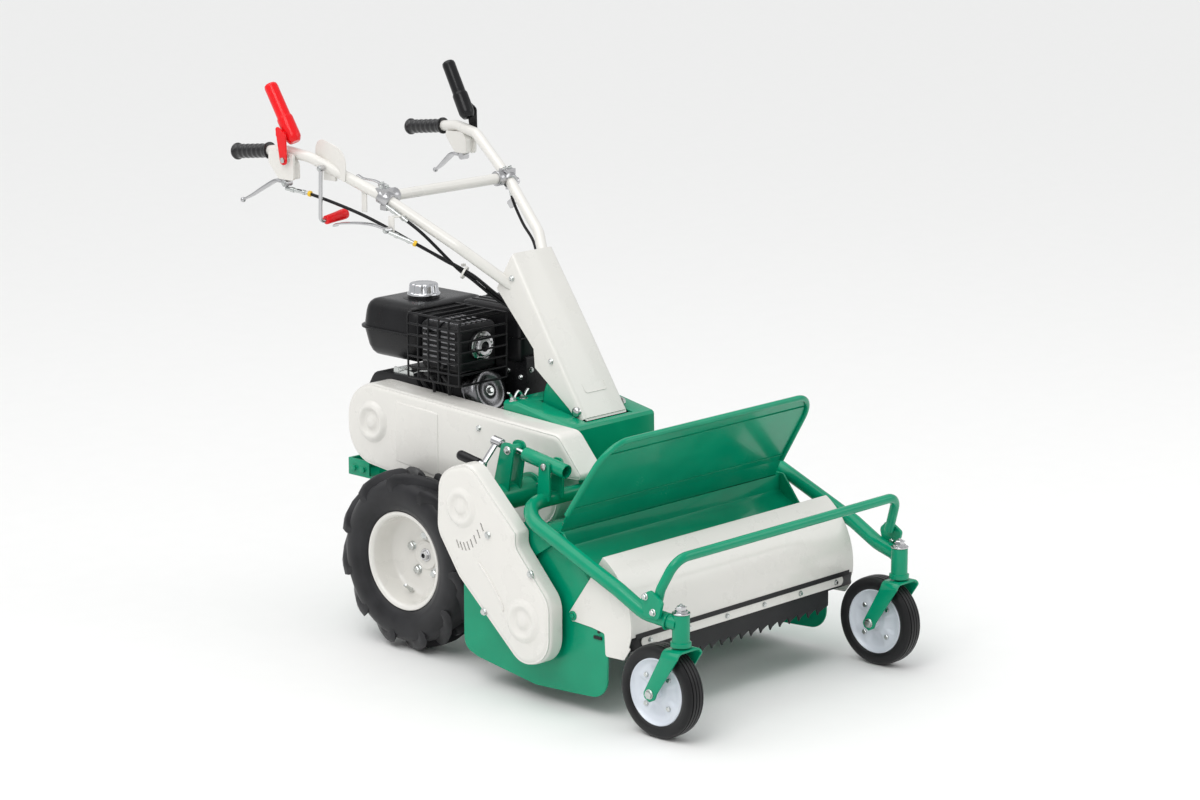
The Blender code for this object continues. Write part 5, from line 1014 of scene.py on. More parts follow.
# %% Flap clamp
edge_z = HOOD_Z + HOOD_R * sin(radians(HOOD_LOW))
CLAMP_HALF, BAND_HALF = 0.330, 0.3490
STRIP_Y = HOOD_Y - sqrt((HOOD_R - HOOD_T) ** 2 - (HOOD_Z - edge_z) ** 2) - 0.0022
strip = rounded([(-CLAMP_HALF, edge_z - 0.024, 0.0100), (CLAMP_HALF, edge_z - 0.024, 0.0100),
                 (CLAMP_HALF, edge_z - 0.003, 0.0100), (-CLAMP_HALF, edge_z - 0.003, 0.0100)], 10)
band_box = [(-BAND_HALF, edge_z - 0.0040), (BAND_HALF, edge_z - 0.0040),
            (BAND_HALF, edge_z + 0.0070), (-BAND_HALF, edge_z + 0.0070)]
put("flap_band", slab(band_box, -0.7588, -0.7566, "y"), "rubber", "hood", soft=0.0004)
put("flap_clamp", slab(strip, STRIP_Y - 0.0001, STRIP_Y + 0.0022, "y"), "white_paint", "hood",
    "flap_strip", soft=0.0006)
bolts = []
for i in range(6):
    x = -CLAMP_HALF * 0.92 + 2 * CLAMP_HALF * 0.92 * i / 5
    bolts.append(hex_bolt((x, STRIP_Y, edge_z - 0.0135), (0, -1, 0), 0.0085, 0.0038, 0.0062))
put("flap_bolts", merged(*bolts), ZINC, "hood")
print("flap clamp done")

# %% [markdown]
# The guard panel is a flat sheet with a tube rolled into its edge, folded near its foot.
# Light slides along that tube, so it gets a round section of its own.

# %% Guard panel
GUARD_HALF, GUARD_H, GUARD_Y, LEDGE_Y, SHELL_R = 0.348, 0.203, -0.663, -0.541, 0.190
base = ROTOR_Z + SHELL_R + 0.0003
slope = (GUARD_Y - LEDGE_Y + 0.016) / (GUARD_H - 0.037)


def on_slope(x, z):
    """A point of the leaning sheet at height z."""
    return Vector((x, LEDGE_Y - 0.016 + (z - base - 0.037) * slope, z))


sheet = rounded([(-GUARD_HALF, base + 0.0365, 0), (GUARD_HALF, base + 0.0365, 0),
                 (GUARD_HALF - 0.0145, base + GUARD_H + 0.003, 0.065),
                 (-GUARD_HALF + 0.0145, base + GUARD_H + 0.003, 0.065)], 16)
face = [on_slope(x, z) for x, z in sheet]
faces = [face, [p + Vector((0, 0.0025, 0)) for p in face]]
lower = [(LEDGE_Y + 0.045, base), (LEDGE_Y, base), (LEDGE_Y - 0.016, base + 0.037),
         (LEDGE_Y - 0.0135, base + 0.037), (LEDGE_Y + 0.0015, base + 0.0025),
         (LEDGE_Y + 0.045, base + 0.0025)]
put("guard_sheet", loft(faces), "green_paint", "machine", "guard_panel")
put("guard_foot", slab(lower, -GUARD_HALF, GUARD_HALF), "green_paint", "machine", soft=0.0006,
    angle=20)
edge = rounded([(-GUARD_HALF + 0.001, base + 0.038, 0),
                (-GUARD_HALF + 0.0145, base + GUARD_H + 0.003, 0.065),
                (GUARD_HALF - 0.0145, base + GUARD_H + 0.003, 0.065),
                (GUARD_HALF - 0.001, base + 0.038, 0)], 16)
put("guard_rim", swept([on_slope(x, z) for x, z in edge], circle(0.0067, 16)), "green_paint",
    "machine", angle=60)
crease = []
for dz in (0.052, 0.178):
    wide = GUARD_HALF - 0.004 - 0.0145 * (dz - 0.037) / 0.169
    line = [on_slope(x, base + dz) + Vector((0, -0.0002, 0)) for x in (-wide, wide)]
    crease.append(swept(line, circle(0.0026, 10, 0.35), (0, 1, 0)))
put("guard_creases", merged(*crease), "green_paint", "machine", angle=60)
bolts = [hex_bolt((x, LEDGE_Y + 0.024, base + 0.0025), (0, 0, 1), *BOLT_8)
         for x in (-0.31, -0.155, 0.0, 0.155, 0.31)]
put("guard_bolts", merged(*bolts), ZINC, "machine")
print("guard done")

# %% [markdown]
# The engine is where a viewer looks for proof that a machine is real. Its tank is two
# plastic shells welded at a seam, so it is a loft of one rounded outline whose inset
# changes with height. The plated cap has eight scallops for the fingers, which a cosine
# cuts into its rings.

# %% Tank
TANK_Z, TANK_TOP, CAP_X, CAP_Y, CAP_R = 0.600, 0.735, 0.0, 0.235, 0.0385
TANK_X0, TANK_X1 = -0.112, 0.145


def tank_ring(z, inset):
    x0, x1, y0, y1, r = TANK_X0, TANK_X1, CRANK_Y - 0.056, CRANK_Y + 0.152, 0.045
    corners = [(x0, y0, r), (x1, y0, r), (x1, y1, r), (x0, y1, r)]
    return [(x, y, z) for x, y in rounded(corners, 12, inset)]


seam = TANK_Z + 0.070
levels = [(TANK_Z + up, inset) for up, inset in ((0.0003, 0.040), (0.004, 0.030), (0.012, 0.021),
                                                 (0.026, 0.0135))]
levels += [(seam + up, inset) for up, inset in (
    (-0.020, 0.0075), (-0.006, 0.0040), (-0.0032, 0.0036), (-0.0026, -0.0030), (-0.0018, -0.0040),
    (0.0018, -0.0040), (0.0026, -0.0030), (0.0032, 0.0036), (0.010, 0.0044))]
levels += [(TANK_TOP - down, inset) for down, inset in (
    (0.030, 0.0080), (0.018, 0.0115), (0.010, 0.0165), (0.004, 0.0245), (0.0008, 0.0350),
    (0.0, 0.0430))]
put("tank_shell", loft([tank_ring(z, i) for z, i in levels]), "black_plastic", "machine",
    "fuel_tank", angle=50)
top = Vector((CAP_X, CAP_Y, TANK_TOP))
neck = turned([(-0.006, 0), (-0.006, 0.050), (0.0004, 0.0485), (0.0012, 0.044), (0.0016, 0.0375),
               (0.0056, 0.0365), (0.0060, 0.0340), (0.0060, 0)], top, "z", 64)
put("tank_neck", neck, "black_plastic", "machine")
print("tank done")

# %% Fuel cap
def cap_shape():
    """Plated cap with eight finger scallops and a shallow crown."""
    rows = [(z, CAP_R - less, wave) for z, less, wave in (
        (0.0064, 0.0012, 0.0), (0.0074, 0.0, 0.0), (0.0105, 0.0, 0.0), (0.0118, 0.0012, 0.0),
        (0.0124, 0.0026, 0.5), (0.0145, 0.0034, 1.0), (0.0290, 0.0046, 1.0), (0.0318, 0.0060, 1.0),
        (0.0336, 0.0088, 0.8), (0.0340, 0.0120, 0.45), (0.0334, 0.0150, 0.1),
        (0.0326, 0.0190, 0.0))]
    rows += [(0.0330, 0.010, 0.0), (0.0334, 0.003, 0.0)]
    rings = []
    steps = 160
    for z, r, wave in rows:
        ring = []
        for i in range(steps):
            a = 2 * pi * i / steps
            dip = max(0.0, cos(8 * a)) ** 1.5
            rr = r * (1 - 0.085 * wave * dip)
            ring.append((rr * cos(a), rr * sin(a), z))
        rings.append(ring)
    return loft(rings)


put("cap_shell", cap_shape(), "cap_metal", "fuel_cap", "fuel_cap", angle=50, at=top)
print("fuel cap done")

# %% [markdown]
# The cylinder leans forward, so its pieces are placed along it and not along the axes
# of the scene. The round cover on its head is pressed metal and turned from a profile.
# The recoil starter on the far side has two rings of louvres and a handle.

# %% Cylinder cover
DRIVE = 0.205
TILT = radians(20)
CYL_X = -0.045


def along_cylinder(d, p, x=CYL_X):
    """A point at distance d from the crank along the cylinder and p across it."""
    return Vector((x, CRANK_Y - d * cos(TILT) + p * sin(TILT),
                   CRANK_Z + d * sin(TILT) + p * cos(TILT)))


head = along_cylinder(DRIVE + 0.0003, 0)
out = (along_cylinder(1, 0) - along_cylinder(0, 0)).normalized()
dome = [(0, 0), (0, 0.0600), (0.0030, 0.0606), (0.0045, 0.0600), (0.0055, 0.0585), (0.0210, 0.0565),
        (0.0270, 0.0540), (0.0310, 0.0500), (0.0330, 0.0450), (0.0334, 0.0400), (0.0322, 0.0350),
        (0.0296, 0.0290), (0.0282, 0.0220), (0.0280, 0.0170), (0.0296, 0.0140), (0.0300, 0.0)]
put("dome_shell", turned(dome, head, out, 72), "cast_alloy", "machine", "rocker_cover",
    paint=DARK_ALLOY)
put("dome_bolt", hex_bolt(head + out * 0.0300, out, 0.0130, 0.0060, 0.0118), ZINC, "machine")
print("cylinder cover done")

# %% Engine bolts
small = []
for x in (-0.100, -0.020, 0.045):
    for z in (0.420, 0.540):
        small.append(hex_bolt((x, CRANK_Y + 0.098, z), (0, 1, 0), 0.010, 0.005, 0.0072))
for y, z in around(6, 0.100, 0.4):
    small.append(hex_bolt((0.1505, CRANK_Y + y, CRANK_Z + z), (1, 0, 0), 0.009, 0.004))
put("engine_bolts", merged(*small), ZINC, "machine")
print("engine bolts", len(small))

# %% Louvres and handle of the starter
louvres = []
for i in range(20):
    a = 2 * pi * i / 20
    for r in (0.040, 0.062):
        slit = box((0.188 - (r - 0.03) * 0.17, -0.0022, r - 0.008), (0.194, 0.0022, r + 0.009))
        bmesh.ops.rotate(slit, cent=(0, 0, 0), matrix=Matrix.Rotation(a, 3, "X"), verts=slit.verts)
        bmesh.ops.translate(slit, vec=(-0.0035, CRANK_Y, CRANK_Z), verts=slit.verts)
        louvres.append(slit)
put("starter_louvres", merged(*louvres), "engine_casting", "machine")
cord_end = rod((0.188, CRANK_Y - 0.062, CRANK_Z + 0.066), (0.206, CRANK_Y - 0.075, CRANK_Z + 0.076),
               0.0065, 20)
put("starter_grip", cord_end, "rubber", "machine")
bar = swept([(0.207, CRANK_Y - 0.052, CRANK_Z + 0.101), (0.208, CRANK_Y - 0.076, CRANK_Z + 0.077),
             (0.207, CRANK_Y - 0.100, CRANK_Z + 0.053)],
            circle(0.0095, 20), None, [0.75, 1.0, 0.75])
put("starter_handle", bar, "rubber", "machine", angle=50)
print("starter louvres", len(louvres))

# %% [markdown]
# The silencer is a box folded from thin sheet, with rolled louvres on its side and top,
# a seam round its middle and a bright outlet in front. A guard of bent wire keeps
# hands off it. Each wire is a path with rounded corners and a round section.

# %% Silencer
MUFF = ((-0.150, -0.034, 0.614), (-0.030, 0.092, 0.722))
mid = (MUFF[0][0] + MUFF[1][0]) / 2
shapes = []
for j in range(7):
    z = MUFF[0][2] + 0.020 + 0.012 * j
    for y0, y1 in ((-0.022, 0.022), (0.036, 0.080)):
        shapes.append(swept([(MUFF[0][0] - 0.0006, y0, z), (MUFF[0][0] - 0.0006, y1, z)],
                            circle(0.0026, 10, 0.55), (0, 0, 1)))
for i in range(6):
    x = MUFF[0][0] + 0.018 + 0.0168 * i
    shapes.append(swept([(x, -0.020, MUFF[1][2] + 0.0004), (x, 0.078, MUFF[1][2] + 0.0004)],
                        circle(0.0036, 10, 0.6), (1, 0, 0)))
put("silencer_louvres", merged(*shapes), "cast_alloy", "machine", angle=60, paint=DARK_ALLOY)
x0, x1, z0, z1 = MUFF[0][0] - 0.0025, MUFF[1][0] + 0.0025, MUFF[0][2] + 0.004, MUFF[1][2] + 0.0025
seam_box = rounded([(x0, z0, 0.012), (x1, z0, 0.012), (x1, z1, 0.012), (x0, z1, 0.012)], 6)
put("silencer_seam", slab(seam_box, 0.026, 0.031, "y"), "muffler_metal", "machine", soft=0.001)
outlet = Vector((mid + 0.004, MUFF[0][1], MUFF[0][2] + 0.058))
flange = turned([(-0.001, 0), (-0.001, 0.034), (0.0022, 0.034), (0.0030, 0.0325), (0.0030, 0.0225),
                 (0.0085, 0.0215), (0.0105, 0.0190), (0.0105, 0.0120), (0.0040, 0.0110),
                 (0.0040, 0)], outlet + Vector((0, -0.008, 0)), (0, -1, 0), 56)
put("outlet_flange", flange, "bright_steel", "machine")
# Painted shade: a thin black disc at the bottom of the flange's shallow bore stands in for the dark
# inside the outlet pipe.
bore = turned([(0.0041, 0), (0.0041, 0.0112), (0.0046, 0.0112), (0.0046, 0)],
              outlet + Vector((0, -0.008, 0)), (0, -1, 0), 32)
put("outlet_bore_shade", bore, "muffler_metal", "machine")
ring = [cap_screw(outlet + Vector((x, -0.0110, z)), (0, -1, 0), 0.0026, 0.0016)
        for x, z in around(8, 0.0280, 0.2)]
put("outlet_rivets", merged(*ring), ZINC, "machine")
print("silencer done")

# %% Wire guard
x0, x1, y0, y1, z0, z1 = -0.168, -0.018, -0.052, 0.112, 0.592, 0.740
WIRE_R = 0.0025
WIRE_BEND = 0.012
paths = []
for i in range(6):
    y = y0 + (y1 - y0) * i / 5
    paths.append(fillet([(x0, y, z0), (x0, y, z1), (x1, y, z1)], WIRE_BEND, 6))
for j in range(7):
    z = z0 + (z1 - z0) * j / 6
    paths.append(fillet([(x1, y0, z), (x0, y0, z), (x0, y1, z)], WIRE_BEND, 6))
paths += [[(x0, y1, z1), (x1, y1, z1)], [(x1, y0, z1), (x1, y1, z1)], [(x1, y0, z0), (x1, y0, z1)]]
wires = [swept(path, circle(WIRE_R, 10)) for path in paths]
for t, level in ((1 / 3, 1), (2 / 3, 3)):
    y, z = y0 + (y1 - y0) * t, z0 + (z1 - z0) * level / 4
    wires.append(rod((x0, y, z), (MUFF[0][0] + 0.001, y, z), 0.004, 16))
put("guard_wires", merged(*wires), "muffler_metal", "machine", "muffler_guard", angle=60)
print("guard wires", len(paths))

# %% [markdown]
# The small things behind and beside the cylinder are rubber hoses, the lead to the
# spark plug, the carburettor, and the rods and spring that tie the throttle to it. They
# are thin sections on smooth routes, and they fill the gaps where a plain engine block
# would look empty.

# %% Hoses, lead and carburettor
parts = [swept(smooth_route([(-0.118, 0.128, 0.600), (-0.126, 0.118, 0.586), (-0.124, 0.098, 0.560),
                             (-0.112, 0.086, 0.548)], 30), circle(0.0042, 12)),
         swept(smooth_route([(-0.121, 0.020, 0.575), (-0.138, 0.010, 0.560), (-0.148, 0.004, 0.588),
                             (-0.140, 0.030, 0.600)], 30), circle(0.0032, 12))]
put("engine_hoses", merged(*parts), "rubber", "machine", angle=60)
plug_from = along_cylinder(0.170, -0.030, CYL_X - 0.058)
plug = [plug_from, plug_from + Vector((-0.020, 0, 0.004)),
        plug_from + Vector((-0.032, 0.002, 0.012))]
lead = smooth_route([plug[-1], plug[-1] + Vector((-0.010, 0.020, 0.018)),
                     Vector((-0.140, 0.060, 0.585)), Vector((-0.118, 0.110, 0.592))], 30)
put("plug_lead", merged(swept(plug, circle(0.0088, 20), None, [1.0, 1.1, 0.7]),
                        swept(lead, circle(0.0036, 12))), "rubber", "machine", angle=60)

carb = [slab(rounded([(0.040, 0.546, 0.008), (0.100, 0.546, 0.008), (0.100, 0.596, 0.008),
                      (0.040, 0.596, 0.008)], 4), -0.012, 0.060),
        turned([(0, 0), (0, 0.019), (0.022, 0.019), (0.026, 0.016), (0.030, 0.006), (0.030, 0)],
               (0.020, 0.070, 0.546), (0, 0, -1), 32)]
put("carburettor", merged(*carb), "cast_alloy", "machine", soft=0.001)
links = [swept([(-0.124, 0.175, 0.575), (-0.124, 0.120, 0.596), (-0.100, 0.090, 0.596)],
               circle(0.0013, 8)),
         swept([(-0.122, 0.190, 0.590), (-0.122, 0.150, 0.600)], strap(0.012, 0.002)),
         slab(rounded([(0.140, 0.575, 0.004), (0.205, 0.575, 0.004), (0.205, 0.596, 0.004),
                       (0.140, 0.590, 0.004)], 4), -0.126, -0.124)]
put("throttle_links", merged(*links), ZINC, "machine")


def coil(start, end, radius, wire, turns):
    """A small tension spring."""
    a, b = Vector(start), Vector(end)
    _, side, up = cross_axes(b - a)
    n = turns * 12
    spokes = [(side * cos(2 * pi * i / 12) + up * sin(2 * pi * i / 12)) * radius
              for i in range(n + 1)]
    return swept([a + (b - a) * i / n + spoke for i, spoke in enumerate(spokes)], circle(wire, 6))


spring = coil((-0.128, 0.188, 0.588), (-0.128, 0.140, 0.606), 0.0034, 0.0006, 14)
put("governor_spring", spring, ZINC, "machine", angle=60)
print("engine details done")

# %% [markdown]
# The height adjuster is a screw in a tube: a crank with a black grip turns the screw,
# which pushes the tube and tips the caster frame.

# %% Height adjuster
TRUNNION = Vector((JACK_X, -0.335, 0.5165))
yoke_at = Vector((JACK_X, YOKE_Y, YOKE_Z))
along = (yoke_at - TRUNNION).normalized()
barrel = [(0, 0.0126), (0, 0.0150), (0.0012, 0.0156), (0.1228, 0.0156), (0.124, 0.0150),
          (0.124, 0.0126)]
put("jack_barrel", turned(barrel, yoke_at - along * 0.078, along, 40), "green_paint", "jack",
    "jack_tube")
pins = []
for d in (-1, 1):
    pins.append(turned([(0.0130, 0.0054), (0.0275, 0.0054), (0.0278, 0.0), (0.0130, 0.0)], yoke_at,
                       (d, 0, 0), 24))
    pins.append(turned([(0.0236, 0), (0.0236, 0.0082), (0.0256, 0.0082), (0.0275, 0.0070),
                        (0.0280, 0.0040), (0.0280, 0)], yoke_at, (d, 0, 0), 28))
put("jack_pins", merged(*pins), ZINC, "jack")
hub = TRUNNION - along * 0.052
arm = hub + Vector((-0.045, 0, -0.044))
screw = [turned([(0, 0), (0, 0.0056), (0.001, 0.0060), (0.168, 0.0060), (0.170, 0.0050),
                 (0.170, 0)], TRUNNION - along * 0.058, along, 24),
         turned([(-0.012, 0), (-0.012, 0.0095), (-0.011, 0.0105), (0.015, 0.0105), (0.016, 0.0095),
                 (0.016, 0)], hub, along, 36),
         swept([hub + Vector((0.004, 0, 0.004)), arm - Vector((0.004, 0, 0.004))],
               strap(0.0150, 0.006, 0.002), (0, 1, 0)),
         rod(arm + along * 0.006, arm - along * 0.010, 0.0075, 28)]
put("crank_screw", merged(*screw), "bright_steel", "crank", "height_crank")
grip_line = [arm - along * t for t in (0.0095, 0.0105, 0.014, 0.030, 0.055, 0.068, 0.0725, 0.0733)]
put("crank_grip", swept(grip_line, circle(0.0105, 32), None,
                        [0.80, 0.98, 1.02, 1.0, 1.06, 1.06, 0.90, 0.70]), "black_plastic", "crank",
    angle=50)
print("height adjuster done")

# %% [markdown]
# The column cover is a long channel folded from sheet, with soft corners down its edges.
# Its flanges grow deeper, step in a third of the way up and grow again towards the
# handle. A loft of one channel section with a changing depth follows that. The green
# well below it hides the pivot, and wing bolts hold the cover in front of the engine.

# %% Section of the column
PIVOT_Y, PIVOT_Z, COLUMN_HALF, COLUMN_WALL, COLUMN_CORNER = -0.322, 0.561, 0.070, 0.0025, 0.012
LEAN = radians(56.4)


def column_point(s, d):
    """The (y, z) at distance s up the column and depth d below its face."""
    return (-0.336 + s * cos(LEAN) + d * sin(LEAN), 0.563 + s * sin(LEAN) - d * cos(LEAN))


def column_ring(s, depth, half, lift):
    """A channel section across the column, whose flanges lean by lift."""
    wall, c = COLUMN_WALL, COLUMN_CORNER
    turns = (0, pi / 10, pi / 5, 3 * pi / 10, 2 * pi / 5, pi / 2)
    corner = [(c - c * cos(a), c - c * sin(a)) for a in turns]
    outer = [(-half, depth)] + [(-half + x, d) for x, d in corner]
    outer += [(half - x, d) for x, d in reversed(corner)] + [(half, depth)]
    inner = [(x * (half - wall) / half, wall + (d * (depth - wall) / depth))
             for x, d in reversed(outer)]
    ring = []
    for x, d in outer + inner:
        y, z = column_point(s + lift * d, d)
        ring.append((x, y, z))
    return ring


print("top of the column", [round(v, 3) for v in column_point(0.392, 0)])

# %% Column cover
keys = [(-0.016, 0.022, COLUMN_HALF, 0.0), (0.024, 0.032, COLUMN_HALF, 0.0),
        (0.145, 0.076, COLUMN_HALF, 0.0), (0.182, 0.056, COLUMN_HALF, 0.0),
        (0.300, 0.078, COLUMN_HALF - 0.002, 0.0), (0.392, 0.088, COLUMN_HALF - 0.004, -0.50)]
rings = []
for low_key, high_key in zip(keys, keys[1:]):
    for k in range(6):
        rings.append(column_ring(*(a + (b - a) * (k / 6) for a, b in zip(low_key, high_key))))
rings.append(column_ring(*keys[-1]))
put("column_shell", loft(rings), "white_paint", "handle", "column_cover", angle=30)


def on_column(x, s, d=0.0):
    return Vector((x, *column_point(s, d)))


corners = ((0.034, 0.062), (0.034, 0.040), (-0.034, 0.040), (-0.034, 0.062))
mark = [on_column(x, s, -0.0004) for x, s in corners]
lip = [(-0.0660, -0.0160), (0.0660, -0.0160), (0.0630, -0.0215), (-0.0630, -0.0215)]
put("column_lip", loft([[on_column(x, s, d) for x, s in lip] for d in (0.0030, 0.0055)]),
    "white_paint", "handle")
put("column_rib", swept(fillet(mark, 0.006, 6), circle(0.0010, 10, 0.6)), "white_paint", "handle",
    angle=60)
print("column shell done")

# %% Column well and bolts
fan = arc((PIVOT_Y, PIVOT_Z), 0.1115, -10, 28, 16)
shapes = [slab(fan + arc((PIVOT_Y, PIVOT_Z), 0.1090, 28, -10, 16), -0.0640, 0.0640)]
for _, s in SIDES:
    a, b = sorted((s * 0.0620, s * 0.0640))
    cheek = [(PIVOT_Y + 0.012, PIVOT_Z - 0.030)] + fan + [(PIVOT_Y + 0.010, PIVOT_Z + 0.012)]
    shapes.append(slab(cheek, a, b))
shapes.append(slab([(-0.3585, 0.5400), (-0.3480, 0.5425), (-0.3480, 0.5220), (-0.3200, 0.5200),
                    (-0.3200, 0.5180), (-0.3585, 0.5180)], -0.0735, 0.0735))
put("column_well", merged(*shapes), "green_paint", "machine", soft=0.0008)
wings = []
for x in (-0.118, -0.086, 0.118):
    foot = Vector((x, -0.172, 0.5722))
    wings.append(hex_bolt(foot, (0, 0, 1), 0.0130, 0.0060, 0.0100))
    for d in (-1, 1):
        wings.append(swept([foot + Vector((d * 0.003, 0, 0.005)),
                            foot + Vector((d * 0.009, 0, 0.014)),
                            foot + Vector((d * 0.015, 0, 0.019))], strap(0.008, 0.003), (0, 1, 0),
                           [0.8, 1.0, 1.1]))
put("cover_wing_bolts", merged(*wings), ZINC, "machine")
screws = []
for side_name, s in SIDES:
    for t, d in ((0.135, 0.022), (0.345, 0.030)):
        screws.append(hex_bolt((s * (COLUMN_HALF - 0.002 * (t > 0.3)), *column_point(t, d)),
                               (s, 0, 0), 0.0095, 0.0042, 0.0068))
    screws.append(turned([(-0.001, 0), (-0.001, 0.0115), (0.0040, 0.0115), (0.0070, 0.0095),
                          (0.0090, 0.0050), (0.0095, 0)], (s * COLUMN_HALF, PIVOT_Y, PIVOT_Z),
                         (s, 0, 0), 36))
put("column_bolts", merged(*screws), ZINC, "handle")
print("column done")

# %% [markdown]
# The two handle tubes sweep up and apart from the column. Grips have shallow finger
# waves and a flange at each end; clamps of bright metal hold the cross bar.

# %% Handle tubes and grips
HANDLE_X, TUBE_R, GRIP_R = 0.274, 0.0125, 0.0165
COLUMN_ROOM = 0.056 - 0.005 - 0.0003
for side_name, s in SIDES:
    x_in = COLUMN_ROOM - TUBE_R
    low, middle = column_point(0.040, 0.034), column_point(0.300, 0.040)
    path = [(x_in, *low), (x_in, *middle), (0.129, -0.011, 0.900), (0.195, 0.151, 0.999),
            (0.262, 0.325, 1.080), (HANDLE_X, 0.400, 1.090), (HANDLE_X, 0.562, 1.071)]
    path = fillet([(s * x, y, z) for x, y, z in path], 0.07, 10)
    put("tube_" + side_name, swept(path, circle(TUBE_R, 28)), "white_paint", "handle",
        "handle_tube_" + side_name, angle=50)
    bx = s * (HANDLE_X + TUBE_R)
    a, b = sorted((bx - s * 0.003, bx + s * 0.004))
    plates = [slab(rounded([(0.352, 1.086, 0.008), (0.352, 1.026, 0.008), (0.402, 1.026, 0.008),
                            (0.436, 1.060, 0.010), (0.436, 1.092, 0.008)], 6), a, b)]
    box_low, box_high = sorted((s * (HANDLE_X - 0.012), s * (HANDLE_X + 0.016)))
    plates.append(slab(rounded([(0.360, 1.060, 0.006), (0.360, 1.0265, 0.006),
                                (0.398, 1.0265, 0.006), (0.428, 1.062, 0.006),
                                (0.428, 1.076, 0.004), (0.372, 1.078, 0.004)], 5),
                       box_low, box_high))
    if s > 0:
        plates.append(box((0.200, 0.149, 0.981), (0.2125, 0.167, 1.000)))
    else:
        plates.append(box((-0.2155, 0.192, 0.9643), (-0.2125, 0.208, 1.018)))
        plates.append(slab(rounded([(0.330, 1.068, 0.004), (0.326, 1.128, 0.045),
                                    (0.226, 1.100, 0.045), (0.232, 1.030, 0.004)], 12),
                           -0.2440, -0.2410))
        plates += [box((-0.246, 0.262, 1.030), (-0.238, 0.300, 1.062)),
                   box((-0.2225, 0.096, 0.924), (-0.2195, 0.114, 0.966)),
                   box((-0.200, 0.168, 1.0045), (-0.166, 0.192, 1.0085)),
                   box((-0.2215, 0.097, 0.9625), (-0.170, 0.113, 0.9655))]
    put("handle_plates_" + side_name, merged(*plates), "white_paint", "handle", soft=0.0008)
    direction = (path[-1] - path[-2]).normalized()
    start = path[-1] - direction * 0.116
    wave = [(0.0072 + 0.0986 * k / 60, GRIP_R + 0.0006 * sin(6 * 2 * pi * k / 60) - 0.0004)
            for k in range(61)]
    profile = [(0, TUBE_R + 0.0004), (0, GRIP_R + 0.0020), (0.0008, GRIP_R + 0.0030),
               (0.0044, GRIP_R + 0.0030), (0.0055, GRIP_R + 0.0018), (0.0066, GRIP_R)] + wave
    profile += [(0.1085, GRIP_R - 0.0002), (0.1105, GRIP_R + 0.0022), (0.1120, GRIP_R + 0.0030),
                (0.1150, GRIP_R + 0.0030), (0.1190, GRIP_R + 0.0010), (0.1212, GRIP_R - 0.0030),
                (0.1219, 0.008), (0.1219, 0)]
    profile += [(0.118, 0), (0.118, TUBE_R + 0.0004)]
    put("grip_sleeve_" + side_name, turned(profile, start, direction, 48), "rubber", "handle",
        "grip_" + side_name, angle=50, paint=GRIP)
put("cross_tube", rod((-0.178, 0.156, 1.001), (0.178, 0.156, 1.001), TUBE_R, 36), "white_paint",
    "handle", "handle_crossbar")
print("handle done")

# %% [markdown]
# A clutch lever stands on each side above the grip, red on the right and black on the
# left. It is a plate on a pin with a sleeve on top. The sleeve is turned with a wide
# foot and a narrower upper half, because the palm pulls on the upper half.

# %% Clutch levers
LEVER_X, LEVER_Y, LEVER_Z = HANDLE_X + 0.027, 0.371, 1.073
for side_name, s in SIDES:
    body, colour = "clutch_lever_" + side_name, "red_paint" if s < 0 else "black_paint"
    low = Vector((s * HANDLE_X, 0.362, 1.112))
    top = Vector((s * (HANDLE_X + 0.006), 0.438, 1.239))
    sleeve = [(0, 0), (0, 0.0125), (0.0040, 0.0150), (0.0100, 0.0180), (0.0140, 0.0186),
              (0.0560, 0.0186), (0.0605, 0.0184), (0.0640, 0.0164), (0.0660, 0.0160),
              (0.1200, 0.0157), (0.1380, 0.0159), (0.1440, 0.0145), (0.1470, 0.0105),
              (0.1480, 0.0050), (0.1481, 0)]
    plate = rounded([(LEVER_Y - 0.010, LEVER_Z - 0.011, 0.010),
                     (LEVER_Y + 0.010, LEVER_Z - 0.011, 0.010),
                     (LEVER_Y + 0.027, LEVER_Z + 0.080, 0.006),
                     (LEVER_Y - 0.008, LEVER_Z + 0.058, 0.010)], 10)
    a, b = sorted((s * (LEVER_X - 0.0020), s * (LEVER_X + 0.0022)))
    shapes = [turned(sleeve, low, top - low, 48), slab(plate, a, b)]
    a, b = sorted((s * (HANDLE_X + 0.004), s * (LEVER_X + 0.0020)))
    shapes.append(box((a, LEVER_Y - 0.001, LEVER_Z + 0.0530),
                      (b, LEVER_Y + 0.024, LEVER_Z + 0.0640)))
    put(body + "_sleeve", merged(*shapes), colour, body, body, soft=0.0006, angle=50)
    inner = HANDLE_X + TUBE_R + 0.0043
    pin = rod((s * inner, LEVER_Y, LEVER_Z), (s * (LEVER_X - 0.001), LEVER_Y, LEVER_Z), 0.0080, 28)
    head = hex_bolt((s * (LEVER_X + 0.0022), LEVER_Y, LEVER_Z), (s, 0, 0), 0.0120, 0.0045)
    put(body + "_pin", merged(pin, head), ZINC, body)
print("clutch levers done")

# %% [markdown]
# The squeeze levers below the grips are forged and polished, wide at the root and thin
# towards a ball at the tip. A smooth route with a changing scale gives that taper. The
# cross bar sits in two cast clamps, each with a cap, two screws and a bolt in front.

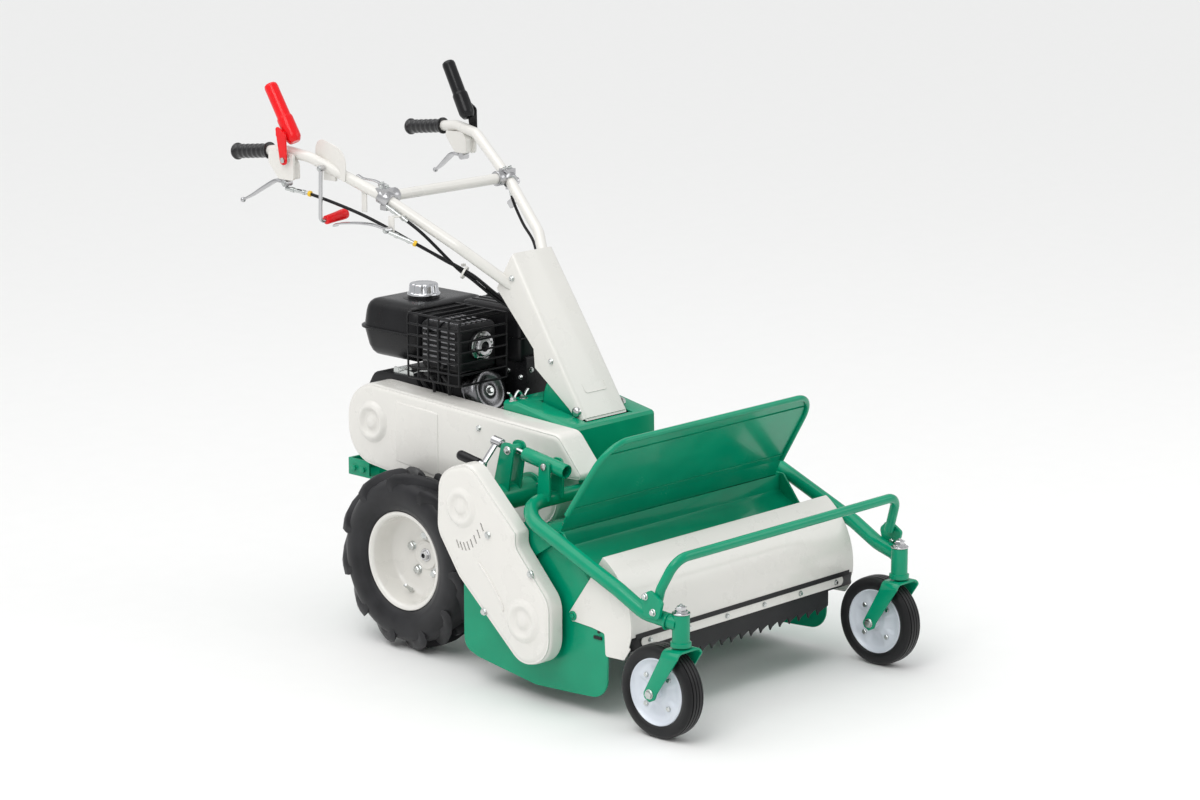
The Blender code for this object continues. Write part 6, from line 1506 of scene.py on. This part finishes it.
# %% Side levers
for side_name, s in SIDES:
    body, node = "side_lever_" + side_name, "side_clutch_lever_" + side_name
    root = Vector((s * (HANDLE_X + 0.006), 0.385, 1.0176))
    tip = Vector((s * (HANDLE_X + 0.031), 0.509, 0.968))
    route = smooth_route([root, root + Vector((0, 0.034, 0.002)),
                          root + Vector((s * 0.008, 0.064, -0.014)),
                          root + Vector((s * 0.018, 0.098, -0.036)), tip], 29)
    sizes = [1.05, 1.35, 1.25, 1.00, 0.70]
    grow = [sizes[i // 7] * (1 - (i % 7) / 7) + sizes[i // 7 + 1] * ((i % 7) / 7)
            for i in range(28)] + [sizes[-1]]
    ball = turned([(-0.0062, 0), (-0.0058, 0.0024), (-0.0044, 0.0045), (-0.0022, 0.0059),
                   (0, 0.0062), (0.0022, 0.0059), (0.0044, 0.0045), (0.0058, 0.0024),
                   (0.0062, 0)], tip, "y", 28)
    barrel = rod(root - Vector((0.010, 0, 0)), root + Vector((0.010, 0, 0)), 0.0085, 32)
    put(node + "_forging", merged(swept(route, strap(0.0145, 0.0060, 0.0024), (1, 0, 0), grow),
                                  ball, barrel), "cast_alloy", body, node, soft=0.0004, angle=50)
    put(node + "_pin", hex_bolt(root + Vector((s * 0.010, 0, 0)), (s, 0, 0), 0.0095, 0.0035), ZINC,
        body)
print("side levers done")

# %% Crossbar clamps
for side_name, s in SIDES:
    way = Vector((s * 0.329, 0.830, 0.445)).normalized()
    seat = Vector((s * 0.195, 0.151, 0.999))
    ring = [(-0.015, TUBE_R - 0.001), (-0.015, 0.0165), (-0.0135, 0.0180), (0.0135, 0.0180),
            (0.015, 0.0165), (0.015, TUBE_R - 0.001)]
    socket = [(0, TUBE_R - 0.001), (0, 0.0165), (0.0015, 0.0176), (0.016, 0.0176), (0.021, 0.0160),
              (0.024, 0.0)]
    shapes = [turned(ring, seat, way, 40), turned(socket, (s * 0.158, 0.156, 1.001), (s, 0, 0), 40)]
    lug = seat + Vector((s * 0.004, -0.002, -0.021))
    shapes.append(box((lug.x - 0.006, lug.y - 0.010, lug.z - 0.006),
                      (lug.x + 0.006, lug.y + 0.010, lug.z + 0.006)))
    cap = seat + Vector((0, 0.004, 0.0165))
    shapes.append(box((cap.x - 0.0150, cap.y - 0.0130, cap.z - 0.0080),
                      (cap.x + 0.0150, cap.y + 0.0130, cap.z + 0.0060)))
    pair = [hex_bolt(cap + Vector((d * 0.0085, 0, 0.0060)), (0, 0, 1), 0.0085, 0.0048, 0.0062)
            for d in (-1, 1)]
    put("clamp_screws_" + side_name, merged(*pair), ZINC, "handle")
    put("crossbar_clamp_" + side_name, merged(*shapes), "cast_alloy", "handle", soft=0.0008,
        angle=50)
    put("clamp_bolt_" + side_name,
        hex_bolt(lug + Vector((0, -0.010, 0)), (0, -1, 0), 0.0085, 0.0040), ZINC, "handle")
print("clamps done")

# %% [markdown]
# The gear stick hangs from the guide plate and ends in a red knob. The throttle is a
# bent strip on a friction pivot, the brake is a long blade, and the lock on the other
# tube is a short catch. All are thin plated metal, so their sections have eased corners
# that show a bright line.

# %% Gear stick
axis = Vector((-0.2690, 0.283, 1.060))
knee = Vector((axis.x, axis.y + 0.004, 0.938))
stick = fillet([axis + Vector((0, 0, 0.004)), knee, knee + Vector((0.030, 0, 0.004))], 0.010, 10)
boss = rod(axis + Vector((-0.0055, 0, 0)), axis + Vector((0.0079, 0, 0)), 0.007, 28)
put("stick_rod", merged(swept(stick, circle(0.0045, 20)), boss), "bright_steel", "shift_lever",
    "shift_lever", angle=50)
put("stick_bolt", hex_bolt(axis + Vector((-0.0055, 0, 0)), (-1, 0, 0), 0.0090, 0.0030), ZINC,
    "shift_lever")
start = knee + Vector((0.0155, 0, 0.002))
knob = [(0, 0), (0, 0.0088), (0.0012, 0.0102), (0.0100, 0.0106), (0.0300, 0.0112), (0.0480, 0.0123),
        (0.0580, 0.0125), (0.0630, 0.0112), (0.0655, 0.0070), (0.0660, 0)]
put("stick_knob", turned(knob, start, (1, 0, 0.13), 40), "red_paint", "shift_lever", angle=50)
print("gear stick done")

# %% Throttle lever
hub = Vector((-0.177, 0.180, 1.0198))
way = smooth_route([hub + Vector((0, 0, 0.0045)), hub + Vector((-0.006, 0.020, 0.012)),
                    hub + Vector((-0.010, 0.052, 0.014)), hub + Vector((-0.011, 0.070, 0.020))], 22)
disc = turned([(-0.011, 0), (-0.011, 0.0100), (-0.003, 0.0100), (-0.003, 0.0085), (0.001, 0.0085),
               (0.001, 0.0100), (0.0058, 0.0100), (0.0060, 0.0090), (0.0060, 0)], hub, "z", 36)
put("throttle_strip", merged(swept(way, strap(0.009, 0.003), (1, 0, 0)), disc), "bright_steel",
    "throttle", "throttle_lever", angle=50)
put("throttle_nut", hex_bolt(hub + Vector((0, 0, 0.006)), (0, 0, 1), 0.0085, 0.0035, 0.006), ZINC,
    "throttle")
print("throttle done")

# %% Brake and lock levers
pin = Vector((-0.232, 0.105, 0.936))
route = smooth_route([pin, pin + Vector((0, 0.045, 0.006)), pin + Vector((0, 0.100, 0.0045)),
                      pin + Vector((0, 0.160, -0.0040)), pin + Vector((0, 0.176, -0.012))], 25)
grow = [0.85 + 0.65 * sin(pi * min(i / 30, 1)) for i in range(24)] + [0.7]
put("brake_blade", merged(swept(route, strap(0.012, 0.003), (1, 0, 0), grow),
                          rod(pin - Vector((0.009, 0, 0)), pin + Vector((0.009, 0, 0)), 0.007, 28)),
    "bright_steel", "brake_lever", "brake_lever", angle=50)
put("brake_pin", hex_bolt(pin - Vector((0.009, 0, 0)), (-1, 0, 0), 0.0095, 0.0035), ZINC,
    "brake_lever")

far = Vector((0.2228, 0.158, 0.988))
route = smooth_route([far, far + Vector((0.004, 0.004, -0.020)),
                      far + Vector((0.008, 0.012, -0.048)),
                      far + Vector((0.010, 0.030, -0.062))], 19)
put("lock_catch", merged(swept(route, strap(0.018, 0.003), (0, 1, 0),
                               [0.85 + 0.02 * min(i, 12) for i in range(18)] + [0.8]),
                         rod(far - Vector((0.010, 0, 0)), far + Vector((0.008, 0, 0)), 0.009, 28)),
    "bright_steel", "lock_lever", "lock_lever", angle=50)
put("lock_pin", hex_bolt(far + Vector((0.008, 0, 0)), (1, 0, 0), 0.0105, 0.0035), ZINC,
    "lock_lever")
print("brake and lock done")

# %% [markdown]
# Control cables are cords: each is a smooth curve with a round section, and its length
# is the real length of that stretch. Three leave their adjusters on the right-hand side
# and meet in a loom with a white tie round it. The fourth comes from the lock on the
# left. All four end inside the column. A curve object keeps their routes editable.

# %% One cable
def cable(name, points, radius, count):
    line = smooth_route(points, count)
    curve = bpy.data.curves.new(name, "CURVE")
    curve.dimensions = "3D"
    curve.bevel_depth = radius
    curve.bevel_resolution = 4
    curve.use_fill_caps = True
    spline = curve.splines.new("POLY")
    spline.points.add(len(line) - 1)
    for point, here in zip(spline.points, line):
        point.co = (*here, 1)
        point.radius = 1.0
    curve.materials.append(FINISH["black_plastic"])
    piece = stand(name, curve)
    piece.location = TO_MIDDLE
    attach(piece, "handle")
    length = sum((b - a).length for a, b in zip(line, line[1:]))
    print(name, "length", round(length, 3))
    return piece, line, length


# %% Loom and lock cable
LOOM = [(-0.279, 0.380, 1.004), (-0.262, 0.325, 0.996), (-0.214, 0.200, 0.955),
        (-0.160, 0.075, 0.893), (-0.110, -0.030, 0.838), (-0.050, -0.066, 0.780),
        (-0.018, -0.142, 0.746), (-0.012, -0.203, 0.691), (-0.012, -0.243, 0.648)]
LOCK = [(0.206, 0.158, 0.9802), (0.205, 0.146, 0.945), (0.190, 0.100, 0.900), (0.160, 0.035, 0.866),
        (0.105, -0.030, 0.825), (0.050, -0.066, 0.780), (0.018, -0.142, 0.746),
        (0.014, -0.203, 0.691)]
# The second and third strand start at the brake and at the throttle, and join the loom
BRAKE_RUN = [(-0.229, 0.094, 0.929), (-0.196, 0.046, 0.905), (-0.150, 0.005, 0.868)]
THROTTLE_RUN = [(-0.205, 0.128, 0.980), (-0.172, 0.060, 0.928), (-0.126, -0.004, 0.851)]
barrels, rings = [], []
for k, (dx, dz, first) in enumerate(((0.0, 0.0, LOOM[:4]), (0.0085, -0.004, BRAKE_RUN),
                                     (0.003, -0.0105, THROTTLE_RUN))):
    points = [Vector(p) for p in first] + [Vector((x + dx, y, z + dz)) for x, y, z in LOOM[4:]]
    strand, line, length = cable("loom_strand_%d" % (k + 1), points, 0.0038, 120)
    if k == 0:
        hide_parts("cable_loom")
    line[0] + TO_MIDDLE
    reach = next(i for i, p in enumerate(line) if (p - line[0]).length > 0.050)
    way = (line[reach] - line[0]).normalized()
    barrels.append(turned([(-0.004, 0), (-0.004, 0.0048), (0.010, 0.0048), (0.010, 0.0062),
                           (0.018, 0.0062), (0.018, 0.0048), (0.040, 0.0048), (0.040, 0.0060),
                           (0.047, 0.0060), (0.047, 0.0046), (0.056, 0.0044), (0.056, 0)],
                          line[0] - way * 0.004, way, 20))
    if k < 2:
        rings.append(turned([(0.056, 0.0030), (0.056, 0.0062), (0.0575, 0.0068), (0.0615, 0.0068),
                             (0.063, 0.0062), (0.063, 0.0030)], line[0] - way * 0.004, way, 24))
put("adjuster_rings", merged(*rings), YELLOW, "handle")
lock, line, length = cable("lock_strand", LOCK, 0.0035, 110)
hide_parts("lock_cable")
line[0] + TO_MIDDLE
way = (line[4] - line[0]).normalized()
barrels.append(turned([(0, 0), (0, 0.0044), (0.024, 0.0044), (0.025, 0.0038), (0.025, 0)], line[0],
                      way, 20))
put("cable_adjusters", merged(*barrels), ZINC, "handle")
print("cable adjusters", len(barrels))

# %% Tie round the loom
def band(low, high, radius):
    way = Vector(high) - Vector(low)
    n = way.length
    return turned([(0, radius - 0.0022), (0, radius - 0.0004), (0.0004, radius),
                   (n - 0.0004, radius), (n, radius - 0.0004), (n, radius - 0.0022)], low, way, 36)


tie = Vector((-0.1137, -0.014, 0.8407))
along_loom = Vector((0.050, -0.105, -0.055)).normalized()
put("loom_tie", merged(band(tie, tie + along_loom * 0.0050, 0.0150),
                       box(tie + Vector((-0.004, -0.003, 0.0130)),
                           tie + Vector((0.004, 0.004, 0.0190)))), "white_paint", "handle")
print("loom tie done")

# %% [markdown]
# What is left is plate work: the deck's side plates with their bearing housings, the
# shaft tube between the belt covers, the cover in front of the engine and the chassis.
# Bolts and weld beads tell how those plates are held.

# %% Deck plates
side = rounded([(-0.258, 0.225, 0.02), (-0.300, 0.345, 0.04), (-0.365, 0.386, 0.02),
                (-0.556, 0.386, 0.012), (-0.600, 0.330, 0.03), (-0.668, 0.262, 0.03),
                (-0.689, 0.180, 0.02), (-0.686, 0.046, 0.055), (-0.600, 0.040, 0.03),
                (-0.476, 0.034, 0.06), (-0.300, 0.060, 0.03), (-0.258, 0.075, 0.045)], 12)
for side_name, s in SIDES:
    a, b = sorted((s * 0.3553, s * DECK_OUT))
    hub = [(-0.008, 0.0148), (-0.008, 0.0290), (-0.007, 0.0300), (0.0, 0.0340), (0.005, 0.0340),
           (0.0145, 0.0305), (0.0150, 0.0295), (0.0150, 0.0148)]
    seat = (s * 0.3553, ROTOR_Y, ROTOR_Z)
    spacer = turned([(0, 0), (0, 0.0125), (BRACKET_IN - DECK_OUT - 0.0004, 0.0125),
                     (BRACKET_IN - DECK_OUT - 0.0004, 0)], (s * DECK_OUT, FRAME_Y, FRAME_Z),
                    (s, 0, 0), 36)
    put("deck_plate_" + side_name, merged(slab(side, a, b), turned(hub, seat, (s, 0, 0), 48),
                                          spacer), "green_paint", "machine",
        "deck_side_" + side_name, soft=0.0010, angle=40)
    ring = [hex_bolt((s * DECK_OUT, ROTOR_Y + y, ROTOR_Z + z), (s, 0, 0), *BOLT_8)
            for y, z in around(4, 0.046, pi / 4)]
    ring.append(hex_bolt((s * DECK_OUT, -0.478, 0.293), (s, 0, 0), 0.0105, 0.0030, 0.0075))
    put("deck_bolts_" + side_name, merged(*ring), ZINC, "machine")
    bead = [(s * 0.3555, y, z) for y, z in arc((ROTOR_Y, ROTOR_Z), SHELL_R + 0.0015, 20, 84, 40)]
    put("deck_weld_" + side_name, swept(bead, circle(0.0020, 8)), "green_paint", "machine",
        angle=60)
print("deck plates done")

# %% Shaft tube
ears = []
tube = turned([(0.2043, 0.0131), (0.2043, 0.0395), (0.2048, 0.0400), (0.2115, 0.0400),
               (0.2120, 0.0395), (0.2120, 0.0305), (0.2128, 0.0300), (0.3770, 0.0300),
               (0.3775, 0.0295), (0.3775, 0.0131)], (0, COUNTER_Y, COUNTER_Z), (-1, 0, 0), 48)
for x in (JACK_X - 0.0205, JACK_X + 0.0155):
    ear = rounded([(COUNTER_Y + 0.024, COUNTER_Z + 0.016, 0.003),
                   (COUNTER_Y - 0.024, COUNTER_Z + 0.016, 0.003),
                   (TRUNNION.y - 0.020, TRUNNION.z + 0.016, 0.014),
                   (TRUNNION.y + 0.018, TRUNNION.z + 0.016, 0.014)], 8)
    ears.append(slab(ear, x, x + 0.005))
across = Vector((1, 0, 0))
ears.append(rod(TRUNNION - across * 0.0158, TRUNNION + across * 0.0158, 0.0109, 36))
put("shaft_tube", merged(tube, *ears), "green_paint", "machine", "countershaft_housing",
    soft=0.0008, angle=40)
ring = [hex_bolt(TRUNNION + across * (d * 0.0205), (d, 0, 0), 0.013, 0.0045, 0.0095)
        for d in (-1, 1)]
for y, z in around(3, 0.0350, 0.5):
    ring.append(hex_bolt((-0.212, COUNTER_Y + y, COUNTER_Z + z), (-1, 0, 0), 0.0070, 0.0035))
put("shaft_bolts", merged(*ring), ZINC, "machine")
print("shaft tube done")

# %% Axle and chassis
sleeve = [(-0.189, 0), (-0.189, 0.0312), (0.189, 0.0312), (0.189, 0)]
put("axle_sleeve", turned(sleeve, (0, 0, TYRE_R), "x", 48), "drive_case", "machine")
bolts, beads = [], []
for s in (-1, 1):
    for y, z in ((-0.175, 0.400), (-0.270, 0.400), (-0.350, 0.396)):
        bolts.append(hex_bolt((s * 0.132, y, z), (s, 0, 0), *BOLT_6))
    for y in (-0.130, -0.060, 0.060, 0.150, 0.250):
        bolts.append(hex_bolt((s * 0.112, y, 0.3755), (0, 0, 1), *BOLT_8))
    for y in (0.020, 0.070, -0.045):
        bolts.append(hex_bolt((s * 0.0601, y, 0.300), (s, 0, 0), 0.0100, 0.0045))
    beads.append(weld([(s * 0.056, -0.352, 0.3765), (s * 0.056, -0.268, 0.3765)]))
    beads.append(weld([(s * 0.1005, -0.340, 0.3695), (s * 0.1005, 0.280, 0.3695)]))
put("chassis_bolts", merged(*bolts), ZINC, "machine")
put("chassis_welds", merged(*beads), "green_paint", "machine")
lap = [(-0.372 - 0.0016, 0.3765), (-0.150, 0.3765), (-0.150, 0.4300), (-0.362, 0.4300)]
laps = [slab(lap, *sorted((s * 0.1318, s * 0.1336))) for s in (1, -1)]
put("cover_laps", merged(*laps), "green_paint", "machine", soft=0.0005)
for side_name, s in SIDES:
    put("cover_front_bolt_" + side_name, hex_bolt((s * 0.100, -0.3760, 0.392), (0, -1, 0), *BOLT_6),
        ZINC, "machine")
print("plate work done")

# %% [markdown]
# The fan housing and the starter on it are one casting here, because both are black and
# meet without a gap. The air cleaner has pressed ribs and a knob on its lid, and the
# dark duct below it closes the view into the engine from the front.

# %% Starter and air cleaner
fan = rounded([(CRANK_Y + 0.112, 0.3758, 0.03), (CRANK_Y + 0.112, TANK_Z, 0.085),
               (CRANK_Y - 0.115, TANK_Z, 0.085), (CRANK_Y - 0.115, 0.3758, 0.03)], 12)
shell = [(0.145, 0), (0.145, 0.0940), (0.151, 0.0925), (0.164, 0.0905), (0.172, 0.0860),
         (0.1795, 0.0760), (0.1850, 0.0640), (0.1880, 0.0480), (0.1895, 0.0300), (0.1900, 0.0)]
put("starter_shell", merged(slab(fan, 0.0783, 0.150),
                            turned(shell, (0, CRANK_Y, CRANK_Z), "x", 72)), "engine_casting",
    "machine", "fan_housing", soft=0.0015, angle=40)
air = [box((0.0090, -0.0710, 0.6760), (0.1510, CRANK_Y - 0.0690, 0.6790))]
for k in range(5):
    x = 0.034 + 0.023 * k
    air.append(swept([(x, -0.052, 0.7452), (x, 0.108, 0.7452)], circle(0.0042, 10, 0.5), (1, 0, 0)))
put("air_cleaner_ribs", merged(*air), "black_plastic", "machine", angle=60)
duct = rounded([(-0.0780, 0.5080, 0.006), (-0.0780, 0.6350, 0.006), (0.0200, 0.6350, 0.006),
                (0.0200, 0.5080, 0.012)], 5)
put("intake_duct", slab(duct, 0.0200, 0.1480), "black_plastic", "machine", soft=0.0015)
screws = []
for x, z in ((0.034, 0.530), (0.084, 0.530), (0.134, 0.530), (0.034, 0.604), (0.134, 0.604),
             (0.084, 0.578)):
    screws.append(hex_bolt((x, -0.0780, z), (0, -1, 0), *BOLT_5))
for y, z in ((-0.060, 0.586), (-0.020, 0.596)):
    screws.append(hex_bolt((0.0200, y, z), (-1, 0, 0), *BOLT_5))
put("intake_screws", merged(*screws), ZINC, "machine")
clips = [box((0.070, -0.0735, 0.6620), (0.090, -0.0695, 0.6960)),
         turned([(0, 0), (0, 0.0110), (0.0060, 0.0105), (0.0090, 0.0080), (0.0095, 0)],
                (0.080, 0.028, 0.7450), "z", 28)]
put("air_cleaner_clip", merged(*clips), "black_plastic", "machine", soft=0.0008, angle=50)
print("starter and air cleaner done")

# %% [markdown]
# The photograph is a studio picture: one pale sweep, soft light from all round, and a
# shadow only where the wheels touch the floor. Three large lamps, a sun as wide as a
# ceiling of soft boxes and a bright world copy that, and the floor fills the frame.

# %% Floor and light
FLOOR_HALF = 60.0
corners = [(x * FLOOR_HALF, y * FLOOR_HALF, 0) for x, y in ((-1, -1), (1, -1), (1, 1), (-1, 1))]
floor_mesh = bpy.data.meshes.new("floor")
floor_mesh.from_pydata(corners, [], [(0, 1, 2, 3)])
floor = stand("floor", floor_mesh)
floor_mesh.materials.append(finish("studio_floor", (0.86, 0.86, 0.85), 0.62, tint=0.004,
                                   wander=0.02, grain=40, grain_height=0.0))
floor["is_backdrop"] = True

world = bpy.data.worlds.new("studio")
world.use_nodes = True
backdrop = world.node_tree.nodes["Background"]
backdrop.inputs["Color"].default_value = (0.985, 0.99, 1.0, 1)
backdrop.inputs["Strength"].default_value = 0.66
bpy.context.scene.world = world


def lamp(name, place, aim, size, power):
    """A rectangular lamp that faces a point."""
    light = bpy.data.lights.new(name, "AREA")
    light.shape = "RECTANGLE"
    light.size, light.size_y = size
    light.energy = power
    made = stand(name, light)
    made.location = place
    made.rotation_euler = (Vector(aim) - Vector(place)).to_track_quat("-Z", "Y").to_euler()


lamp("key", (-3.0, -1.4, 3.6), (0, 0, 0.5), (2.2, 2.2), 52)
lamp("fill", (2.8, -3.4, 2.8), (0, 0, 0.5), (3.0, 2.4), 30)
lamp("top", (0.4, 1.6, 4.4), (0, 0, 0.4), (3.0, 2.4), 12)
sky = bpy.data.lights.new("sky", "SUN")
sky.energy = 1.25
sky.angle = radians(60)
stand("sky", sky).rotation_euler = (radians(-14), radians(-20), 0)
print("studio ready")

# %% Size, and the end
low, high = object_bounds()
print("size", [round(b - a, 4) for a, b in zip(low, high)])
